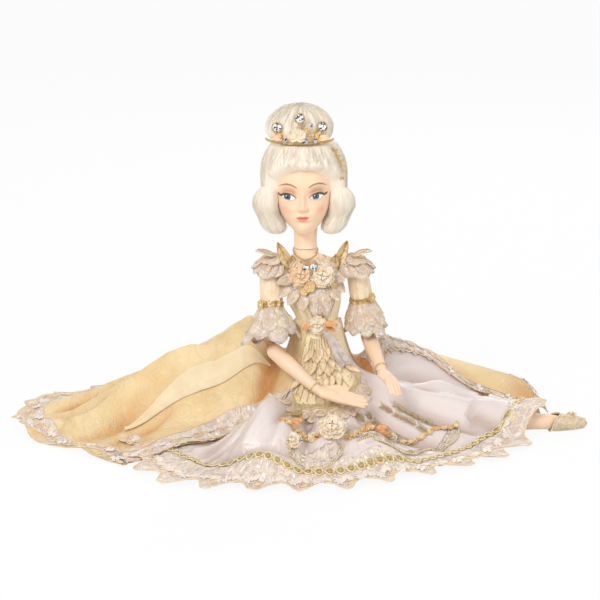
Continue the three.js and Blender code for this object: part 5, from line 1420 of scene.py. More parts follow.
def bun_point(turn, along, lift=0.0):
    """The bun, from its foot at 0 to its top at 1."""
    z = BUN_RINGS[-1][0] * np.sin(np.minimum(along, 1) * np.pi / 2)
    share = eased(z, *np.array(BUN_RINGS).T)
    radius = share * BUN_RADIUS + lift * np.minimum(1, share * 2)
    z = HAIR_TOP + 0.3 + z + lift * smoothstep(along, 0.5, 1)
    return BUN_X + radius * np.cos(turn), radius * 0.94 * np.sin(turn), z


def hair_sheet(name, columns, rows, point, depth, node, seed, closed_low):
    """A brushed form of hair over the given surface, closed below inside what it stands on."""
    def place(u, v):
        turn = 2 * np.pi * u
        along = np.clip((v - 0.06) / 0.94, 0, 1)
        fade = np.clip(np.minimum(along / 0.08, (1 - along) / 0.06), 0, 1)
        x, y, z = point(turn, along, depth * (locks(turn, along, seed) * 0.5 - 0.3) * fade)
        inward = np.clip((0.06 - v) / 0.06, 0, 1)
        top = np.clip((v - 0.985) / 0.015, 0, 1)
        cx, cy, cz = closed_low
        x, y, z = x + (cx - x) * inward, y + (cy - y) * inward, z + (cz - z) * inward
        ends = point(np.array([0.0, np.pi]), np.array([1.0, 1.0]))[0]
        x, y = x + ((ends[0] + ends[1]) / 2 - x) * top, y * (1 - top)
        return (x, y, z), (turn * 45, along * 90)

    mesh = sheet_mesh(columns, rows, place, seam=True)
    return add_object(name, mesh, "hair", "head", [node])


ROLL_RADII = ([257.4, 258.5, 261, 265, 270, 275, 279, 282, 285, 289, 294, 300, 305, 310, 314, 318],
              [0.1, 5.5, 9.6, 12.8, 14.2, 14.0, 13.4, 13.1, 13.7, 14.6, 15.0, 14.8, 13.8, 11.6, 8.0, 0.1])
ROLL_MIDDLE = ([257, 264, 270, 276, 281, 287, 294, 303, 318], [32, 33.5, 36, 38.5, 41, 43.3, 44.6, 44.2, 41])


def curl_point(side):
    """A side roll in two lobes, the lower one smaller."""
    def point(turn, along, lift=0.0):
        z = 318 - 60.6 * along
        radius = eased(z, *ROLL_RADII)
        radius = radius + lift * np.clip(radius / 8, 0, 1)
        x = HEAD_X + side * eased(z, *ROLL_MIDDLE)
        return x + radius * np.cos(turn), -10 + radius * 1.05 * np.sin(turn), z
    return point


def strand_lines(point, count, rng, low, high):
    """Loose strands that follow a form of hair and stray a little from it."""
    lines = []
    for _ in range(count):
        start = rng.uniform(low, high * 0.7)
        end = min(high, start + rng.uniform(0.25, 0.7))
        turn0 = rng.uniform(0, 2 * math.pi)
        swing = rng.uniform(-0.09, 0.09)
        out = rng.uniform(0.2, 2.2)
        along = np.linspace(start, end, 8)
        t = np.linspace(0, 1, 8)
        turn = turn0 + swing * t + 0.02 * np.sin(t * 9 + turn0 * 7)
        x, y, z = point(turn, along, out * (0.35 + 0.65 * t))
        radii = STRAND_RADIUS * np.array([0.5, 0.9, 1, 1, 0.9, 0.75, 0.5, 0.2])
        lines.append(list(zip(x, y, z, radii)))
    return lines


class DOLL_OT_hair(bpy.types.Operator):
    """Makes the pompadour, the bun, the side rolls and their loose strands"""
    bl_idname = "doll.hair"
    bl_label = "Hair"

    def execute(self, context):
        rng = random.Random(11)
        hair_sheet("pompadour", 420, 90, pompadour_point, 1.2, "hair_front", 3, (HEAD_X, 0, 300))
        hair_sheet("bun", 380, 80, bun_point, 1.2, "hair_bun", 9, (BUN_X, 0, HAIR_TOP + 3))
        rolls = {"right": curl_point(-1), "left": curl_point(1)}
        for name, point in rolls.items():
            middle = point(np.array([0.0]), np.array([0.5]))
            centre = (float(middle[0][0]) - 12, -10.0, 316.0)
            hair_sheet(f"side_roll_{name}", 150, 70, point, 1.3, f"side_curl_{name}", 21, centre)
        share = figure().strand_count
        lines = strand_lines(pompadour_point, int(share * 0.42), rng, 0.02, 0.98)
        lines += strand_lines(bun_point, int(share * 0.3), rng, 0.03, 0.97)
        for point in rolls.values():
            lines += strand_lines(point, int(share * 0.14), rng, 0.03, 0.97)
        add_tubes("loose_strands", lines, "hair", body="head")
        return {"FINISHED"}


# Arms and hands

ARMS = {
    "right": {
        "shoulder": (-57, 0, 213), "elbow": (-54, -34, 121), "wrist": (1, -81, 85), "hand": (58, -86, 73)},
    "left": {
        "shoulder": (46, 0, 213), "elbow": (60, 6, 129), "wrist": (76, -52, 100), "hand": (94, -84, 88)},
}
ELBOW_RADIUS = 9.5
WRIST_RADIUS = 6.2


def capsule(bm, start, end, first, last):
    """A round-ended limb between two points, in millimetres."""
    a, b = start * MM, end * MM
    along = b - a
    turn = along.to_track_quat("Z", "Y").to_matrix().to_4x4()
    bmesh.ops.create_cone(bm, cap_ends=True, segments=20, radius1=first * MM, radius2=last * MM,
                          depth=along.length, matrix=Matrix.Translation((a + b) / 2) @ turn)
    for place, radius in ((a, first), (b, last)):
        bmesh.ops.create_icosphere(bm, subdivisions=3, radius=radius * MM, matrix=Matrix.Translation(place))


def add_moulded(node, limbs, body, voxel, rounds):
    """Limbs of resin, melted together into one smooth moulded form."""
    bm = bmesh.new()
    for limb in limbs:
        capsule(bm, *limb)
    piece = add_object(f"{node}_resin", finished(bm), "skin", body, [node])
    melt(piece, voxel, rounds)
    bake_modifiers(piece)


def hand_limbs(wrist, tip, across, curl, thumb_side):
    """Palm, four fingers and a thumb, from the wrist towards the fingertips."""
    wrist, tip, across = Vector(wrist), Vector(tip), Vector(across).normalized()
    ahead = (tip - wrist).normalized()
    down = ahead.cross(across)
    down = down if down.z < 0 else -down
    length = (tip - wrist).length
    limbs = [(wrist, wrist + ahead * length * 0.3, WRIST_RADIUS * 0.86, 5.4)]
    for offset, share in [(-6.4, 0.9), (-2.2, 1.0), (2.1, 0.97), (6.0, 0.84)]:
        knuckle = wrist + ahead * length * 0.44 + across * offset
        middle = knuckle + ahead * length * 0.26 * share + down * curl * 0.25
        end = middle + (ahead * length * 0.28 * share + down * curl)
        limbs.append((wrist + ahead * 4 + across * offset * 0.5, knuckle, 4.6, 3.3))
        limbs.append((knuckle, middle, 3.1, 2.6))
        limbs.append((middle, end, 2.6, 1.8))
    root = wrist + ahead * length * 0.16 + across * thumb_side * 6
    bend = root + ahead * length * 0.2 + across * thumb_side * 4.5 - down * 2
    limbs.append((root, bend, 3.9, 3.0))
    limbs.append((bend, bend + ahead * length * 0.2 - across * thumb_side * 0.5, 2.9, 2.1))
    return limbs


def ring_of_beads(centre, along, radius, count, bead):
    """Beads in a ring square to a limb."""
    turn = Vector(along).to_track_quat("Z", "Y").to_matrix()
    beads = []
    for k in range(count):
        a = 2 * math.pi * k / count
        spot = Vector(centre) + turn @ Vector((radius * math.cos(a), radius * math.sin(a), 0))
        beads.append((*spot, bead))
    return beads


class DOLL_OT_arms(bpy.types.Operator):
    """Makes the forearms, the hands and the bracelets"""
    bl_idname = "doll.arms"
    bl_label = "Arms and hands"

    def execute(self, context):
        hands = {
            "right": {"across": (0.1, 0.72, 0.66), "curl": 1.5, "thumb_side": 1},
            "left": {"across": (0.95, 0.2, -0.2), "curl": 7.0, "thumb_side": -1},
        }
        for name, arm in ARMS.items():
            elbow, wrist, tip = (Vector(arm[key]) for key in ("elbow", "wrist", "hand"))
            near = elbow + (wrist - elbow) * 0.03
            bulge = elbow + (wrist - elbow) * 0.3
            limbs = [(near, bulge, ELBOW_RADIUS - 0.6, ELBOW_RADIUS + 0.2),
                     (bulge, wrist - (wrist - elbow).normalized() * 4, ELBOW_RADIUS + 0.2, WRIST_RADIUS)]
            add_moulded(f"forearm_{name}", limbs, f"forearm_{name}", 0.9, 10)
            add_moulded(f"hand_{name}", hand_limbs(wrist, tip, **hands[name]), f"hand_{name}", 0.55, 4)
            ahead = (wrist - elbow).normalized()
            beads = ring_of_beads(wrist - ahead * 7, ahead, WRIST_RADIUS + 1.6, 30, 0.75)
            drop = Vector(beads[22][:3])
            beads += [(drop.x, drop.y - 0.4, drop.z - 1.2 * k, 0.6) for k in range(1, 4)]
            add_beads(f"bracelet_{name}_chain", beads, "gilt", body=f"forearm_{name}",
                      replaces=[f"bracelet_{name}"])
        return {"FINISHED"}


# Petals, blooms, beads and cut stones: the small forms that the trims are made of

PETAL_SHAPES = {
    "leaf": ([0, 0.12, 0.38, 0.7, 0.9, 1], [0.12, 0.5, 1, 0.72, 0.34, 0.03]),
    "round": ([0, 0.2, 0.6, 0.84, 0.95, 1], [0.3, 0.62, 1, 0.86, 0.55, 0.06]),
    "bloom": ([0, 0.2, 0.55, 0.82, 0.95, 1], [0.4, 0.85, 1, 0.9, 0.6, 0.2]),
}
CORD_RADIUS = 0.6
CORD_LIFT = 0.5
SCROLL_RADIUS = 0.42
SCROLL_LIFT = 0.75
FLOWER_OPEN = 1.2


def petal(base, ahead, out, length, width, shape="leaf", curl=0.0, cup=0.0, wave=0.0):
    """A petal that grows ahead from its base with its face to out: curl bends its tip towards out."""
    ahead = Vector(ahead).normalized()
    out = Vector(out)
    out = (out - ahead * out.dot(ahead)).normalized()
    return {"base": Vector(base), "ahead": ahead, "out": out, "across": ahead.cross(out), "length": length,
            "width": width, "shape": shape, "curl": curl, "cup": cup, "wave": wave}


def petal_points(p, s, t, lift=0.0):
    """Places on a petal: s from -1 to 1 across it, t from 0 at its base to 1 at its tip."""
    s, t = np.asarray(s, float), np.asarray(t, float)
    half = p["width"] / 2 * eased(t, *PETAL_SHAPES[p["shape"]])
    bend = p["curl"] if abs(p["curl"]) > 1e-3 else 1e-3
    run = p["length"] * np.sin(bend * t) / bend
    rise = p["length"] * (1 - np.cos(bend * t)) / bend
    over = p["cup"] * p["width"] / 2 * s**2 + p["wave"] * np.sin(t * 9 + s * 2) * np.abs(s) + lift
    run, rise = run - over * np.sin(bend * t), rise + over * np.cos(bend * t)
    frame_vectors = [np.array(p[key])[None, :] for key in ("ahead", "out", "across")]
    weights = (run, rise, half * s)
    return np.array(p["base"])[None, :] + sum(w[:, None] * f for w, f in zip(weights, frame_vectors))


def petals_mesh(petals, columns=6, rows=8):
    """Many petals in one mesh, with UVs in metres of cloth."""
    bm = bmesh.new()
    for _ in petals:
        bmesh.ops.create_grid(bm, x_segments=columns, y_segments=rows, size=0.5)
    mesh = finished(bm)
    grid = coordinates(mesh).reshape(len(petals), -1, 3)
    places, cloth = [], []
    for k, p in enumerate(petals):
        s, t = grid[k, :, 0] * 2, grid[k, :, 1] + 0.5
        places.append(petal_points(p, s, t))
        cloth.append(np.stack([s * p["width"] / 2 + 17 * k, t * p["length"] + 11 * k], 1))
    lay_out(mesh, np.concatenate(places), np.concatenate(cloth))
    mesh.update()
    return mesh


def line_through(points, radius):
    """Places with a radius: a cord's line, or beads."""
    return [(*point, radius) for point in points]


def petal_outline(p, radius=CORD_RADIUS):
    """The cord sewn round a petal's edge."""
    t = np.linspace(0.02, 0.985, 9)
    there = petal_points(p, np.full(9, 0.97), t, CORD_LIFT)
    back = petal_points(p, np.full(9, -0.97), t[::-1], CORD_LIFT)
    return line_through(np.concatenate([there, back]), radius)


def petal_scroll(p):
    """A scroll of cord in the middle of a petal, with its stalk."""
    turns = np.linspace(0, 3.6 * np.pi, 20)
    reach = 0.62 * (1 - turns / turns[-1] * 0.9)
    s, t = reach * np.cos(turns), 0.58 + 0.24 * reach * np.sin(turns) / 0.62
    return line_through(petal_points(p, np.append(0, s), np.append(0.08, t), SCROLL_LIFT), SCROLL_RADIUS)


def petal_rib(p, count, radius, lift=0.6):
    """A row of beads down the middle of a petal."""
    return line_through(petal_points(p, np.zeros(count), np.linspace(0.02, 0.97, count), lift), radius)


def bead_row(points, radius, spacing):
    """Round beads at even steps along a line of points."""
    points = np.asarray(points, float)
    far = np.concatenate([[0], np.cumsum(np.linalg.norm(np.diff(points, axis=0), axis=1))])
    steps = np.arange(0, far[-1], spacing)
    return [tuple(np.interp(step, far, points[:, k]) for k in range(3)) + (radius,) for step in steps]


def rose_petals(centre, axis, radius):
    """A ribbon rose: tight petals inside and two open rings round them."""
    axis = Vector(axis).normalized()
    side = axis.orthogonal().normalized()
    other = axis.cross(side)
    made = []
    rings = [(3, 0.06, 0.6, 0.8, 0.1, 0.9), (4, 0.14, 0.7, 0.95, 0.5, 0.5), (5, 0.2, 0.78, 1.05, 0.95, -0.5),
             (6, 0.24, 0.86, 1.1, 1.3, -0.6)]
    for ring, (count, root, length, width, open_angle, curl) in enumerate(rings):
        for k in range(count):
            turn = 2 * math.pi * (k + 0.37 * ring) / count
            away = side * math.cos(turn) + other * math.sin(turn)
            ahead = axis * math.cos(open_angle) + away * math.sin(open_angle)
            face = axis * math.sin(open_angle) - away * math.cos(open_angle)
            base = Vector(centre) + away * radius * root
            made.append(petal(base, ahead, face, radius * length, radius * width, "bloom", curl, 0.55))
    return made


def flower_petals(centre, axis, radius, count):
    """An open flower of flat petals."""
    axis = Vector(axis).normalized()
    side = axis.orthogonal().normalized()
    other = axis.cross(side)
    made = []
    for k in range(count):
        turn = 2 * math.pi * k / count + 0.3
        away = side * math.cos(turn) + other * math.sin(turn)
        ahead = axis * math.cos(FLOWER_OPEN) + away * math.sin(FLOWER_OPEN)
        face = axis * math.sin(FLOWER_OPEN) - away * math.cos(FLOWER_OPEN)
        base = Vector(centre) + away * 0.3
        made.append(petal(base, ahead, face, radius, radius * 0.95, "round", -0.3, 0.3))
    return made


def stones_mesh(stones, sides=10):
    """Round cut stones, each (place, axis, radius): a crown with a table over a pointed back."""
    bm = bmesh.new()
    for place, axis, radius in stones:
        turn = Vector(axis).to_track_quat("Z", "Y").to_matrix().to_4x4()
        at = Matrix.Translation(Vector(place) * MM) @ turn
        r = radius * MM
        bmesh.ops.create_cone(bm, cap_ends=True, segments=sides, radius1=r, radius2=0.56 * r, depth=0.36 * r,
                              matrix=at @ Matrix.Translation((0, 0, 0.18 * r)))
        bmesh.ops.create_cone(bm, cap_ends=True, segments=sides, radius1=0.5 * r, radius2=r, depth=0.3 * r,
                              matrix=at @ Matrix.Translation((0, 0, -0.16 * r)))
    return finished(bm)


def stone_setting(place, axis, radius, bead, count=14):
    """The ring of small beads round a cut stone."""
    return ring_of_beads(place, axis, radius + bead * 0.8, count, bead)


def lace_petals(name, petals, replaces=(), crossing=None):
    """Lace petals and the cord sewn on them, on the root body, or, where they cross a joint, on no body with
    their thickness baked in.

    crossing is the two bodies of the joint and the two places in metres at its ends; only whether it is given
    is used.
    """
    body = None if crossing else "root"
    lace = add_object(name, petals_mesh(petals), "fine_lace", body, replaces, thick=0.45)
    lines = [petal_outline(p) for p in petals] + [petal_scroll(p) for p in petals]
    cords = add_object(f"{name}_cord", tube_mesh(lines), "cord", body)
    if crossing:
        for item in (lace, cords):
            bake_modifiers(item)
            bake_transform(item)


def add_beads(name, beads, look, body="root", replaces=(), fineness=1):
    add_object(name, beads_mesh(beads, fineness), look, body, replaces)


def add_petals(name, petals, look, body="root", replaces=(), columns=6, rows=8, thick=0.5):
    add_object(name, petals_mesh(petals, columns, rows), look, body, replaces, thick=thick)


def add_tubes(name, lines, look, body="root", replaces=(), sides=4):
    add_object(name, tube_mesh(lines, sides), look, body, replaces)


def add_stones(name, stones, look, body="root", replaces=(), sides=10):
    add_object(name, stones_mesh(stones, sides), look, body, replaces, smooth=False)


# Bodice

TRUNK_PROFILE = [
    (143, 21.5, 17.5, 0, 0), (155, 23.6, 18.8, -1.6, 0), (168, 28.2, 21.1, -3.6, 0), (180, 30.6, 23, -5, 0),
    (193, 32, 24, -6, 0), (205, 31.8, 21.8, -6.4, 0), (216, 30.4, 18, -7.2, -5), (223, 25.5, 17, -9.5, -5),
]
BODICE_CLEAR = 2.1


def trunk_surface(turn, z, lift):
    """Places over the trunk: its turn in radians, its height, and how far out from it."""
    heights, wide, deep, mid_x, mid_y = np.array(TRUNK_PROFILE).T
    rx, ry = eased(z, heights, wide) + lift, eased(z, heights, deep) + lift
    return (eased(z, heights, mid_x) + rx * np.cos(turn), eased(z, heights, mid_y) + ry * np.sin(turn),
            np.asarray(z, float))


def on_bodice(turn, z, lift=0.0):
    """One point on the bodice, with the turn in degrees from the doll's left side, and the way out of it."""
    a = np.array([math.radians(turn)])
    x, y, h = (float(c[0]) for c in trunk_surface(a, np.array([float(z)]), BODICE_CLEAR + lift))
    return Vector((x, y, h)), Vector((math.cos(a[0]), math.sin(a[0]) * 1.3, 0.1)).normalized()


class DOLL_OT_bodice(bpy.types.Operator):
    """Makes the satin bodice with its lace point, lace leaves, necklace and collar leaves"""
    bl_idname = "doll.bodice"
    bl_label = "Bodice and neckline"

    def execute(self, context):
        def place(u, v):
            turn = 2 * np.pi * u
            z = 139 + (220.5 + 2.5 * np.cos(turn * 2) - 139) * v
            front = np.exp(-(((turn - 1.5 * np.pi) / 0.9) ** 2))
            pleat = 0.55 * np.sin(turn * 16) * front * smoothstep(z, 200, 150)
            pleat = pleat + 0.2 * np.sin(turn * 37 + z * 0.06)
            edge = 0.6 * smoothstep(v, 0.96, 1.0)
            x, y, z = trunk_surface(turn, z, BODICE_CLEAR + pleat + edge)
            return (x, y, z), (turn * 28, z)

        mesh = sheet_mesh(180, 60, place, seam=True)
        add_sheet("satin_bodice", mesh, "bodice_brocade", ["bodice"], 1.0)
        self.sash()
        self.lace_point()
        self.leaves()
        self.neckline()
        self.necklace()
        self.collar_leaves()
        return {"FINISHED"}

    def sash(self):
        """A soft band round the waist, over the top of the skirts."""
        def place(u, v):
            turn = 2 * np.pi * u
            z = 133 + 19 * v
            lift = eased(v, [0, 0.65, 0.85, 1], [8.2, 7.6, 5.6, 2.6]) + 0.4 * np.sin(v * 14 + turn)
            x, y, _ = trunk_surface(turn, np.maximum(z, 143), lift)
            return (x, y, z), (turn * 28, v * 19)

        add_sheet("waist_sash", sheet_mesh(120, 14, place, seam=True), "leaf_satin", [], 0.6)

    def lace_point(self):
        """The heart of lace that runs down to the waist, with beads along its edge."""
        def at(s, v, lift):
            half = 16 * eased(v, [0, 0.12, 0.32, 0.6, 0.85, 1], [0.45, 0.85, 1, 0.78, 0.4, 0.02])
            z = 194.5 - 45.5 * v
            heights, wide, _, middle_x, _ = np.array(TRUNK_PROFILE).T
            middle_x, wide = eased(z, heights, middle_x), eased(z, heights, wide)
            turn = 1.5 * np.pi + np.arcsin(np.clip((s * half + 3 - middle_x) / (wide + 3), -0.9, 0.9))
            return trunk_surface(turn, z, BODICE_CLEAR + lift)

        def place(u, v):
            v = 1 - v
            s = (u - 0.5) * 2
            return at(s, v, 1.5 + 0.4 * np.sin(s * 9)), (s * 16, v * 46)

        add_sheet("bodice_lace_point", sheet_mesh(30, 40, place), "fine_lace",
                  ["bodice_lace_front"], 0.5)
        v = np.linspace(0.02, 0.99, 24)
        edge = [np.stack(at(np.full(24, side), v, 1.9), 1) for side in (-1.0, 1.0)]
        beads = sum((bead_row(e, 0.75, 1.55) for e in edge), [])
        add_beads("bodice_point_beads", beads, "gilt")
        turns = np.linspace(0, 4 * np.pi, 34)
        scrolls = []
        for s0, v0, size in ((0.42, 0.3, 0.42), (-0.42, 0.3, 0.42), (0, 0.58, 0.4)):
            reach = size * (1 - turns / turns[-1] * 0.9)
            xyz = at(s0 + reach * np.cos(turns), v0 + reach * 0.42 * np.sin(turns), 2.1)
            scrolls.append(line_through(np.stack(xyz, 1), 0.35))
        add_tubes("bodice_point_cord", scrolls, "cord")

    def leaves(self):
        """Lace leaves over the sides of the chest and a ruffle under the flowers."""
        made = []
        for turn, z, lean, length, width in [
                (238, 196, -0.5, 24, 15), (252, 190, -0.15, 22, 15), (224, 200, -0.9, 24, 15),
                (306, 198, 0.6, 22, 15), (318, 203, 0.8, 18, 14), (292, 192, 0.2, 21, 14),
                (232, 209, -1.3, 22, 14), (310, 211, 1.2, 17, 13), (262, 214, -0.9, 15, 11),
                (284, 215, 0.9, 15, 11)]:
            base, out = on_bodice(turn, z, 1.4)
            ahead = Vector((lean, -0.15, -1.0 if abs(lean) < 1 else -0.55))
            made.append(petal(base, ahead, out, length, width, "leaf", 0.25, -0.25, 0.5))
        lace_petals("bodice_lace_leaves", made)

    def neckline(self):
        """Small lace petals that lie up over the shoulders towards the neck, open in a V at the front."""
        made = []
        for turn in range(-58, 240, 13):
            base, _ = on_bodice(turn, 217, 1.2)
            to_neck = Vector((-15, -4, 236)) - base
            sideways = to_neck.cross(Vector((0, 0, 1))).normalized()
            out = sideways.cross(to_neck)
            out = out if out.z > 0 else -out
            reach = min(19.0, to_neck.length - 15.5)
            made.append(petal(base + out.normalized() * 1.5, to_neck + Vector((0, 0, 3)), out, reach, 13,
                              "round", 0.25, -0.15, 0.4))
        lace_petals("neckline_lace", made)

    def necklace(self):
        turn = np.linspace(0, 2 * np.pi, 160)
        front = np.clip((1 - np.sin(turn)) / 2, 0, 1)
        drop = front**2.4
        x = -15 + (14.6 + 0.4 * drop) * np.cos(turn)
        y = -5.4 + (14.4 + 2.4 * drop) * np.sin(turn)
        z = 239.4 - 10.0 * drop
        beads = bead_row(np.stack([x, y, z], 1), 1.0, 1.8)
        low = min(beads, key=lambda b: b[2])
        beads += [(low[0] + 2.1 * math.cos(a), low[1] - 1.2 - 0.1 * k, low[2] - 3.2 + 2.6 * math.sin(a), 0.6)
                  for k, a in enumerate(np.linspace(0, 2 * math.pi, 12))]
        add_beads("necklace_chain", beads, "gilt", replaces=["necklace"])

    def collar_leaves(self):
        for name, x, y, lean, ahead in (("right", -33, -14.5, -1, (-0.44, 0.08, 0.9)),
                                        ("left", 22, -9.5, 1, (0.36, 0.08, 0.93))):
            main = petal((x, y, 216), ahead, (0, -1, 0.1), 35, 13, "leaf", -0.15, 0.35)
            low = (x + lean * 2, y + 0.6, 214)
            wings = [petal(low, (lean * wide, 0.1, high), (0, -1, 0.15), size, 11, "leaf", -0.1, 0.3)
                     for wide, high, size in ((0.36, 0.95, 25), (0.5, 0.8, 17), (0.5, 0.6, 11))]
            inner = (x - lean * 3, y, 214)
            wings.append(petal(inner, (lean * 0.08, 0, 1), (0, -1, 0.1), 20, 11, "leaf", 0.2, 0.3))
            add_petals(f"collar_leaves_{name}", [main, *wings], "gilt_cloth",
                       replaces=[f"collar_leaf_{name}"], thick=0.7)
            lines = [petal_outline(p, 0.5) for p in (main, *wings)]
            beads = petal_rib(main, 24, 0.85) + sum((petal_rib(p, 16, 0.5) for p in wings), [])
            add_tubes(f"collar_leaf_{name}_edges", lines, "gilt")
            add_beads(f"collar_leaf_{name}_beads", beads, "gilt")


# Sleeves, shoulder lace and cuffs

# Shares of the way from shoulder to elbow, and each cuff's petal length and width with how far it opens
SLEEVE_SHARE = 0.8
BAND_SHARE = 0.48
CUFFS = {"right": (50, 25, 0.5), "left": (44, 20, 0.34)}


class DOLL_OT_sleeves(bpy.types.Operator):
    """Makes the sleeves with their bead bands, the lace on the shoulders and the lace cuffs"""
    bl_idname = "doll.sleeves"
    bl_label = "Sleeves, shoulder lace and cuffs"

    def execute(self, context):
        for name, arm in ARMS.items():
            shoulder, elbow = Vector(arm["shoulder"]), Vector(arm["elbow"])
            along = (elbow - shoulder).normalized()
            side = -1 if name == "right" else 1
            self.sleeve(name, shoulder, elbow, along)
            self.band(name, shoulder + (elbow - shoulder) * BAND_SHARE, along, side)
            self.shoulder_lace(name, shoulder, side)
            self.cuff(name, arm, along)
        return {"FINISHED"}

    def sleeve(self, name, shoulder, elbow, along):
        turn_to = along.to_track_quat("Z", "Y").to_matrix()
        length = (elbow - shoulder).length * SLEEVE_SHARE + 9
        axes = np.array(turn_to)

        def place(u, v):
            turn = 2 * np.pi * u
            t = v * length - 9
            radius = eased(t, [-9, -7.5, -2, 8, 30, length - 14, length - 9],
                           [2.5, 8.5, 12, 13, 13.2, 12.4, 11.4])
            fold = 0.5 * np.sin(turn * 7 + v * 3) + 0.35 * np.sin(turn * 13 - v * 6)
            fold = fold * smoothstep(v, 0.1, 0.5)
            crease = 0.6 * np.exp(-(((v - 0.62 - 0.06 * np.sin(turn)) / 0.05) ** 2))
            radius = radius + fold - crease
            local = np.stack([radius * np.cos(turn), radius * np.sin(turn), t])
            x, y, z = axes @ local + np.array(shoulder)[:, None]
            return (x, y, z), (turn * 12.5, v * length)

        add_sheet(f"satin_sleeve_{name}", sheet_mesh(90, 70, place, seam=True), "sleeve_satin",
                  [f"sleeve_{name}"], 0.7,
                  f"upper_arm_{name}")

    def band(self, name, centre, along, side):
        """Gold beads in a band above the cuff, with a small gilt flower on its outer side."""
        beads = []
        for row in range(4):
            spot = centre - along * (5.5 - 1.7 * row)
            beads += ring_of_beads(spot, along, 13.0 + 0.4 * math.sin(row * 2.2), 46, 0.95)
        rng = random.Random(5)
        turn = along.to_track_quat("Z", "Y").to_matrix()
        for _ in range(60):
            a = rng.uniform(0, 2 * math.pi)
            out = turn @ Vector((math.cos(a), math.sin(a), 0))
            spot = centre - along * rng.uniform(0, 7) + out * rng.uniform(13.4, 14.8)
            beads.append((*spot, rng.uniform(0.6, 1.2)))
        add_beads(f"arm_band_{name}_beads", beads, "gilt", body=f"upper_arm_{name}")
        out = Vector((side * 0.9, -0.6, 0.1)).normalized()
        middle = centre - along * 4 + out * 14
        petals = flower_petals(middle, out, 6.2, 6)
        add_petals(f"arm_band_{name}_flower", petals, "gold_pearl", body=f"upper_arm_{name}",
                   columns=4, rows=5)
        beads = [(*(middle + out * 1.4), 1.7)]
        beads += ring_of_beads(middle + out * 0.8, out, 2.6, 8, 0.7)
        add_beads(f"arm_band_{name}_eye", beads, "pearl", body=f"upper_arm_{name}", fineness=2)

    def shoulder_lace(self, name, shoulder, side):
        """Two layers of lace petals that spread from the neckline over the shoulder."""
        made = []
        top = shoulder + Vector((-side * 9, 0, 15.5))
        for degrees in range(-80, 81, 20):
            a = math.radians(degrees)
            away = Vector((side * math.cos(a), math.sin(a), 0))
            ahead = away + Vector((0, 0, -0.05 - 0.35 * abs(math.sin(a))))
            length = 33 - 3 * abs(math.sin(a)) + 3 * math.sin(degrees * 0.9)
            made.append(petal(top + away * 4, ahead, (0, 0, 1), length, 21, "round", -0.85, -0.15, 0.7))
        for degrees in range(-70, 71, 28):
            a = math.radians(degrees)
            away = Vector((side * math.cos(a), math.sin(a), 0))
            made.append(petal(top + away * 2 + Vector((0, 0, 1.8)), away + Vector((0, 0, 0.05)), (0, 0, 1),
                              23, 18, "round", -0.8, -0.1, 0.7))
        for place, ahead, out, length, width, shape, cup in [
                ((side * 3, -8, 1), (side * 0.9, -0.45, 0.42), (0, -0.4, 1), 27, 13, "leaf", 0.3),
                ((side * 6, -13, -3), (side * 0.55, -0.5, -0.7), (side * 0.3, -1, 0.2), 25, 16, "round",
                 -0.2),
                ((-side * 3, -12, -2), (-side * 0.1, -0.4, -1), (0, -1, 0.3), 22, 15, "round", -0.2)]:
            made.append(petal(top + Vector(place), ahead, out, length, width, shape, -0.1, cup))
        start = (top - Vector((side * 4, 0, 0))) * MM
        end = (shoulder + Vector((side * 8, 0, 0))) * MM
        lace_petals(f"shoulder_lace_{name}", made, [f"collar_lace_{name}"],
                    (("root", f"upper_arm_{name}"), start, end))

    def cuff(self, name, arm, along):
        """Rounded lace petals that fall from the arm band over the elbow."""
        shoulder, elbow, wrist = (Vector(arm[key]) for key in ("shoulder", "elbow", "wrist"))
        start = shoulder + (elbow - shoulder) * (BAND_SHARE - 0.02)
        turn = along.to_track_quat("Z", "Y").to_matrix()
        side = -1 if name == "right" else 1
        long_petal, wide_petal, spread = CUFFS[name]
        made = []
        layers = [(long_petal, wide_petal, spread), (long_petal * 0.78, wide_petal * 0.85, spread + 0.18)]
        for layer, (length, width, opened) in enumerate(layers):
            for k in range(9):
                a = 2 * math.pi * (k + 0.5 * layer) / 9
                out = turn @ Vector((math.cos(a), math.sin(a), 0))
                low = Vector((0, 0, -1))
                ahead = (along * 0.75 + low * 0.25) * math.cos(opened) + out * math.sin(opened)
                inner = max(0.0, -side * out.x)
                long = length * (1 + 0.1 * math.sin(5 * a + 1) - 0.16 * inner)
                made.append(petal(start + out * (12.0 + layer), ahead, out, long, width, "round",
                                  0.15 - 0.4 * layer, -0.35, 0.5))
        first = (elbow - along * 8) * MM
        last = (elbow + (wrist - elbow).normalized() * 16) * MM
        lace_petals(f"cuff_lace_{name}", made, [f"sleeve_lace_{name}"],
                    ((f"upper_arm_{name}", f"forearm_{name}"), first, last))


# Flowers and jewels on the bodice and at the waist

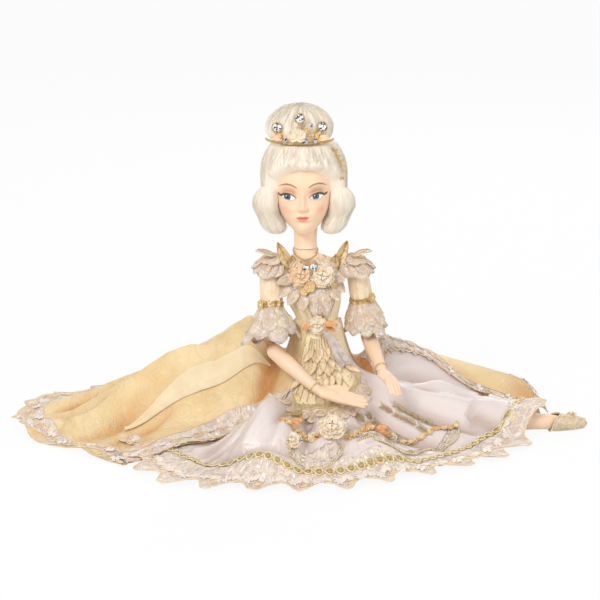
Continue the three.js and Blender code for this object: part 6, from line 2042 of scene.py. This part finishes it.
class DOLL_OT_flowers(bpy.types.Operator):
    """Makes the ribbon roses, the crystals and gilt flowers, and the waist bow"""
    bl_idname = "doll.flowers"
    bl_label = "Roses and jewels"

    def execute(self, context):
        blooms = [
            ("peach_rose", "rose_peach", (-21, -25.5, 212), (0.05, -1, 0.25), 11.5, "peach"),
            ("cream_rose", "rose_cream", (5, -25.5, 211), (-0.05, -1, 0.2), 12.5, "cream"),
            ("waist_rose_bloom", "waist_rose", (-1, -28.5, 150.5), (0, -1, 0.45), 9.5, "cream"),
        ]
        for name, node, centre, axis, radius, look in blooms:
            add_petals(name, rose_petals(centre, axis, radius), look, replaces=[node],
                       columns=8, rows=8)
            heart = Vector(centre) + Vector(axis).normalized() * radius * 0.45
            beads = [(*heart, radius * 0.16)]
            add_beads(f"{name}_heart", beads, "gold_pearl", fineness=2)
        self.jewels()
        self.gilt_flowers()
        self.bow()
        return {"FINISHED"}

    def jewels(self):
        stones, beads = [], []
        for turn, z, radius in ((258, 220, 4.2), (276, 221, 4.6), (295, 216, 3.8), (268, 205, 3.6),
                                (246, 203, 2.8), (302, 207, 2.6)):
            place, out = on_bodice(turn, min(z, 222), 3.2)
            stones.append((place, out, radius))
            beads += stone_setting(place, out, radius, 0.65)
        add_stones("bodice_stones", stones, "crystal")
        rng = random.Random(21)
        for turn, z, spread, count in [
                (262, 199, 7, 40), (300, 203, 6, 30), (285, 160, 4, 20), (277, 219, 6, 16)]:
            for _ in range(count):
                place, out = on_bodice(turn + rng.gauss(0, spread), z + rng.gauss(0, spread * 0.5), 2.4)
                beads.append((*place, rng.uniform(0.6, 1.3)))
        add_beads("bodice_beads", beads, "gilt")

    def gilt_flowers(self):
        petals, eyes = [], []
        for turn, z, radius in [
                (264, 198, 7.0), (303, 207, 7.4), (253, 192, 5.0), (310, 200, 5.5), (287, 153, 5.0)]:
            place, out = on_bodice(turn, z, 3.2)
            petals += flower_petals(place, out, radius, 5)
            eyes.append((*(place + out * 1.2), 1.5))
            eyes += ring_of_beads(place + out * 0.8, out, 2.6, 7, 0.6)
        add_petals("bodice_gilt_flowers", petals, "gold_pearl", columns=4, rows=5)
        add_beads("bodice_flower_eyes", eyes, "pearl", fineness=2)

    def bow(self):
        """Orange ribbon leaves and two silver tails under the waist rose."""
        loops = [petal((6, -31, 152), (0.9, -0.25, 0.1), (0, -0.5, 1), 17, 10, "leaf", -0.3, 0.4),
                 petal((5, -31, 150), (0.95, -0.3, -0.25), (0, -0.6, 1), 16, 9, "leaf", -0.2, 0.4),
                 petal((-7, -31, 152), (-0.9, -0.2, -0.35), (0, -0.6, 1), 13, 9, "leaf", -0.3, 0.4)]
        add_petals("waist_ribbon_leaves", loops, "orange")
        tails = []
        for bend, reach, drop in ((0.0, 34, 40), (0.5, 26, 44)):
            t = np.linspace(0, 1, 14)
            x = 5 + reach * t + 2 * np.sin(t * 5 + bend)
            y = -33 - 12 * t
            z = 148 - drop * t**0.9
            tails.append(np.stack([x, y, z], 1))
        for k, points in enumerate(tails):
            def place(u, v, points=points):
                t = v * (len(points) - 1)
                x, y, z = (np.interp(t, np.arange(len(points)), points[:, c]) for c in range(3))
                s = (u - 0.5) * 2
                return (x + 2.6 * s, y - 0.4 * s, z + 2.2 * s + 0.6 * np.abs(s)), (s * 4, v * 60)

            mesh = sheet_mesh(6, 40, place)
            add_object(f"waist_ribbon_tail_{k + 1}", mesh, "ribbon", "root", thick=0.4)


# Apron

APRON_START = -141
APRON_SPAN = 132
APRON_TOP_ROW = 0.03
APRON_ROW = 0.42


def apron_place(across, down, lift):
    """Places on the apron: across from 0 to 1, down from 0 at the waist to 1 at its bead edge's hem."""
    across, down = np.asarray(across, float), np.asarray(down, float)
    middle = APRON_START + APRON_SPAN / 2
    angle = middle + APRON_SPAN * (across - 0.5) * (1.35 - 0.35 * smoothstep(down, 0, 0.9))
    round_end = 0.45 + 0.55 * np.sqrt(np.maximum(0, 1 - (2 * across - 1) ** 2 * 0.8))
    row = APRON_TOP_ROW + (APRON_ROW * round_end - APRON_TOP_ROW) * down
    x, y = gore_point(angle, row)
    return x, y, satin_height(angle, row, x, y) + 2.4 + lift


class DOLL_OT_apron(bpy.types.Operator):
    """Makes the embroidered apron with its satin leaves, its bead edge and its lace fall"""
    bl_idname = "doll.apron"
    bl_label = "Apron"

    def execute(self, context):
        def cloth(u, v):
            v = 1 - v
            pleat = 0.7 * np.sin(u * 40 + 3 * np.sin(v * 4)) * smoothstep(v, 0.05, 0.5)
            return apron_place(u, v, pleat), (u * 90, v * 85)

        add_sheet("embroidered_apron", sheet_mesh(110, 90, cloth), "bodice_brocade", ["apron"],
                  0.9)
        self.leaves()
        self.bead_edge()
        self.fall()
        return {"FINISHED"}

    def leaves(self):
        """Satin leaf folds that fan out from the waist, each with a beaded rib."""
        rng = random.Random(3)
        lines, beads, leaves = [], [], []
        for k in range(9):
            first, last = 0.28 + 0.055 * k, 0.04 + 0.115 * k
            t = np.linspace(0.1, 0.88, 16)
            across = first + (last - first) * t**0.8
            points = np.stack(apron_place(across, t, 2.0 + 0.8 * np.sin(t * 3)), 1)
            beads += bead_row(points, 0.7, 1.7)
            for start in (0.16, 0.38, 0.6):
                j = int(start * 15)
                root, tip = Vector(points[j]), Vector(points[min(j + 4, 15)])
                lean = Vector(points[min(j + 1, 15)] - points[j]).cross(Vector((0, -0.5, 1))).normalized()
                ahead = (tip - root).normalized() + lean * rng.choice((-0.55, 0.55))
                leaves.append(petal(root, ahead, (0, -0.6, 1), rng.uniform(17, 22), 8.0, "leaf", -0.05, 0.2))
            lines += [petal_outline(leaf, 0.32) for leaf in leaves[-3:]]
        add_petals("apron_satin_leaves", leaves, "leaf_satin")
        add_tubes("apron_leaf_cord", lines, "cord")
        for _ in range(220):
            x, y, z = apron_place(rng.uniform(0.06, 0.94), rng.uniform(0.06, 0.9), 1.0)
            beads.append((float(x), float(y), float(z), rng.uniform(0.45, 0.8)))
        add_beads("apron_beads", beads, "gilt")

    def bead_edge(self):
        across = np.linspace(0.02, 0.98, 120)
        rows = [np.stack(apron_place(across, np.full(120, down), lift), 1)
                for down, lift in ((0.9, 1.6), (0.925, 2.4), (0.95, 2.4), (0.975, 1.6))]
        beads = sum((bead_row(row, 1.0, 2.0) for row in rows), [])
        add_beads("apron_edge_beads", beads, "cord_gold", replaces=["apron_bead_edge"])

    def fall(self):
        def place(u, v):
            v = 1 - v
            scallop = np.abs(np.sin(u * np.pi * 9)) ** 0.6
            down = 0.98 + v * (0.18 + 0.09 * scallop)
            ruffle = 2.2 * np.sin(u * np.pi * 18 + 0.5) * v
            return apron_place(u, down, -0.4 + np.maximum(-1.0, ruffle)), (u * 120, v * 24)

        add_sheet("apron_lace_fall", sheet_mesh(200, 20, place), "fine_lace", ["apron_lace"],
                  LACE_SHEET)
        petals = []
        for k in range(13):
            across = 0.06 + 0.88 * k / 12
            base = Vector([float(c) for c in apron_place(across, 1.0, 1.2)])
            tip = Vector([float(c) for c in apron_place(across, 1.25, 1.2)])
            petals.append(petal(base, tip - base, (0, -0.5, 1), 17, 12, "round", 0.1, -0.15))
        lace_petals("apron_lace_petals", petals)


# Trims that lie on the gown

def beside(angle, row, along, down):
    """Gore angle and row of a place some millimetres along and down from another."""
    angle, row = np.asarray(angle, float), np.asarray(row, float)
    x0, y0 = gore_point(angle - 0.5, row)
    x1, y1 = gore_point(angle + 0.5, row)
    return angle + along / np.hypot(x1 - x0, y1 - y0), row + down / row_length(angle, row)


def on_gown(height, angle, row, lift=0.0):
    """Points over a layer of the gown, as rows of x, y and z."""
    x, y = gore_point(angle, row)
    return np.stack([x, y, height(np.asarray(angle, float), np.asarray(row, float), x, y) + lift], -1)


BRAID_LINE = ([-166, -145, -126, -111, -90, -73, -51, -20, -4, 2, 9],
              [0.86, 0.8, 0.8, 0.82, 0.86, 0.865, 0.865, 0.835, 0.865, 0.905, 0.93])
BRAID_PERIOD = 12
GARLAND_LINE = ([-112, -100, -84, -70, -50, -36, -20, -6], [0.665, 0.66, 0.69, 0.7, 0.66, 0.6, 0.66, 0.74])


def braid_height(angle, row, x, y):
    """Where the braid lies on the lace."""
    return lace_height(angle, row, x, y) + 0.5


class DOLL_OT_skirt_trims(bpy.types.Operator):
    """Makes the gilt braid, the garland, the bead swags and the leaf sprays on the satin"""
    bl_idname = "doll.skirt_trims"
    bl_label = "Skirt trims"

    def execute(self, context):
        self.braid()
        self.garland()
        self.swags()
        self.sprays()
        return {"FINISHED"}

    def braid(self):
        angles, length = arc_table(BRAID_LINE[0][0], BRAID_LINE[0][-1], 0.84)
        total = float(length[-1])

        def at(along, down, lift):
            angle = np.interp(along, length, angles)
            angle, row = beside(angle, eased(angle, *BRAID_LINE), 0.0, down)
            return on_gown(braid_height, angle, row, lift)

        def ribbon(u, v):
            xyz = at(u * total, (v - 0.5) * 4.0, 0.2)
            return (xyz[:, 0], xyz[:, 1], xyz[:, 2]), (u * total, v * 4.0)

        mesh = sheet_mesh(420, 4, ribbon)
        add_object("hem_braid_ribbon", mesh, "braid", "root", ["hem_braid"], thick=0.6)
        along = np.linspace(0, total, int(total / BRAID_PERIOD * 10))
        phase = along / BRAID_PERIOD * np.pi
        cords = [line_through(at(along, side * 3.2 * np.sin(phase), 1.4 + 0.5 * side * np.cos(phase)), 0.7)
                 for side in (-1, 1)]
        middles = np.arange(BRAID_PERIOD / 2, total, BRAID_PERIOD)
        turns = np.linspace(0, 2 * np.pi, 13)
        for middle in middles:
            cords.append(line_through(at(middle + 4.4 * np.cos(turns), 3.7 * np.sin(turns), 1.3), 0.85))
        add_tubes("hem_braid_loops", cords, "cord_gold", sides=6)
        discs = [(*point, 2.3) for point in at(middles, 0.0, 0.4)]
        small = [(*point, 1.0) for point in at(middles + BRAID_PERIOD / 2, 0.0, 1.4)]
        add_beads("hem_braid_discs", discs + small, "braid", fineness=2)

    def garland(self):
        rng = random.Random(8)
        creams, oranges, pearls, golds, stones = [], [], [], [], []

        def spot(angle, down=0.0, lift=1.2):
            angle, row = beside(angle, eased(np.asarray(angle, float), *GARLAND_LINE), 0.0, down)
            return Vector([float(c) for c in on_gown(satin_height, angle, row, lift)])

        for angle in np.arange(-110, -5, 2.6):
            base = spot(angle)
            ahead = (spot(angle + 3) - base).normalized()
            for lean in (-0.7, 0.7):
                tilt = ahead + Vector((0, -lean * 0.3, 0)) + Vector((0, 0, 0.25)) + Vector((0, 0, lean * 0.3))
                leaf = petal(base, tilt, (0, -0.6, 1), rng.uniform(8, 13), 5.5, "leaf", -0.5, 0.5)
                (golds if rng.random() < 0.78 else oranges).append(leaf)
            pearls += [(*(base + Vector((rng.gauss(0, 2.0), rng.gauss(0, 2.0), rng.uniform(0.4, 2.4)))),
                        rng.uniform(0.9, 1.9)) for _ in range(7)]
        for angle, down in ((-107, -3), (-36, -2), (-47, 4)):
            base = spot(angle, down, 2.0)
            for ahead in ((1, -0.2, 0.3), (-1, -0.1, 0.35), (0.6, -0.8, 0.1)):
                oranges.append(petal(base, ahead, (0, -0.5, 1), 15, 9, "leaf", -0.35, 0.5))
        for angle, down, radius in ((-104, 12, 10), (-64, -4, 6), (-92, -2, 6), (-30, 0, 6.5)):
            base = spot(angle, down, 1.2)
            creams += rose_petals(base, (0, -0.7, 1), radius)
            stones.append((base + Vector((radius, -3, 2)), (0, -0.8, 0.7), 2.2))
        node_low, node_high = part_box("garland_rose")
        centre = Vector([(a + b) / 2 / MM for a, b in zip(node_low, node_high)]) - Vector((0, 0, 3))
        bloom = rose_petals(centre, (0.05, -0.75, 1), 14.5)
        add_petals("garland_cream_rose", bloom, "cream", replaces=["garland_rose"], columns=8,
                   rows=8)
        groups = [("garland_cream_buds", creams, "cream", "cream_silk", []),
                  ("garland_ribbon_leaves", oranges, "orange", "peach_silk", []),
                  ("garland_gilt_leaves", golds, "gilt_cloth", "gold_trim", ["skirt_garland"])]
        for name, petals, look, slot, nodes in groups:
            add_petals(name, petals, look, replaces=nodes, columns=5, rows=6, thick=0.45)
        add_beads("garland_pearls", pearls, "gold_pearl")
        heart = [(*(centre + Vector((0, -5, 6))), 2.0)]
        add_beads("garland_rose_heart", heart, "gold_pearl", fineness=2)
        add_stones("garland_stones", stones, "crystal")

    def swags(self):
        """Bead-edged swags of lace under the garland."""
        beads, small = [], []
        for number, start, end, top, sag in [
                (1, -106, -74, 0.745, 0.1), (2, -66, -24, 0.75, 0.035), (3, -24, -6, 0.75, 0.03)]:
            def place(u, v, start=start, end=end, top=top, sag=sag):
                angle = start + (end - start) * u
                row = top - 0.006 + (sag + 0.006) * np.sin(np.pi * u) * (1 - v)
                x, y = gore_point(angle, row)
                z = lace_height(angle, row, x, y) + 0.9 + 0.8 * np.sin(u * 40)
                return (x, y, z), (u * 120, v * 20)

            add_sheet(f"swag_lace_{number}", sheet_mesh(80, 10, place), "fine_lace", [], 0.4)
            t = np.linspace(0, 1, 60)
            angle = start + (end - start) * t
            row = top + sag * np.sin(np.pi * t)
            beads += bead_row(on_gown(lace_height, angle, row, 1.4), 1.4, 2.7)
            for k in range(1, 5):
                inner = top + (sag + 0.012) * np.sin(np.pi * t) * (1 - 0.22 * k) - 0.003 * k
                small += bead_row(on_gown(lace_height, angle[4:-4], inner[4:-4], 0.8), 0.75, 2.0)
        add_beads("swag_edge_beads", beads, "cord_gold")
        add_beads("swag_small_beads", small, "bronze")

    def sprays(self):
        """Embroidered sprays on the satin: a stem with leaves of small beads."""
        rng = random.Random(14)
        beads, leaves = [], []
        stems = [(-113, 0.63, -109, 0.36, 16), (-108, 0.62, -104, 0.42, 12), (-68, 0.62, -70, 0.48, 10),
                 (-32, 0.64, -40, 0.42, 16), (-24, 0.68, -27, 0.44, 16), (-16, 0.7, -17, 0.46, 18),
                 (-10, 0.7, -11, 0.5, 14)]
        for a0, r0, a1, r1, count in stems:
            t = np.linspace(0, 1, 24)
            angle = a0 + (a1 - a0) * t + 1.2 * np.sin(t * 4)
            row = r0 + (r1 - r0) * t
            stem = on_gown(satin_height, angle, row, 3.2)
            beads += bead_row(stem, 0.5, 1.5)
            for k in range(count):
                j = int(2 + (k + 0.5) * 20 / count)
                root, ahead = Vector(stem[j]), Vector(stem[min(j + 1, 23)] - stem[j]).normalized()
                for side in (-1, 1):
                    across = ahead.cross(Vector((0, -0.5, 1))).normalized() * side
                    size = rng.uniform(5.5, 8.5)
                    leaf = petal(root, ahead + across * 0.9, (0, -0.6, 1), size, 2.2, "leaf", 0.2)
                    leaves.append(leaf)
                    beads += petal_rib(leaf, 6, 0.38, 0.4)
        add_petals("spray_leaves", leaves, "bronze", columns=3, rows=4, thick=0.35)
        add_beads("spray_beads", beads, "gilt")


# Relief of the lace: corded edges, scrolls and flowers

class DOLL_OT_lace_relief(bpy.types.Operator):
    """Makes the cords, scrolls and petals that stand up on the lace of the hem, train and front bands"""
    bl_idname = "doll.lace_relief"
    bl_label = "Lace relief"

    def execute(self, context):
        self.hem()
        self.train()
        self.bands()
        return {"FINISHED"}

    def add(self, name, lines, petals):
        add_tubes(f"{name}_cord", lines, "cord")
        if petals:
            add_petals(f"{name}_petals", petals, "petal", columns=4, rows=5, thick=0.4)

    def motif(self, place, petals, lines, size, down=1.0):
        """A flower of six petals between two scrolls; place(along, down) gives points on the lace."""
        middle = Vector(place(0.0, 0.0)[0])
        ahead = Vector(place(0.5, 0.0)[0]) - middle
        below = Vector(place(0.0, 0.5)[0]) - middle
        out = ahead.cross(below)
        out = out if out.z > 0 else -out
        for k in range(6):
            a = 2 * math.pi * k / 6
            away = ahead.normalized() * math.cos(a) + below.normalized() * math.sin(a)
            base = middle + out.normalized() * 0.5
            petals.append(petal(base, away, out, size * 0.5, size * 0.27, "round", 0.2))
        turns = np.linspace(0, 3.2 * np.pi, 16)
        reach = size * 0.42 * (1 - turns / turns[-1] * 0.85)
        for side in (-1, 1):
            along = side * (size * 0.98 - reach * np.cos(turns))
            lines.append(line_through(place(along, size * 0.25 * down + reach * np.sin(turns)), 0.7))

    def hem(self):
        lines, petals = [], []
        angles, length = arc_table(-178, 20, 1.0)
        steps = np.arange(0, float(length[-1]), 2.2)
        angle = np.interp(steps, length, angles)
        for inset, radius in ((0.6, 0.75), (3.4, 0.5)):
            row = hem_edge(angle) - inset / hem_row_length(angle)
            lines.append(line_through(on_gown(lace_height, angle, row, 0.6), radius))
        for spot in np.arange(12, float(length[-1]) - 6, 30):
            a = float(np.interp(spot, length, angles))
            row = 0.885 if -170 < a < 6 else 0.93

            def place(along, down, a=a, row=row):
                angle, r = beside(a, row, np.atleast_1d(along), np.atleast_1d(down))
                return on_gown(lace_height, angle, np.minimum(r, 1.005), 1.1)

            base = Vector(place(0.0, 0.0)[0])
            for lean in (-1, 1):
                tip = Vector(place(lean * 6.5, 9.0)[0])
                petals.append(petal(base, tip - base, (0, -0.3, 1), 12, 8.5, "round", 0.1, -0.2))
            self.motif(lambda along, down: place(np.atleast_1d(along) + 15, np.atleast_1d(down) + 8),
                       petals, lines, 13)
        self.add("hem_lace_relief", lines, petals)

    def train(self):
        lines, petals = [], []
        angles, length = arc_table(15, 204, 2.0)
        steps = np.arange(0, float(length[-1]), 2.4)
        angle = np.interp(steps, length, angles)
        for inset, radius in ((0.8, 0.75), (4.0, 0.5)):
            row = train_edge(angle) - inset / train_row_length(angle)
            lines.append(line_through(on_gown(train_lace_height, angle, row, 0.6), radius))
        start = lace_start_row(angle)
        lines.append(line_through(on_gown(train_lace_height, angle, start + 0.01, 0.6), 0.6))
        for spot in np.arange(16, float(length[-1]), 34):
            a = float(np.interp(spot, length, angles))
            row = (float(lace_start_row(np.array([a]))[0]) + float(train_edge(np.array([a]))[0])) / 2

            def place(along, down, a=a, row=row):
                angle, r = beside(a, row, np.atleast_1d(along), np.atleast_1d(down))
                return on_gown(train_lace_height, angle, np.clip(r, 1.0, 1.97), 1.1)

            self.motif(place, petals, lines, 14)
        self.add("train_lace_relief", lines, petals)

    def bands(self):
        lines, petals = [], []
        for side in (-1, 1):
            def place(u, v, side=side):
                angle, row = band_place(side, np.atleast_1d(u), np.atleast_1d(v))
                return on_gown(brocade_height, angle, row, 3.3)

            u = np.linspace(0.01, 0.99, 160)
            lines.append(line_through(place(u, np.full(160, 0.97)), 0.6))
            ripple = 0.05 + 0.12 * (1 - np.abs(np.sin(u * BAND_LENGTH / BAND_SCALLOP * np.pi)) ** 0.6)
            lines.append(line_through(place(u, ripple), 0.75))
            for middle in np.arange(0.07, 0.97, 0.125):
                def about(along, down, middle=middle):
                    across = 0.55 + np.atleast_1d(down) / LEFT_BAND_WIDTH
                    return place(middle + np.atleast_1d(along) / 200, across)

                self.motif(about, petals, lines, 11, -0.6)
        self.add("front_band_relief", lines, petals)


# Tiara and hair ornament

TIARA_REACH = (39.9, 37.6)
TIARA_BASE = 369


def tiara_point(degrees, z, out=0.0):
    """A place on the tiara's ring round the bun, or further out."""
    a = math.radians(degrees)
    return Vector((BUN_X + (TIARA_REACH[0] + out) * math.cos(a), (TIARA_REACH[1] + out) * math.sin(a), z))


class DOLL_OT_tiara(bpy.types.Operator):
    """Makes the tiara with its stones, pearls and ribbon flower, and the leaf spray in the hair"""
    bl_idname = "doll.tiara"
    bl_label = "Tiara and hair spray"

    def execute(self, context):
        turns = np.linspace(-172, -8, 90)
        rows = [[tiara_point(t, TIARA_BASE + rise, out) for t in turns]
                for rise, out in ((0.6, 0.0), (1.7, 0.4), (2.8, 0.0))]
        wires = [line_through(row, 0.45) for row in rows]
        beads = bead_row([tuple(p) for p in rows[1]], 0.85, 1.8)
        settings = []
        for name, degrees, rise in (("right", -128, 388.5), ("middle", -90, 400.5), ("left", -52, 389.5)):
            out = Vector((math.cos(math.radians(degrees)) * 0.5, -1, 0.3)).normalized()
            place = tiara_point(degrees, rise, 3.0)
            add_stones(f"tiara_crystal_{name}", [(place, out, 5.2)], "crystal", body="head",
                       replaces=[f"tiara_stone_{name}"], sides=12)
            settings += stone_setting(place, out, 5.4, 0.85, 22)
            settings += ring_of_beads(place - out * 1.6, out, 5.2, 20, 0.8)
            base = [tiara_point(degrees + lean, TIARA_BASE + 2, 0.5) for lean in (-9, 0, 9)]
            for foot in base:
                middle = (foot + place) / 2 + Vector((0, -1, -1))
                wires.append(line_through([foot, middle, place - out * 1.5], 0.6))
            wires.append(line_through([place - out * 1.6, place - out * 2.6], 4.6))
        add_tubes("tiara_wires", wires, "gilt", body="head", replaces=["tiara_band"], sides=6)
        add_beads("tiara_beads", beads + settings, "gilt", body="head")
        self.trims()
        self.spray()
        return {"FINISHED"}

    def trims(self):
        bow = []
        centre = Vector((-25, -42.5, 380))
        for ahead, length, width in [
                ((-1, -0.2, 0.35), 12, 10), ((1, -0.25, 0.35), 12, 10), ((-0.4, -0.2, 1), 11, 10),
                ((0.5, -0.2, 1), 10, 9), ((-0.9, -0.3, -0.5), 10, 8), ((0.9, -0.3, -0.55), 10, 8)]:
            bow.append(petal(centre, ahead, (0, -1, 0.25), length, width, "bloom", 0.35, 0.35))
        add_petals("tiara_ribbon_flower", bow, "cream", body="head", replaces=["tiara_flower"])
        ribbons = [petal(tiara_point(d, 376, 2), (lean, -0.3, 0.1), (0, -1, 0.4), 15, 7, "leaf", 0.1, 0.4)
                   for d, lean in ((-118, -1), (-125, 0.9), (-60, 1))]
        add_petals("tiara_peach_ribbon", ribbons, "peach", body="head")
        rng = random.Random(17)
        pearls, lilacs = [], []
        for degrees, z, spread, count in [
                (-66, 381, 5, 14), (-58, 376, 4, 10), (-122, 379, 3, 7), (-78, 387, 3, 6)]:
            for _ in range(count):
                turn, rise, out = rng.gauss(0, spread), rng.gauss(0, 2.6), rng.uniform(2, 4.5)
                place = tiara_point(degrees + turn, z + rise, out)
                pearls.append((*place, rng.uniform(1.1, 2.3)))
        for degrees, z, radius in ((-82, 374, 3.2), (-112, 375, 2.8), (-72, 392, 2.6), (-66, 374, 2.4)):
            lilacs.append((tiara_point(degrees, z, 4.5), (0.1, -1, 0.2), radius))
        add_beads("tiara_pearls", pearls, "gold_pearl", body="head", fineness=2)
        add_stones("tiara_lilac_stones", lilacs, "lilac", body="head")

    def spray(self):
        """Small gilt leaves on a wire that runs down the side of the hair."""
        turn = np.linspace(-0.62, -0.46, 12)
        along = np.linspace(0.97, 0.16, 12)
        stem = np.stack(pompadour_point(turn, along, 1.8), 1)
        leaves, beads = [], bead_row(stem, 0.7, 2.2)
        for k in (1, 3, 5, 7, 9, 11):
            root, ahead = Vector(stem[k]), Vector(stem[k] - stem[k - 1]).normalized()
            out = Vector((0.75, -0.65, 0.1))
            across = ahead.cross(out).normalized()
            for side in (-1, 1):
                away = ahead + across * side * 0.9
                leaves.append(petal(root, away, out, 7.0 - 0.2 * k, 2.5, "leaf", 0.5, 0.4))
        add_petals("hair_gilt_leaves", leaves, "gilt", body="head",
                   replaces=["hair_leaf_spray"], columns=4, rows=6)
        add_beads("hair_spray_beads", beads, "gilt", body="head")


# Lower legs and shoes

LEGS = {
    "right": {"knee": (-60, -90, 25), "ankle": (12, -106, 18), "toe": (56, -113, 13)},
    "left": {"knee": (140, 0, 26), "ankle": (284, 9, 17), "toe": (331, 15, 13)},
}
KNEE_RADIUS = 16
ANKLE_RADIUS = 10


class DOLL_OT_legs(bpy.types.Operator):
    """Makes the moulded lower legs and the beaded shoes"""
    bl_idname = "doll.legs"
    bl_label = "Lower legs and shoes"

    def execute(self, context):
        for name, leg in LEGS.items():
            knee, ankle, toe = (Vector(leg[key]) for key in ("knee", "ankle", "toe"))
            calf = knee + (ankle - knee) * 0.32
            foot = ankle + (toe - ankle) * 0.86
            limbs = [(knee, calf, KNEE_RADIUS - 0.4, KNEE_RADIUS - 1),
                     (calf, ankle, KNEE_RADIUS - 1, ANKLE_RADIUS - 0.6),
                     (ankle, foot, ANKLE_RADIUS - 0.6, ANKLE_RADIUS * 0.48)]
            add_moulded(f"lower_leg_{name}", limbs, f"leg_{name}", 1.6, 8)
            self.shoe(name, ankle, toe)
        return {"FINISHED"}

    def shoe(self, name, ankle, toe):
        ahead = (toe - ankle).normalized()
        length = (toe - ankle).length
        up = Vector((0, 0, 1)) - ahead * ahead.z
        up.normalize()
        side = ahead.cross(up)

        def point(around, t, lift=0.0):
            """around is 0 at the instep; the opening is cut lower over the instep than at the sides."""
            opening = 0.02 + 0.24 * np.exp(-((wrapped(np.degrees(around)) / 52) ** 2))
            far = opening + (1 - opening) * t
            radius = eased(far, [0, 0.2, 0.5, 0.8, 0.93, 1], [12.4, 12.3, 10.6, 8.0, 5.6, 0.4]) + lift
            reach = length * far * 1.02
            local = np.outer(reach, np.array(ahead)) + np.outer(np.cos(around) * radius * 0.92, np.array(up))
            return local + np.outer(np.sin(around) * radius, np.array(side)) + np.array(ankle)

        def place(u, v):
            around = 2 * np.pi * u
            xyz = point(around, v)
            return (xyz[:, 0], xyz[:, 1], np.maximum(xyz[:, 2], 4.2)), (around * 11, v * length)

        add_object(f"beaded_shoe_{name}", sheet_mesh(60, 40, place, seam=True), "shoe", f"leg_{name}",
                   [f"shoe_{name}"], thick=1.4)
        around = np.linspace(0, 2 * np.pi, 80)
        beads = bead_row(point(around, np.full(80, 0.01), 0.5), 1.0, 2.0)
        rng = random.Random(2)
        for _ in range(150):
            a, t = rng.uniform(-1.9, 1.9), rng.uniform(0.04, 0.92)
            spot = point(np.array([a]), np.array([t]), 0.3)[0]
            beads.append((*spot, rng.uniform(0.5, 0.85)))
        add_beads(f"shoe_{name}_beads", beads, "pearl", body=f"leg_{name}")
        middle = Vector(point(np.array([-0.5]), np.array([0.5]), 1.0)[0])
        out = (up + side * -0.4 + Vector((0, -0.4, 0))).normalized()
        add_petals(f"shoe_{name}_flower", flower_petals(middle, out, 5.5, 6), "gilt_cloth",
                   body=f"leg_{name}", columns=4, rows=5, thick=0.45)
        add_stones(f"shoe_{name}_stone", [(middle + out * 1.4, out, 2.4)], "crystal", body=f"leg_{name}")


class DOLL_PT_pieces(bpy.types.Panel):
    """Lists the pieces of the doll"""
    bl_label = "Seated lady doll"
    bl_idname = "DOLL_PT_pieces"
    bl_space_type = "VIEW_3D"
    bl_region_type = "UI"
    bl_category = "Doll"

    def draw(self, context):
        for group in (gown(), figure()):
            for key in group.bl_rna.properties.keys():
                if key not in ("rna_type", "name"):
                    self.layout.prop(group, key)
        for operator in PANEL_OPERATORS:
            self.layout.operator(operator.bl_idname)


PANEL_OPERATORS = [
    DOLL_OT_stage, DOLL_OT_stuffing, DOLL_OT_underskirt, DOLL_OT_overskirt, DOLL_OT_head, DOLL_OT_hair,
    DOLL_OT_arms, DOLL_OT_bodice, DOLL_OT_sleeves, DOLL_OT_flowers, DOLL_OT_apron, DOLL_OT_skirt_trims,
    DOLL_OT_lace_relief, DOLL_OT_tiara, DOLL_OT_legs,
]
CLASSES = [DollGownSettings, DollFigureSettings, *PANEL_OPERATORS, DOLL_PT_pieces]


def register():
    for item in CLASSES:
        bpy.utils.register_class(item)
    bpy.types.Scene.doll_gown = bpy.props.PointerProperty(type=DollGownSettings)
    bpy.types.Scene.doll_figure = bpy.props.PointerProperty(type=DollFigureSettings)


def unregister():
    del bpy.types.Scene.doll_figure
    del bpy.types.Scene.doll_gown
    for item in reversed(CLASSES):
        bpy.utils.unregister_class(item)


def main():
    register()
    for operator in PANEL_OPERATORS:
        group, call = operator.bl_idname.split(".")
        getattr(getattr(bpy.ops, group), call)()
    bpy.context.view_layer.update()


if __name__ == "__main__":
    main()
